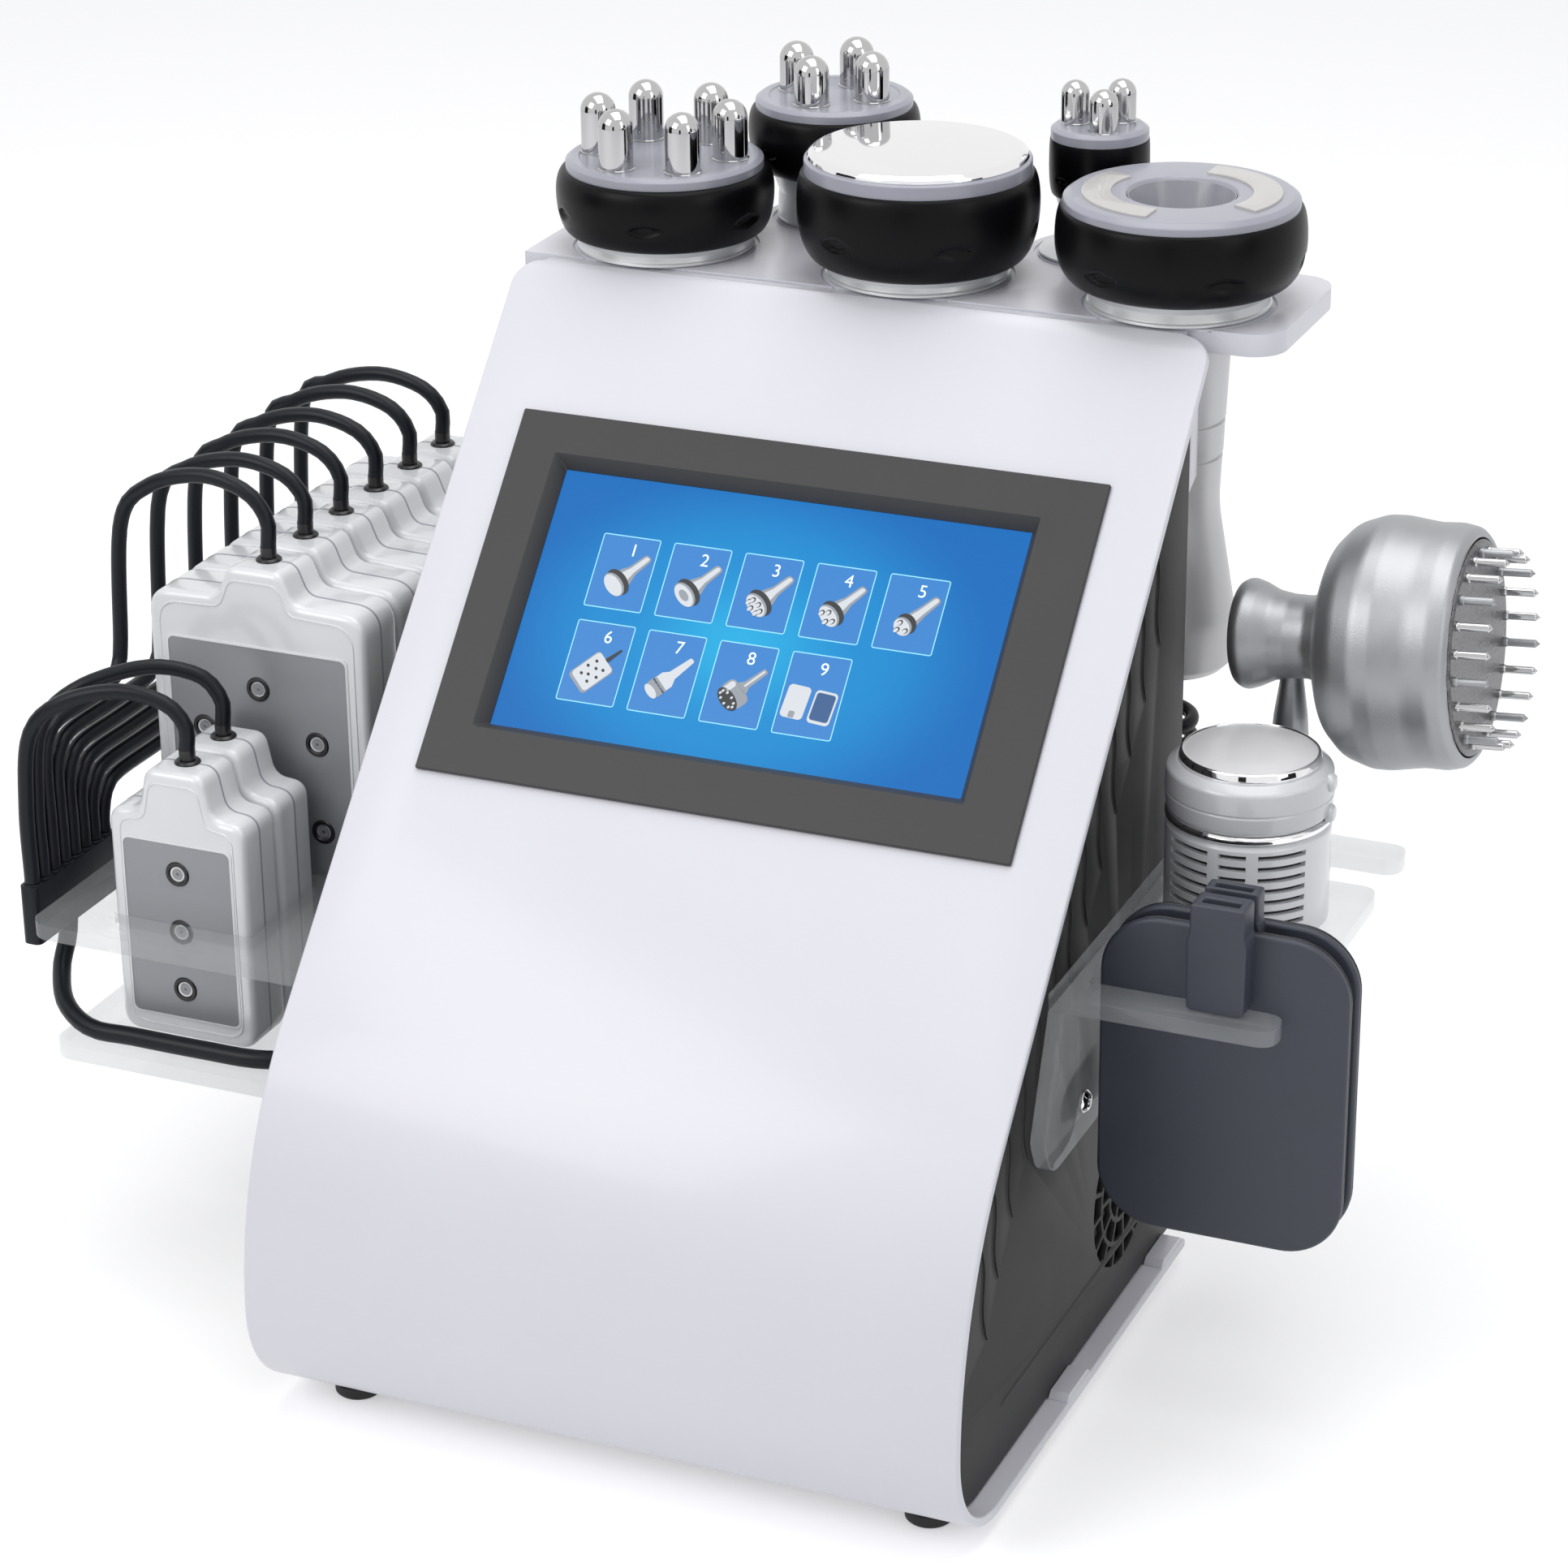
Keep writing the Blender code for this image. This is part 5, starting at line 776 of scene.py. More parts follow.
def make_side(side, name):
    offset = SHEET + 0.0009
    outline = skin(offset, HEAD_TOP) + [(BODY_REAR, offset), (BODY_REAR, HEAD_TOP)]
    low, high = sorted((side * SIDE_BACK, side * SIDE_FACE))
    shape = bmesh.new()
    prism(shape, outline, low, high, SIDEWAYS)
    holes = bmesh.new()
    for k in range(SLITS):
        prism(holes, slit_outline(*along_skin(offset, SLIT_FIRST + k * SLIT_PITCH)), low - 0.002, high + 0.002,
              SIDEWAYS)
    if side > 0:
        for outline in grille_cells():
            prism(holes, outline, low - 0.002, high + 0.002, SIDEWAYS)
    add(f"side_{name}_skin", shape, COAT, soft=0.00025, steps=2, limit=50, holes=holes,
        stands_for=[f"side_panel_{name}"], slot="side_coat")
    lips = bmesh.new()
    face = side * SIDE_FACE
    for k in range(SLITS):
        path = slit_outline(*along_skin(offset, SLIT_FIRST + k * SLIT_PITCH))
        raise_lip(lips, path, face, side)
    add(f"side_{name}_louvres", lips, COAT, slot="side_coat", sharp=60)
    shape = bmesh.new()
    rows = []
    for y in (-0.152, -0.148, -0.02, 0.0):
        rise = 0.0009 if -0.15 < y else 0.0001
        width = 0.0016 if -0.15 < y else 0.0004
        rows.append([(face - side * 0.0005, y, 0.024 - width), (face + side * rise * 0.3, y, 0.024 - width * 0.5),
                     (face + side * rise * 0.42, y, 0.024), (face + side * rise * 0.3, y, 0.024 + width * 0.5),
                     (face - side * 0.0005, y, 0.024 + width)])
    loops(shape, rows)
    add(f"side_{name}_crease", shape, COAT, slot="side_coat", sharp=80)
    shape = bmesh.new()
    for y in (-0.1005, -0.0115):
        outline = fillet([(y - 0.011, SHEET - 0.0002), (y - 0.008, SHEET + 0.0022), (y + 0.008, SHEET + 0.0022),
                          (y + 0.011, SHEET - 0.0002)], 0.001, 3, closed=True)
        prism(shape, outline, *sorted((face + side * 0.0001, side * BODY_WIDTH / 2 - side * 0.0006)), SIDEWAYS)
    add(f"base_tabs_{name}", shape, ENAMEL, soft=0.0003, limit=50, slot="enamel")


def raise_lip(shape, outline, face, side):
    """A low rolled lip round one louvre."""
    count = len(outline)
    centre = Vector((sum(p[0] for p in outline) / count, sum(p[1] for p in outline) / count))
    rows = [[], [], [], []]
    for k in range(count):
        here = Vector(outline[k])
        before, after = Vector(outline[k - 1]), Vector(outline[(k + 1) % count])
        away = Vector(((after - before).y, -(after - before).x)).normalized()
        if away.dot(here - centre) < 0 and abs(away.y) < 0.6:
            away = Vector((-away.x, away.y)) if (here - centre).x * away.x < 0 else away
        out = 1 if k >= count / 2 else -1
        away = Vector((out * abs(away.x) if abs(away.x) > 0.2 else away.x, away.y))
        for row, (reach, rise) in enumerate(((0.0001, -0.0003), (0.0002, 0.00025), (0.0005, 0.0002),
                                             (0.0009, -0.0003))):
            point = here + away * reach
            rows[row].append((face + side * rise, point.x, point.y))
    loops(shape, rows, closed=True)


def grille_cells():
    """Rounded cells of the round fan grille: rings of them round one in the middle."""
    y0, z0 = GRILLE
    yield arc(y0, z0, 0.0036, 0, 345, 23)
    for inner, outer, count, turn in ((0.0052, 0.0108, 6, 0), (0.0124, 0.0186, 11, 14), (0.0202, 0.0266, 16, 5)):
        span = 360 / count
        gap = math.degrees(0.0015 / inner)
        gap_out = math.degrees(0.0015 / outer)
        for k in range(count):
            start = turn + k * span
            cell = (arc(y0, z0, outer, start + gap_out / 2, start + span - gap_out / 2, 5)
                    + arc(y0, z0, inner, start + span - gap / 2, start + gap / 2, 5))
            yield fillet(cell, 0.0012, 3, closed=True)


def make_tray():
    lobes = [(PIECES[name]["x"], PIECES[name]["y"], 0.023) for name in ("face_rf", "eye_rf")]
    left, right, front, rear, corner = -0.1155, 0.134, 0.0067, 0.0715, 0.011
    points = [(left, front)]
    points += arc(right - corner, front + corner, corner, -90, 0, 12)
    points += arc(right - corner, rear - corner, corner, 0, 90, 12)
    for x, y, radius in sorted(lobes, reverse=True):
        start = math.degrees(math.asin((rear - y) / radius))
        points += arc(x, y, radius, start, 180 - start, 28)
    points += arc(left + corner, rear - corner, corner, 90, 180, 12)
    shape, holes = bmesh.new(), bmesh.new()
    prism(shape, points, TRAY_BOTTOM, TRAY_TOP)
    for name, piece in PIECES.items():
        hole = 0.0175 if name in ("face_rf", "eye_rf") else 0.023
        place = Matrix.Translation((piece["x"], piece["y"], 0))
        turned(holes, [(0, TRAY_BOTTOM - 0.002), (hole, TRAY_BOTTOM - 0.002), (hole, TRAY_TOP + 0.002),
                       (0, TRAY_TOP + 0.002)], matrix=place)
        groove = piece["base"] + 0.0004
        turned(holes, [(groove, TRAY_TOP + 0.001), (groove, TRAY_TOP - 0.0007), (groove + 0.0011, TRAY_TOP - 0.0007),
                       (groove + 0.0011, TRAY_TOP + 0.001)], ring=True, matrix=place)
    add("tray_plate", shape, ENAMEL, soft=0.0013, steps=4, limit=50, holes=holes, stands_for=["handle_tray"],
        slot="enamel")
    shape = bmesh.new()
    near = BODY_REAR + CLEAR
    for side in (-1, 1):
        low, high = sorted((side * 0.1085, side * 0.1055))
        prism(shape, [(near, TRAY_BOTTOM), (near, TRAY_BOTTOM - 0.045), (near + 0.0075, TRAY_BOTTOM - 0.0412),
                      (near + 0.0075, TRAY_BOTTOM)], low, high, SIDEWAYS)
    add("tray_brackets_dressed", shape, ENAMEL, soft=0.0006, limit=40, slot="enamel")


# Display

def make_display():
    half_x, half_y = SCREEN_WIDTH / 2, SCREEN_HEIGHT / 2

    def frame_row(x, y, hx, hy, z, radius=0.0006):
        return [(px, py, z) for px, py in rounded(x - hx, x + hx, y - hy, y + hy, radius, 4)]

    neck = 0.005
    shape = bmesh.new()
    loops(shape, [frame_row(SCREEN_X, SCREEN_MIDDLE, half_x, half_y, -SCREEN_DEPTH + CLEAR),
                  frame_row(SCREEN_X, SCREEN_MIDDLE, half_x + neck, half_y + neck, -SCREEN_DEPTH + CLEAR),
                  frame_row(SCREEN_X, SCREEN_MIDDLE, half_x + neck, half_y + neck, CLEAR),
                  frame_row(BEZEL_X, BEZEL_MIDDLE, BEZEL_WIDTH / 2, BEZEL_HEIGHT / 2, CLEAR),
                  frame_row(BEZEL_X, BEZEL_MIDDLE, BEZEL_WIDTH / 2, BEZEL_HEIGHT / 2, 0.0011),
                  frame_row(BEZEL_X, BEZEL_MIDDLE, BEZEL_WIDTH / 2 - 0.0004, BEZEL_HEIGHT / 2 - 0.0004, 0.0015),
                  frame_row(SCREEN_X, SCREEN_MIDDLE, half_x + 0.0032, half_y + 0.0032, 0.0015),
                  frame_row(SCREEN_X, SCREEN_MIDDLE, half_x + 0.0028, half_y + 0.0028, 0.0012)],
          closed=True, matrix=FRONT)
    add("bezel_frame", shape, DARK, stands_for=["screen_bezel"], slot="dark_plastic", sharp=25)
    screen = {"at": FRONT @ Vector((SCREEN_X, SCREEN_MIDDLE, -SCREEN_DEPTH)), "turn": FRONT.to_euler()}
    shape = bmesh.new()
    prism(shape, rounded(-half_x, half_x, -half_y, half_y, 0.0004, 3), 0.00005, 0.0001)
    add("screen_field", shape, display_glow(), **screen, slot="display_glass")
    parts = {finish: bmesh.new() for finish in (LINE, INK, TILE, ICON_LIGHT, ICON_MID, ICON_DARK, ICON_BLUE)}
    levels = {TILE: 1, LINE: 2, ICON_MID: 3, ICON_BLUE: 3, ICON_LIGHT: 4, ICON_DARK: 5, INK: 6}
    digits = []
    for row, (count, top, bottom) in enumerate(((5, 0.22, 0.505), (4, 0.558, 0.869))):
        for k in range(count):
            x = (0.121 + 0.1545 * k + 0.063 - 0.5) * SCREEN_WIDTH
            y = (0.5 - (top + bottom) / 2) * SCREEN_HEIGHT
            wide, tall = 0.126 * SCREEN_WIDTH, (bottom - top) * SCREEN_HEIGHT
            draw_tile(parts, levels, x, y, wide, tall)
            number = 5 * row + k + 1
            draw_icon(parts, levels, number, x, y - 0.0025, wide)
            digits.append((number, x + 0.0018, y + tall / 2 - 0.0048))
    for finish, shape in parts.items():
        if shape.faces:
            add("screen_" + finish.name.replace("display_", ""), shape, finish, **screen, slot="display_glass")
        else:
            shape.free()
    for number, x, y in digits:
        draw_digit(number, x, y, screen)


def flat(shape, outline, level, matrix=Matrix()):
    low = 0.0001 + level * 0.00004
    prism(shape, outline, low, low + 0.00004, matrix)


def ellipse(x, y, wide, tall, turn=0.0, steps=36):
    out = []
    for k in range(steps):
        a = 2 * math.pi * k / steps
        px, py = wide * math.cos(a), tall * math.sin(a)
        out.append((x + px * math.cos(turn) - py * math.sin(turn), y + px * math.sin(turn) + py * math.cos(turn)))
    return out


def draw_tile(parts, levels, x, y, wide, tall):
    flat(parts[TILE], rounded(x - wide / 2, x + wide / 2, y - tall / 2, y + tall / 2, 0.0006, 3), levels[TILE])
    line = 0.00032
    outer = rounded(x - wide / 2, x + wide / 2, y - tall / 2, y + tall / 2, 0.0008, 4)
    inner = rounded(x - wide / 2 + line, x + wide / 2 - line, y - tall / 2 + line, y + tall / 2 - line, 0.0005, 4)
    low = 0.0001 + levels[LINE] * 0.00004
    loops(parts[LINE], [[(*p, low) for p in inner], [(*p, low) for p in outer],
                        [(*p, low + 0.00005) for p in outer], [(*p, low + 0.00005) for p in inner]], closed=True)


def draw_icon(parts, levels, number, x, y, wide):
    """A small picture of one tool, head down to the right."""
    def shape_at(finish, outline, turn=-0.75, lift=0):
        c, s = math.cos(turn), math.sin(turn)
        points = [(x + px * c - py * s, y + px * s + py * c) for px, py in outline]
        flat(parts[finish], points, levels[finish] + lift)

    u = wide / 2
    if number <= 5:
        head = (0.5, 0.52, 0.5, 0.46, 0.36)[number - 1] * u
        handle = fillet([(-0.19 * u, 1.15 * u), (0.09 * u, 1.2 * u), (0.16 * u, 0.5 * u), (head * 0.72, 0.06 * u),
                         (-head * 0.72, 0.06 * u), (-0.2 * u, 0.5 * u)], 0.12 * u, 4, closed=True)
        shape_at(ICON_MID, handle)
        shape_at(ICON_LIGHT, [(px * 0.55 - 0.02 * u, py * 0.97) for px, py in handle])
        shape_at(ICON_DARK, ellipse(0, -0.1 * u, head * 1.03, 0.3 * u))
        shape_at(ICON_MID, ellipse(0, -0.24 * u, head * 0.95, 0.27 * u), lift=3)
        shape_at(ICON_LIGHT, ellipse(0, -0.28 * u, head * 0.88, 0.23 * u), lift=3)
        if number == 2:
            shape_at(ICON_MID, ellipse(0, -0.28 * u, head * 0.45, 0.12 * u), lift=5)
        for k in range({3: 6, 4: 4, 5: 3}.get(number, 0)):
            a = 2 * math.pi * k / {3: 6, 4: 4, 5: 3}[number] + 0.4
            px, py = head * 0.55 * math.cos(a), -0.3 * u + 0.13 * u * math.sin(a)
            shape_at(ICON_DARK, ellipse(px, py - 0.02 * u, 0.085 * u, 0.11 * u, steps=16), lift=3)
            shape_at(ICON_LIGHT, ellipse(px, py - 0.05 * u, 0.06 * u, 0.09 * u, steps=16), lift=6)
    elif number == 6:
        shape_at(ICON_DARK, fillet([(-0.08 * u, 0.5 * u), (0.08 * u, 0.5 * u), (0.05 * u, 1.1 * u),
                                    (-0.03 * u, 1.1 * u)], 0.03 * u, 2, closed=True))
        shape_at(ICON_MID, rounded(-0.46 * u, 0.46 * u, -0.72 * u, 0.52 * u, 0.14 * u))
        shape_at(ICON_LIGHT, rounded(-0.42 * u, 0.42 * u, -0.62 * u, 0.5 * u, 0.12 * u))
        for px, py in ((-0.2, 0.25), (0.2, 0.25), (-0.26, -0.05), (0.26, -0.05), (0, 0.1), (-0.18, -0.36),
                       (0.18, -0.36), (0, -0.2)):
            shape_at(ICON_DARK, ellipse(px * u, py * u, 0.06 * u, 0.05 * u, steps=14))
    elif number == 7:
        shape_at(ICON_LIGHT, fillet([(-0.12 * u, 1.1 * u), (0.06 * u, 1.12 * u), (0.15 * u, 0.3 * u),
                                     (0.3 * u, 0.1 * u), (0.3 * u, -0.2 * u), (-0.3 * u, -0.2 * u),
                                     (-0.3 * u, 0.1 * u), (-0.17 * u, 0.3 * u)], 0.06 * u, 3, closed=True))
        shape_at(ICON_MID, rounded(-0.32 * u, 0.32 * u, -0.5 * u, -0.12 * u, 0.08 * u), lift=2)
        shape_at(ICON_DARK, rounded(-0.32 * u, 0.32 * u, -0.26 * u, -0.2 * u, 0.02 * u, 3))
        shape_at(ICON_LIGHT, ellipse(0, -0.54 * u, 0.3 * u, 0.13 * u), lift=3)
    elif number == 8:
        shape_at(ICON_MID, fillet([(-0.1 * u, 1.15 * u), (0.1 * u, 1.15 * u), (0.12 * u, 0.4 * u),
                                   (0.28 * u, 0.16 * u), (-0.28 * u, 0.16 * u), (-0.14 * u, 0.4 * u)],
                                  0.06 * u, 3, closed=True))
        shape_at(ICON_LIGHT, rounded(-0.05 * u, 0.02 * u, 0.3 * u, 1.1 * u, 0.03 * u, 3))
        shape_at(ICON_MID, rounded(-0.5 * u, 0.5 * u, -0.36 * u, 0.2 * u, 0.2 * u))
        shape_at(ICON_LIGHT, rounded(-0.42 * u, -0.2 * u, -0.3 * u, 0.14 * u, 0.1 * u), lift=1)
        shape_at(ICON_DARK, ellipse(0, -0.36 * u, 0.47 * u, 0.24 * u))
        for k in range(9):
            a = 2 * math.pi * k / 9
            shape_at(ICON_LIGHT, ellipse(0.34 * u * math.cos(a), -0.37 * u + 0.15 * u * math.sin(a), 0.04 * u,
                                         0.05 * u, steps=12), lift=3)
    else:
        for px, finish in ((-0.46, ICON_LIGHT), (0.46, ICON_LIGHT)):
            shape_at(finish, rounded((px - 0.38) * u, (px + 0.38) * u, -0.6 * u, 0.5 * u, 0.14 * u), turn=-0.08)
        shape_at(ICON_BLUE, rounded(0.14 * u, 0.78 * u, -0.5 * u, 0.42 * u, 0.1 * u), turn=-0.08, lift=3)
        shape_at(ICON_MID, rounded(-0.56 * u, -0.36 * u, -0.58 * u, -0.36 * u, 0.05 * u), turn=-0.08, lift=3)


def draw_digit(number, x, y, screen):
    curve = bpy.data.curves.new(f"digit_{number}", "FONT")
    curve.body = str(number)
    curve.size = 0.0058
    curve.align_x, curve.align_y = "CENTER", "CENTER"
    curve.extrude = 0.00003
    thing = bpy.data.objects.new(f"digit_{number}", curve)
    scene.collection.objects.link(thing)
    bpy.context.view_layer.update()
    mesh = bpy.data.meshes.new_from_object(thing.evaluated_get(bpy.context.evaluated_depsgraph_get()))
    bpy.data.objects.remove(thing)
    mesh.transform(Matrix.Translation((x, y, 0.00042)))
    mesh.materials.clear()
    mesh.materials.append(INK)
    thing = bpy.data.objects.new(f"screen_digit_{number}", mesh)
    scene.collection.objects.link(thing)
    settle(thing, "machine", **screen, slot="display_glass")


# Hand pieces

def make_hand_pieces():
    for name, piece in PIECES.items():
        seat = (piece["x"], piece["y"], TRAY_TOP)
        body = name + "_piece"
        make_shell(name, piece, seat, body)
        make_grip(name, piece, seat, body)
        top, radius, rest = piece["plate_top"], piece["plate"], piece["top"] - 0.002
        if name in PINS:
            make_pin_plate(name, piece, PINS[name], seat, body)
        elif name == "cavitation":
            shape = bmesh.new()
            turned(shape, fillet([(0, rest), (radius, rest), (radius, top - 0.0006), (radius - 0.0012, top),
                                  (0, top)], 0.0006, 4))
            add("cavitation_ring", shape, PALE, body, seat, stands_for=["cavitation_disc"], slot="pale_plastic")
            shape = bmesh.new()
            turned(shape, fillet([(0, top - 0.0005), (0.0343, top - 0.0005), (0.0345, top + 0.0003, 0.0002),
                                  (0.0342, top + 0.0012), (0.0325, top + 0.0023, 0.003), (0, top + 0.0031, 0.1)],
                                 0.0006, 5), 128)
            add("cavitation_mirror", shape, CHROME, body, seat, slot="bright_chrome", sharp=50)
        else:
            make_vacuum_plate(piece, seat, body)


def make_shell(name, piece, seat, body):
    """Collar, shaft with its grooves, and the gland below."""
    low, base, neck = piece["low"], piece["base"], piece["neck"]
    foot = -SHAFT_END
    shape = bmesh.new()
    turned(shape, fillet([(0, CLEAR), (base, CLEAR, 0.0003), (base, 0.0011, 0.0004), (neck + 0.0004, 0.0016, 0.0003),
                          (neck, low * 0.6, 0.0003), (piece["foot"] - 0.0006, low - CLEAR), (0, low - CLEAR)],
                         0.0003, 3))
    add(name + "_collar", shape, COLLAR, body, seat, stands_for=[name + "_shell"], slot="silver_plastic")
    flare, waist, under = piece["flare"], piece["waist"], piece["under"]
    profile = [(0, foot), (flare - 0.003, foot, 0.0005), (flare, foot + 0.003, 0.003),
               (flare, foot + 0.018, 0.03), (waist, -0.064, 0.05)]
    slope = (under - waist) / (0.064 - 0.008)
    for height in (-0.0475, -0.0360):
        radius = waist + slope * (height + 0.064)
        profile += [(radius - 0.0001, height - 0.0009, 0.0001), (radius - 0.0009, height - 0.0005, 0.0002),
                    (radius - 0.0009, height + 0.0003, 0.0002), (radius + 0.0001, height + 0.0007, 0.0001)]
    profile += [(under, -0.0078, 0.001), (under, CLEAR), (0, CLEAR)]
    shape = bmesh.new()
    turned(shape, fillet(profile, 0.001, 8))
    add(name + "_shaft", shape, SHAFT, body, seat, slot="silver_plastic", sharp=30)
    shape = bmesh.new()
    turned(shape, fillet([(0, foot - 0.006), (0.0034, foot - 0.006), (0.0045, foot - 0.003), (0.0045, foot + 0.001),
                          (0, foot + 0.001)], 0.0006, 3), 40)
    add(name + "_gland", shape, BLACK, body, seat, slot="black_rubber")


def make_grip(name, piece, seat, body):
    """A barrel of soft rubber with small lens-shaped finger marks in its lower half."""
    low, mid, top = piece["low"], piece["widest"], piece["top"]
    foot, radius, edge_top = piece["foot"], piece["radius"], min(piece["plate"], piece["radius"])
    shape = bmesh.new()
    sides, rows = 264, []
    steps = 32
    profile = [(foot - 0.004, low)]
    for k in range(-steps, steps + 1):
        angle = math.pi / 2 * k / steps
        edge = foot if k < 0 else edge_top
        reach = (low - mid) if k < 0 else (top - mid)
        bulge = math.cos(angle) ** 0.85 if abs(k) < steps else 0
        profile.append((edge + (radius - edge) * bulge, mid + reach * math.sin(abs(angle))))
    profile.append((edge_top - 0.004, top))
    marks, phase = 6, math.radians(MARK_PHASES.get(name, -60))
    level = low + (mid - low) * 0.62
    tall, wide = 0.0020 * radius / 0.035, 0.0060 * radius / 0.035
    for reach, height in profile:
        row = []
        for k in range(sides):
            a = 2 * math.pi * k / sides
            nearest = ((a - phase) * marks / (2 * math.pi) + 0.5) % 1 - 0.5
            across = nearest * 2 * math.pi / marks * radius / wide
            up = (height - level) / tall
            dent = max(0.0, 1 - across * across - abs(up) ** 1.5 * (1 + across * across))
            r = reach - 0.0012 * min(1, dent * 2.4)
            row.append(shape.verts.new((r * math.cos(a), r * math.sin(a), height)))
        rows.append(row)
    for lower, upper in list(zip(rows, rows[1:])) + [(rows[-1], rows[0])]:
        for k in range(sides):
            n = (k + 1) % sides
            shape.faces.new([lower[k], lower[n], upper[n], upper[k]])
    add(name + "_rubber", shape, RUBBER, body, seat, stands_for=[name + "_grip"], slot="black_rubber", sharp=70)


def make_pin_plate(name, piece, pins, seat, body):
    top, radius, rest = piece["plate_top"], piece["plate"], piece["top"] - 0.002
    shape = bmesh.new()
    turned(shape, fillet([(0, rest), (radius, rest), (radius, top - 0.0012, 0.0004), (radius - 0.0016, top, 0.0012),
                          (radius - 0.0042, top, 0.0002), (radius - 0.0046, top - 0.0004, 0.0002), (0, top - 0.0004)],
                         0.0005, 4))
    add(name + "_plate", shape, PALE, body, seat, stands_for=[name + "_electrodes"], slot="pale_plastic")
    shape = bmesh.new()
    r, tip = pins["radius"], pins["top"]
    for k in range(pins["count"]):
        angle = pins["turn"] + 2 * math.pi * k / pins["count"]
        place = Matrix.Translation((pins["circle"] * math.cos(angle), pins["circle"] * math.sin(angle), 0))
        dome = [(r * math.cos(math.radians(a)), tip - r + r * math.sin(math.radians(a))) for a in range(0, 90, 9)]
        turned(shape, [(0, top - 0.001), (r + 0.0004, top - 0.001), (r + 0.0004, top), (r, top + 0.0002)] + dome
               + [(0, tip)], 48, matrix=place)
    add(name + "_pins", shape, PIN, body, seat, slot="bright_chrome", sharp=50)


def make_vacuum_plate(piece, seat, body):
    top, radius, rest = piece["plate_top"], piece["plate"], piece["top"] - 0.002
    cup, floor = 0.0162, top - 0.013
    shape = bmesh.new()
    turned(shape, fillet([(0, floor - 0.003), (0.02, floor - 0.003), (0.024, rest), (radius, rest),
                          (radius, top - 0.0014), (radius - 0.002, top, 0.0014), (cup + 0.0012, top, 0.001),
                          (cup + 0.0004, top - 0.001, 0.0006), (cup + 0.0004, floor - 0.001), (0, floor - 0.001)],
                         0.0008, 6))
    add("vacuum_plate", shape, PALE, body, seat, stands_for=["vacuum_cup"], slot="pale_plastic", sharp=50)
    shape = bmesh.new()
    turned(shape, fillet([(cup + 0.0003, top - 0.0008), (cup, top - 0.0008, 0.0002), (cup * 0.84, floor + 0.004, 0.005),
                          (cup * 0.7, floor, 0.003), (0.0062, floor, 0.0004), (0.0058, floor + 0.001, 0.0003),
                          (0, floor + 0.001), (0, floor - 0.0008), (cup + 0.0003, floor - 0.0008)],
                         0.0004, 6))
    add("vacuum_cup_liner", shape, CUP, body, seat, slot="pale_plastic", sharp=50)
    shape = bmesh.new()
    ball = 0.005
    turned(shape, [(0, floor)] + [(ball * math.cos(math.radians(a)), floor + ball * 0.5 + ball * 0.9
                                   * math.sin(math.radians(a))) for a in range(-20, 90, 8)]
           + [(0, floor + ball * 1.4)], 48)
    add("vacuum_ball", shape, CHROME, body, seat, slot="bright_chrome", sharp=60)
    shape = bmesh.new()
    for middle in (31, 211):
        outline = (arc(0, 0, 0.0305, middle - 57, middle + 57, 40) + arc(0, 0, 0.0215, middle + 57, middle - 57, 40))
        prism(shape, fillet(outline, 0.0038, 6, closed=True), top - 0.001, top + 0.0007)
    add("vacuum_electrodes", shape, KIDNEY, body, seat, soft=0.0003, steps=3, limit=50, slot="silver_plastic")


# Light pads

def pad_outline(pad):
    """The front view of a pad: level shoulders that sweep up in an S to a short flat top."""
    half, shoulder, top = pad["width"] / 2, pad["shoulder"], pad["height"]
    foot, flat_half = (0.0138, 0.0096) if pad is PAD_LARGE else (0.0132, 0.0102)
    right = [(half, 0, 0.007), (half, shoulder, 0.0085), (foot, shoulder + 0.0008, 0.0055),
             (flat_half, top, 0.005)]
    return fillet(right + [(-x, z, r) for x, z, r in right[::-1]], 0.004, 9, closed=True)


def make_pads():
    made = {}
    for name, pad, place in pad_places():
        size, number = name.split("_")
        body, node_name = f"{size}_pad_{number}_body", f"{size}_pad_{number}"
        if size in made:
            for part in made[size]:
                label = part.name.replace(f"{size}_1", name)
                copy_of(part, label, body, place, [node_name] if "case" in part.name else ())
            continue
        made[size] = [*dress_pad(name, pad, place, body, node_name)]


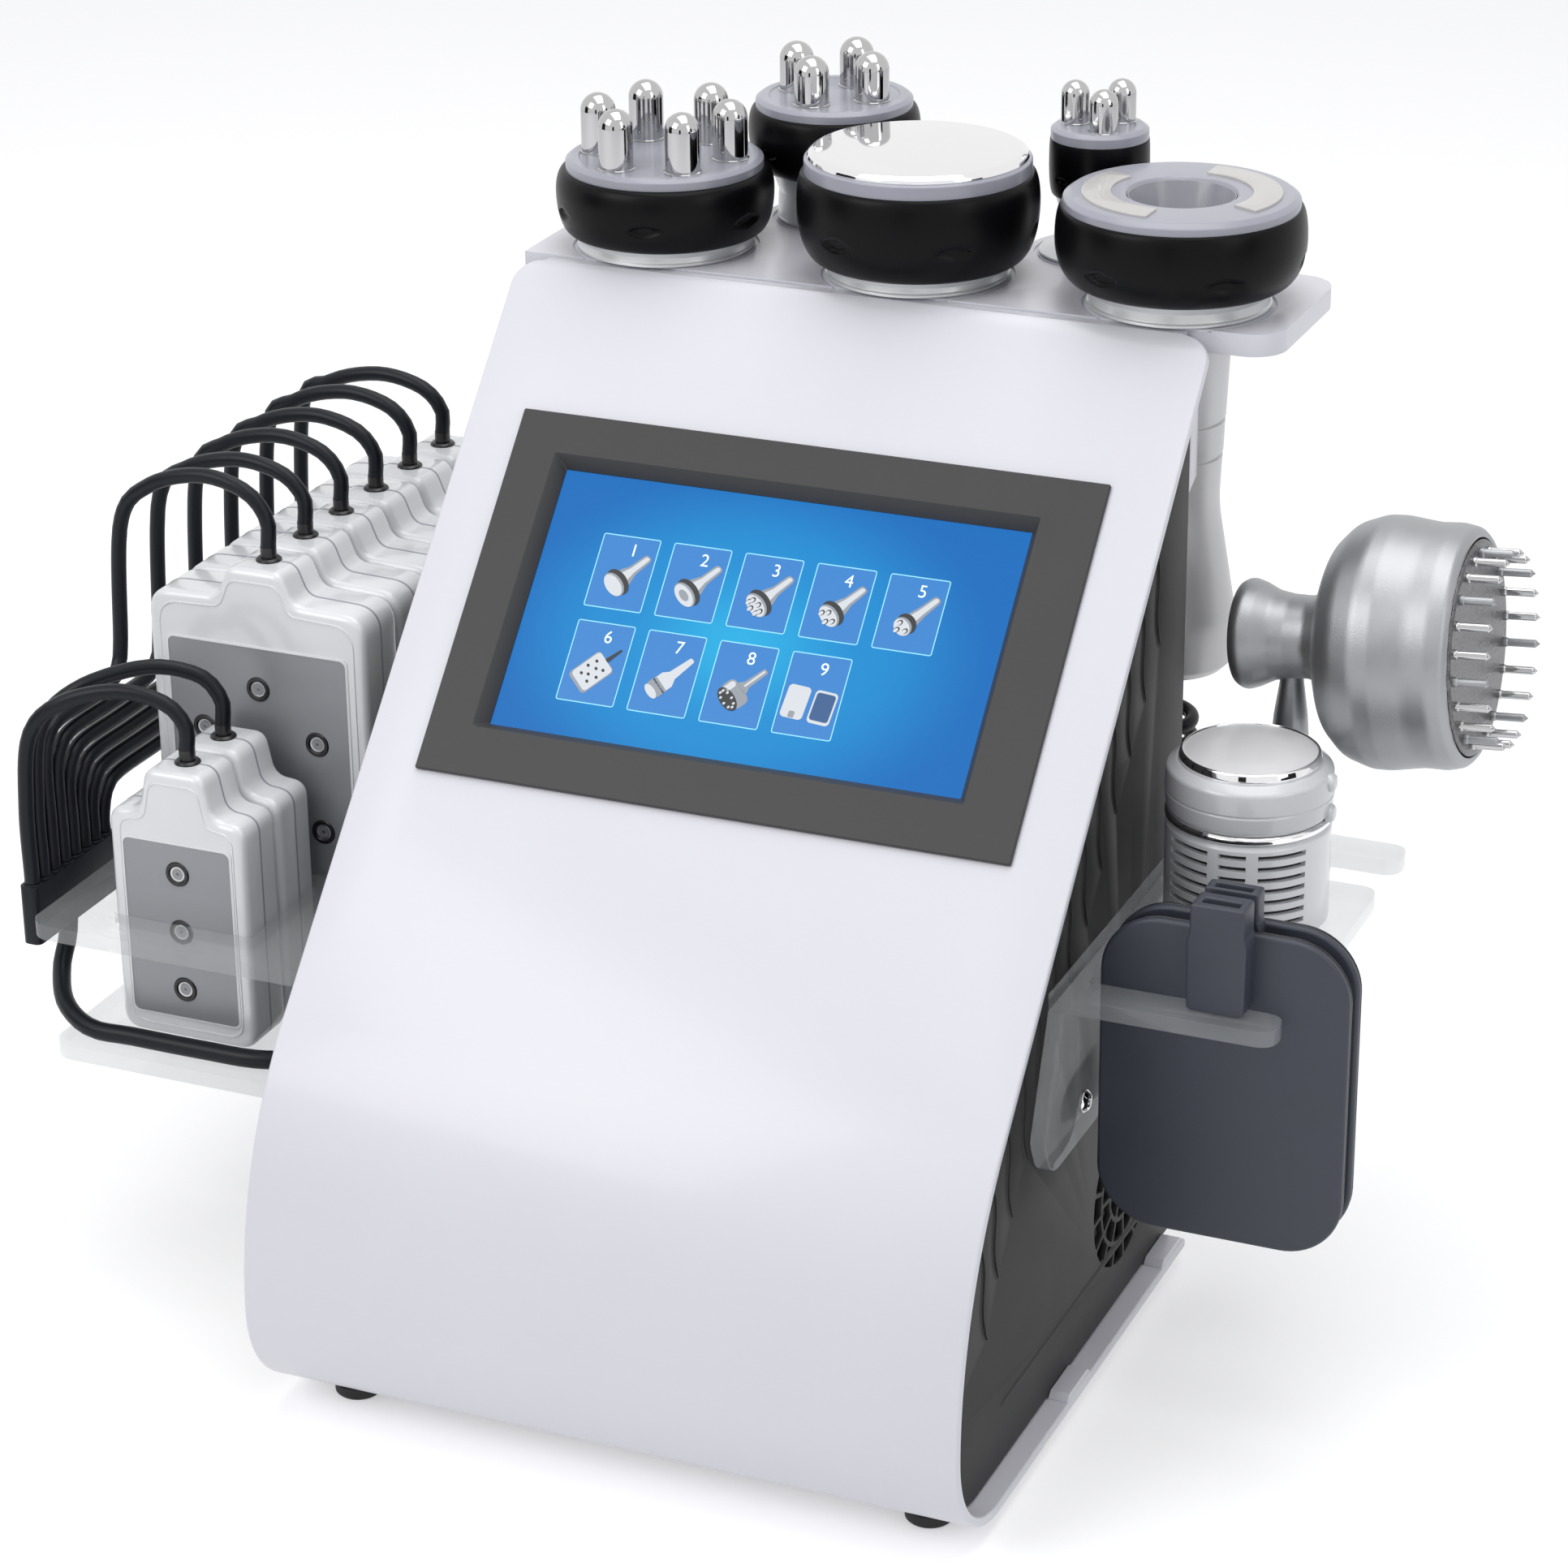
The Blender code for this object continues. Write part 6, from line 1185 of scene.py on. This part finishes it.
def dress_pad(name, pad, place, body, node_name):
    depth = pad["depth"]
    outline = pad_outline(pad)
    shape = bmesh.new()
    prism(shape, outline, 0, depth, UPRIGHT)
    label = rounded(-pad["label_width"] / 2, pad["label_width"] / 2, pad["label_low"], pad["label_high"], 0.0022, 5)
    yield add(f"pad_{name}_case", shape, WHITE, body, place, soft=0.0026, steps=5, limit=50,
              stands_for=[node_name], slot="white_plastic", sharp=50)
    shape = bmesh.new()
    loops(shape, [[(x * 0.995, 0.0002, z) for x, z in label], [(x, 0.0004, z) for x, z in label],
                  [(x, -0.00028, z) for x, z in label], [(x * 0.99, -0.00032, z) for x, z in label]])
    yield add(f"pad_{name}_field", shape, LABEL, body, place, slot="silver_plastic", sharp=30)
    shape = bmesh.new()
    half, middle = pad["label_width"] / 2, (pad["label_low"] + pad["label_high"]) / 2
    tall = (pad["label_high"] - pad["label_low"]) / 2
    wide_share, tall_share = (half + 0.0007) / half, (tall + 0.0007) / tall
    inner = [(x, z) for x, z in label]
    outer = [(x * wide_share, middle + (z - middle) * tall_share) for x, z in label]
    loops(shape, [[(x, 0.0002, z) for x, z in inner], [(x, 0.0002, z) for x, z in outer],
                  [(x, -0.0003, z) for x, z in outer], [(x, -0.0005, z) for x, z in inner]], closed=True)
    half, tall = pad["width"] / 2, pad["height"] / 2
    scales = [((half - inset) / half, (tall - inset) / tall) for inset in (0.0036, 0.0039, 0.0043, 0.0046)]
    loops(shape, [[(x * a, y, tall + (z - tall) * b) for x, z in outline]
                  for (a, b), y in zip(scales, (0.0003, -0.0003, -0.0003, 0.0003))], closed=True)
    yield add(f"pad_{name}_lines", shape, WHITE, body, place, slot="white_plastic", sharp=60)
    seam = bmesh.new()
    rows = []
    for y in (depth * 0.5 - 0.0004, depth * 0.5 + 0.0004):
        rows.append([(x * 1.0012, y, z * 1.0008) for x, z in outline])
    loops(seam, rows)
    yield add(f"pad_{name}_seam", seam, PALE, body, place, slot="white_plastic")
    if name.startswith("small"):
        lenses = [(0, 0.018 + k * 0.02) for k in range(3)]
    else:
        squeeze = ((0, 1.17), (0.77, 0.57), (0.79, -0.57), (0, -1.17), (-0.79, -0.57), (-0.77, 0.57))
        lenses = [(0.0265 * x, 0.071 + 0.0265 * z) for x, z in squeeze]
    rings, bright, glass = bmesh.new(), bmesh.new(), bmesh.new()
    for x, z in lenses:
        where = Matrix.Translation((x, 0, z)) @ TO_FRONT
        turned(rings, fillet([(0.0025, -0.0002), (0.0026, 0.0004), (0.0030, 0.0009), (0.0039, 0.0009),
                              (0.0042, 0.0003), (0.0042, -0.0003)], 0.0002, 3), 40, ring=True, matrix=where)
        turned(bright, fillet([(0.0018, -0.0003), (0.0018, 0.0003), (0.0026, 0.0005), (0.0026, -0.0003)],
                              0.0002, 3), 36, ring=True, matrix=where)
        turned(glass, fillet([(0, -0.0006), (0.0019, -0.0006), (0.0019, 0.0001), (0, 0.0004)],
                             0.0002, 3), 32, matrix=where)
    yield add(f"pad_{name}_lens_rings", rings, BLACK, body, place, slot="dark_plastic", sharp=50)
    yield add(f"pad_{name}_lens_rims", bright, STEEL, body, place, slot="plated_steel", sharp=50)
    yield add(f"pad_{name}_lenses", glass, LENS, body, place, slot="dark_plastic", sharp=50)
    top = pad["height"]
    shape = bmesh.new()
    turned(shape, fillet([(0, top - 0.004), (0.0042, top - 0.004), (0.0042, top + 0.0004), (0.0034, top + 0.0011),
                          (0, top + 0.0011)], 0.0004, 3), 40, matrix=Matrix.Translation((0, depth / 2, 0)))
    turned(shape, [(0, top), (0.0026, top), (0.0026, top + 0.0046), (0, top + 0.0046)], 32,
           matrix=Matrix.Translation((0, depth / 2, 0)))
    yield add(f"pad_{name}_gland", shape, BLACK, body, place, slot="black_rubber")


# Racks

def make_left_rack():
    wall = -SIDE_FACE - CLEAR
    shape = bmesh.new()
    outline = fillet([(wall, RACK_LOW - ACRYLIC, 0.006), (wall, RACK_HIGH, 0.006), (-0.222, RACK_HIGH, 0.0004),
                      (-0.222, RACK_HIGH - ACRYLIC, 0.0004), (wall - ACRYLIC, RACK_HIGH - ACRYLIC, 0.0015),
                      (wall - ACRYLIC, RACK_LOW, 0.0015), (-0.217, RACK_LOW, 0.0004),
                      (-0.217, RACK_LOW - ACRYLIC, 0.0004)], 0.001, 5, closed=True)
    prism(shape, outline, -0.1465, 0.07, UPRIGHT)
    holes = bmesh.new()
    room = 0.0009
    for pad, row, count in ((PAD_SMALL, SMALL_ROW, 2), (PAD_LARGE, LARGE_ROW, 6)):
        prism(holes, rounded(row[0] - pad["width"] / 2 - room, row[0] + pad["width"] / 2 + room, row[1] - room,
                             row[1] + (count - 1) * row[2] + pad["depth"] + room, 0.003, 6),
              RACK_HIGH - ACRYLIC - 0.002, RACK_HIGH + 0.002)
    prism(holes, rounded(0.018, 0.06, RACK_LOW + CLEAR, RACK_HIGH - ACRYLIC - 0.001, 0.003, 5),
          wall - ACRYLIC - 0.002, wall + 0.002, SIDEWAYS)
    for x, low, high in ((-0.222, RACK_HIGH - ACRYLIC - 0.001, RACK_HIGH + 0.001),
                         (-0.217, RACK_LOW - ACRYLIC - 0.001, RACK_LOW + 0.001)):
        for y, side in ((-0.1465, 1), (0.07, -1)):
            corner = arc(x + 0.008, y + side * 0.008, 0.008, 180, 180 + side * 90, 10)
            prism(holes, corner + [(x - 0.001, y - side * 0.001)], low, high)
    rack = add("left_rack_acrylic", shape, ACRYL, soft=0.0005, steps=3, limit=40, holes=holes,
               stands_for=["left_rack"], slot="clear_acrylic", sharp=50)
    rack.visible_shadow = False
    shape = bmesh.new()
    for y in (-0.115, -0.03):
        screw(shape, Matrix.Translation((wall - ACRYLIC - 0.0002, y, 0.1)) @ Matrix.Rotation(-math.pi / 2, 4, "Y"))
    add("left_rack_screws", shape, CHROME, slot="bright_chrome", sharp=30)


def screw(shape, matrix):
    """A round screw head with a hex socket."""
    turned(shape, fillet([(0, -0.0004), (0.0036, -0.0004), (0.0036, 0.0006), (0.0026, 0.0017), (0.0017, 0.0018)],
                         0.0004, 3) + [(0.0016, 0.0018), (0.0015, 0.0006), (0, 0.0005)], 36, matrix=matrix)


def make_right_rack():
    wall = SIDE_FACE + CLEAR
    points = [(wall, FINGERS[0][0], 0.001)]
    reach = 0.1775
    for k, (front, back) in enumerate(FINGERS):
        corner = min((back - front) / 2 - 0.0002, 0.0062)
        points += [(reach, front, corner), (reach, back, corner)]
        if k + 1 < len(FINGERS):
            root = ROD_SLOT_ROOT if k == len(FINGERS) - 2 else 0.117
            points += [(root, back, 0.0015), (root, FINGERS[k + 1][0], 0.0015)]
    points.append((wall, FINGERS[-1][1], 0.001))
    shape = bmesh.new()
    prism(shape, fillet(points, 0.001, 7, closed=True), RIGHT_TOP - ACRYLIC, RIGHT_TOP)
    holes = bmesh.new()
    turned(holes, [(0, RIGHT_TOP - 0.007), (0.019, RIGHT_TOP - 0.007), (0.019, RIGHT_TOP + 0.002),
                   (0, RIGHT_TOP + 0.002)], matrix=Matrix.Translation((*HAMMER, 0)))
    shelf = add("right_rack_shelf", shape, ACRYL, soft=0.0005, steps=3, limit=50, holes=holes,
                stands_for=["right_rack"], slot="clear_acrylic", sharp=50)
    shelf.visible_shadow = False
    lean = -0.1215 - 0.0095
    under = RIGHT_TOP - ACRYLIC - 0.0001
    shape = bmesh.new()
    prism(shape, fillet([(BODY_REAR, under, 0.0008), (-0.1165, under, 0.001), (lean, 0.101, 0.006),
                         (lean + 0.006, 0.088, 0.012), (BODY_REAR, 0.088, 0.006)], 0.003, 8, closed=True),
          wall, wall + ACRYLIC, SIDEWAYS)
    flange = add("right_rack_flange", shape, ACRYL, soft=0.0005, steps=3, limit=50, slot="clear_acrylic",
                 sharp=50)
    flange.visible_shadow = False
    shape = bmesh.new()
    for y in (-0.0975, -0.0205):
        screw(shape, Matrix.Translation((wall + ACRYLIC, y, 0.1)) @ Matrix.Rotation(math.pi / 2, 4, "Y"))
    add("right_rack_screws", shape, CHROME, slot="bright_chrome", sharp=30)


# Tools in the right rack

def make_ems_pads():
    for name, face, depth in (("front", -0.1035, 0.0085), ("back", -0.0939, 0.0049)):
        seat = (0.158, face, RIGHT_TOP + CLEAR)
        half, low, high, top = 0.0378, 0.065 - RIGHT_TOP, 0.1662 - RIGHT_TOP, 0.177 - RIGHT_TOP
        shape = bmesh.new()
        prism(shape, rounded(-half, half, low, high, 0.0185, 14), 0, 0.0031, UPRIGHT)
        add(f"ems_{name}_slab", shape, SLATE, f"ems_{name}", seat, soft=0.0012, steps=4, limit=50,
            stands_for=[f"ems_pad_{name}"], slot="slate_rubber", sharp=60)
        shape = bmesh.new()
        prism(shape, rounded(-half + 0.0002, half - 0.0002, low + 0.0002, high - 0.0002, 0.0183, 14), 0.0031, 0.004,
              UPRIGHT)
        add(f"ems_{name}_gel", shape, BLACK, f"ems_{name}", seat, soft=0.0003, steps=2, limit=50,
            slot="black_rubber", sharp=60)
        shape, holes = bmesh.new(), bmesh.new()
        boss = fillet([(-0.0087, 0.0002, 0.002), (0.0087, 0.0002, 0.002), (0.009, top - 0.012, 0.002),
                       (0.0082, top - 0.009, 0.002), (0.0082, top, 0.0012), (-0.0082, top, 0.0012),
                       (-0.0082, top - 0.009, 0.002), (-0.009, top - 0.012, 0.002)], 0.002, 4, closed=True)
        prism(shape, boss, -depth, 0.0015, UPRIGHT)
        block(holes, (0, -depth / 2 + 0.0005, top - 0.005), (0.0112, 0.0034, 0.014))
        add(f"ems_{name}_boss", shape, SLATE, f"ems_{name}", seat, soft=0.0007, steps=3, limit=50, holes=holes,
            slot="slate_rubber", sharp=50)


def make_hammer():
    """A barrel with slots, a chrome band, a frosted ring with two keys, and the cold disc on top."""
    seat = (*HAMMER, RIGHT_TOP)
    shape = bmesh.new()
    turned(shape, fillet([(0, -0.073), (0.015, -0.073, 0.001), (0.018, -0.070, 0.002), (0.018, CLEAR, 0.0002),
                          (0.024, CLEAR, 0.0006), (0.025, 0.0013, 0.001), (0.025, BARREL - 0.0015, 0.001),
                          (0.0236, BARREL, 0.001), (0, BARREL)], 0.001, 4), 128)
    holes = bmesh.new()
    inner, outer, shares = 0.0228, 0.0265, (-1, -0.6, -0.2, 0.2, 0.6, 1)
    for middle, half in ((-119.6, 18.5), (-83.4, 9.6), (-47.5, 18), (60.4, 18.5), (96.6, 9.6), (132.5, 18)):
        turn = Matrix.Rotation(math.radians(middle), 4, "Z")
        half = math.radians(half)
        outline = [(inner * math.cos(half * k), inner * math.sin(half * k)) for k in shares]
        outline += [(outer * math.cos(half * k), outer * math.sin(half * k)) for k in shares[::-1]]
        for row in range(8):
            z = 0.0036 + row * 0.0036
            prism(holes, outline, z - 0.00085, z + 0.00085, turn)
    add("hammer_barrel", shape, WHITE, "hammer", seat, holes=holes, stands_for=["hammer_body"],
        slot="white_plastic", sharp=40)
    # Painted shade: a thin black ring inside the solid barrel, seen only at the floor of the slots, stands in for the
    # shaded hollow behind them.
    shape = bmesh.new()
    turned(shape, [(0.0222, 0.002), (0.02305, 0.002), (0.02305, BARREL - 0.003), (0.0222, BARREL - 0.003)], ring=True)
    add("hammer_core", shape, BLACK, "hammer", seat, slot="dark_plastic")
    low = BARREL + CLEAR
    shape = bmesh.new()
    turned(shape, fillet([(0, low), (0.0244, low), (0.0252, low + 0.0006), (0.0252, low + 0.0018), (0.0245, low + 0.0025),
                          (0, low + 0.0025)], 0.0004, 3), 128)
    add("hammer_chrome_band", shape, CHROME, "hammer", seat, slot="bright_chrome", sharp=50)
    bulge = low + 0.0026
    shape = bmesh.new()
    profile = [(0, bulge), (0.0240, bulge, 0.0006), (0.0249, bulge + 0.0012, 0.002)]
    groove = KEY_HEIGHTS[1] + 0.0049
    profile += [(0.0254, groove - 0.0005, 0.002), (0.0251, groove, 0.0003), (0.0254, groove + 0.0005, 0.002)]
    profile += [(0.0251, RING_TOP - 0.0022, 0.002), (0.0222, RING_TOP - 0.0001, 0.001), (0, RING_TOP - 0.0001)]
    turned(shape, fillet(profile, 0.001, 6), 128)
    add("hammer_frosted_ring", shape, FROST, "hammer", seat, stands_for=["hammer_cold_head"],
        slot="pale_plastic", sharp=60)
    shape = bmesh.new()
    turned(shape, fillet([(0.0199, RING_TOP - 0.0005), (0.0212, RING_TOP - 0.0005), (0.0214, RING_TOP + 0.0009, 0.0006),
                          (0.0209, DISC_TOP - 0.0005, 0.001), (0.0202, DISC_TOP - 0.0002, 0.0003),
                          (0.0199, DISC_TOP - 0.0008, 0.0003)], 0.0006, 5), 128, ring=True)
    add("hammer_rim", shape, CHROME, "hammer", seat, slot="bright_chrome", sharp=60)
    shape = bmesh.new()
    turned(shape, fillet([(0, DISC_TOP - 0.003), (0.0200, DISC_TOP - 0.003), (0.0200, DISC_TOP - 0.0007, 0.0004),
                          (0.012, DISC_TOP - 0.0001, 0.02), (0, DISC_TOP)], 0.0004, 5), 128)
    add("hammer_face", shape, DISC, "hammer", seat, slot="bright_chrome", sharp=60)
    for k, height in enumerate(KEY_HEIGHTS):
        shape = bmesh.new()
        turned(shape, fillet([(0, 0.0242), (0.0029, 0.0242), (0.0029, 0.0256, 0.0008), (0.0022, 0.0266, 0.0008),
                              (0, 0.0267)], 0.0004, 5), 40, matrix=Matrix.Rotation(math.pi / 2, 4, "Y"))
        add(f"hammer_key_cap_{k + 1}", shape, FROST, f"hammer_key_{k + 1}", (HAMMER[0], HAMMER[1], RIGHT_TOP + height),
            stands_for=[f"hammer_button_{k + 1}"], slot="pale_plastic", sharp=60)


def make_bio_head():
    """The lying drum, its rod, and the ring of needles that stands out of its grained face."""
    lying = (0, math.pi / 2 - BIO_TILT, 0)
    shape = bmesh.new()
    turned(shape, fillet([(0, -0.0165), (0.0155, -0.0165, 0.002), (0.0173, -0.0135, 0.004), (0.0160, -0.0095, 0.006),
                          (0.0138, -0.0050, 0.008), (0.0129, 0, 0.01), (0.0127, 0.006, 0.006),
                          (0.0145, 0.0105, 0.002), (0.0220, 0.0118, 0.006), (0.0300, 0.0148, 0.01),
                          (0.0358, 0.0205, 0.01), (0.0385, 0.0285, 0.01), (0.0385, 0.0340, 0.01),
                          (0.0370, 0.0440, 0.02), (0.0372, 0.0510, 0.01), (0.0362, 0.0555, 0.003),
                          (0.0345, 0.0570, 0.001), (0.0330, 0.0570, 0.0006), (0.0330, 0.0540, 0.0004),
                          (0, 0.0540)], 0.002, 8), 160)
    add("bio_drum", shape, SATIN, "bio", BIO, turn=lying, stands_for=["bio_head"], slot="silver_plastic",
        sharp=50)
    shape = bmesh.new()
    collar = RIGHT_TOP + CLEAR - BIO[2]
    turned(shape, fillet([(0, collar - 0.014), (0.0090, collar - 0.014, 0.0008), (0.0094, collar, 0.0002),
                          (0.0115, collar, 0.0005), (0.0115, collar + 0.003, 0.001), (0.0075, collar + 0.012, 0.01),
                          (0.0060, -0.036, 0.02), (0.0052, -0.0255, 0.01), (0.0034, -0.0125, 0.005),
                          (0.0030, -0.009, 0.002), (0, -0.008)], 0.001, 6), 64)
    add("bio_stem", shape, SATIN, "bio", BIO, slot="silver_plastic", sharp=50)
    shape = bmesh.new()
    turned(shape, fillet([(0, 0.0542), (0.0326, 0.0542), (0.0326, 0.0572), (0.0316, 0.0577), (0, 0.0577)],
                         0.0006, 4), 160)
    add("bio_bed", shape, GRAIN, "bio", BIO, turn=lying, stands_for=["bio_needle_plate"], slot="bright_chrome",
        sharp=40)
    bright, shaded_needles = bmesh.new(), bmesh.new()
    for k in range(22):
        angle = 2 * math.pi * (k + 0.5) / 22
        place = Matrix.Translation((0.029 * math.cos(angle), 0.029 * math.sin(angle), 0))
        # Painted shade: every third needle takes the darker satin silver instead of the dark chrome, so that the ring
        # shows shaded needles among the lit ones.
        shape = shaded_needles if k % 3 == 1 else bright
        turned(shape, fillet([(0, 0.0570), (0.0015, 0.0570), (0.0015, 0.0588, 0.0004), (0.00125, 0.0592, 0.0002),
                              (0.00125, 0.0676, 0.0003), (0, 0.069)], 0.0002, 2), 16, matrix=place)
    add("bio_needles", bright, PIN, "bio", BIO, turn=lying, slot="bright_chrome", sharp=50)
    add("bio_needles_dull", shaded_needles, SATIN, "bio", BIO, turn=lying, slot="bright_chrome", sharp=50)


# Rear details

def make_rear_details():
    out = BODY_REAR + CLEAR + 0.002
    shape = bmesh.new()
    for k in range(8):
        place = (Matrix.Translation((SOCKET_FIRST + k * SOCKET_PITCH, 0, STRIP_Z))
                 @ Matrix.Rotation(-math.pi / 2, 4, "X"))
        turned(shape, fillet([(0.0068, out), (0.0086, out), (0.0086, out + 0.0018), (0.0068, out + 0.0018)],
                             0.0003, 2, closed=True), 6, ring=True, matrix=place)
    add("socket_nuts", shape, STEEL, slot="plated_steel", sharp=20)
    shape = bmesh.new()
    for x, z in ((-0.102, 0.016), (0.101, 0.016), (-0.102, 0.092), (0.101, 0.092)):
        screw(shape, Matrix.Translation((x, out, z)) @ Matrix.Rotation(-math.pi / 2, 4, "X") @ Matrix.Scale(0.7, 4))
    add("plate_screws", shape, STEEL, slot="plated_steel", sharp=30)
    shape = bmesh.new()
    for x in (-0.0062, 0, 0.0062):
        block(shape, (-0.055 + x, -0.0062, 0.03 + (0.003 if x == 0 else -0.002)), (0.0018, 0.0095, 0.004))
    add("inlet_pins", shape, STEEL, soft=0.0002, slot="plated_steel")


light_scene()
aim_camera()
make_leads()
make_trunk()
make_curly_cord()
make_body()
make_tray()
make_display()
make_hand_pieces()
make_pads()
make_left_rack()
make_right_rack()
make_ems_pads()
make_hammer()
make_bio_head()
make_rear_details()
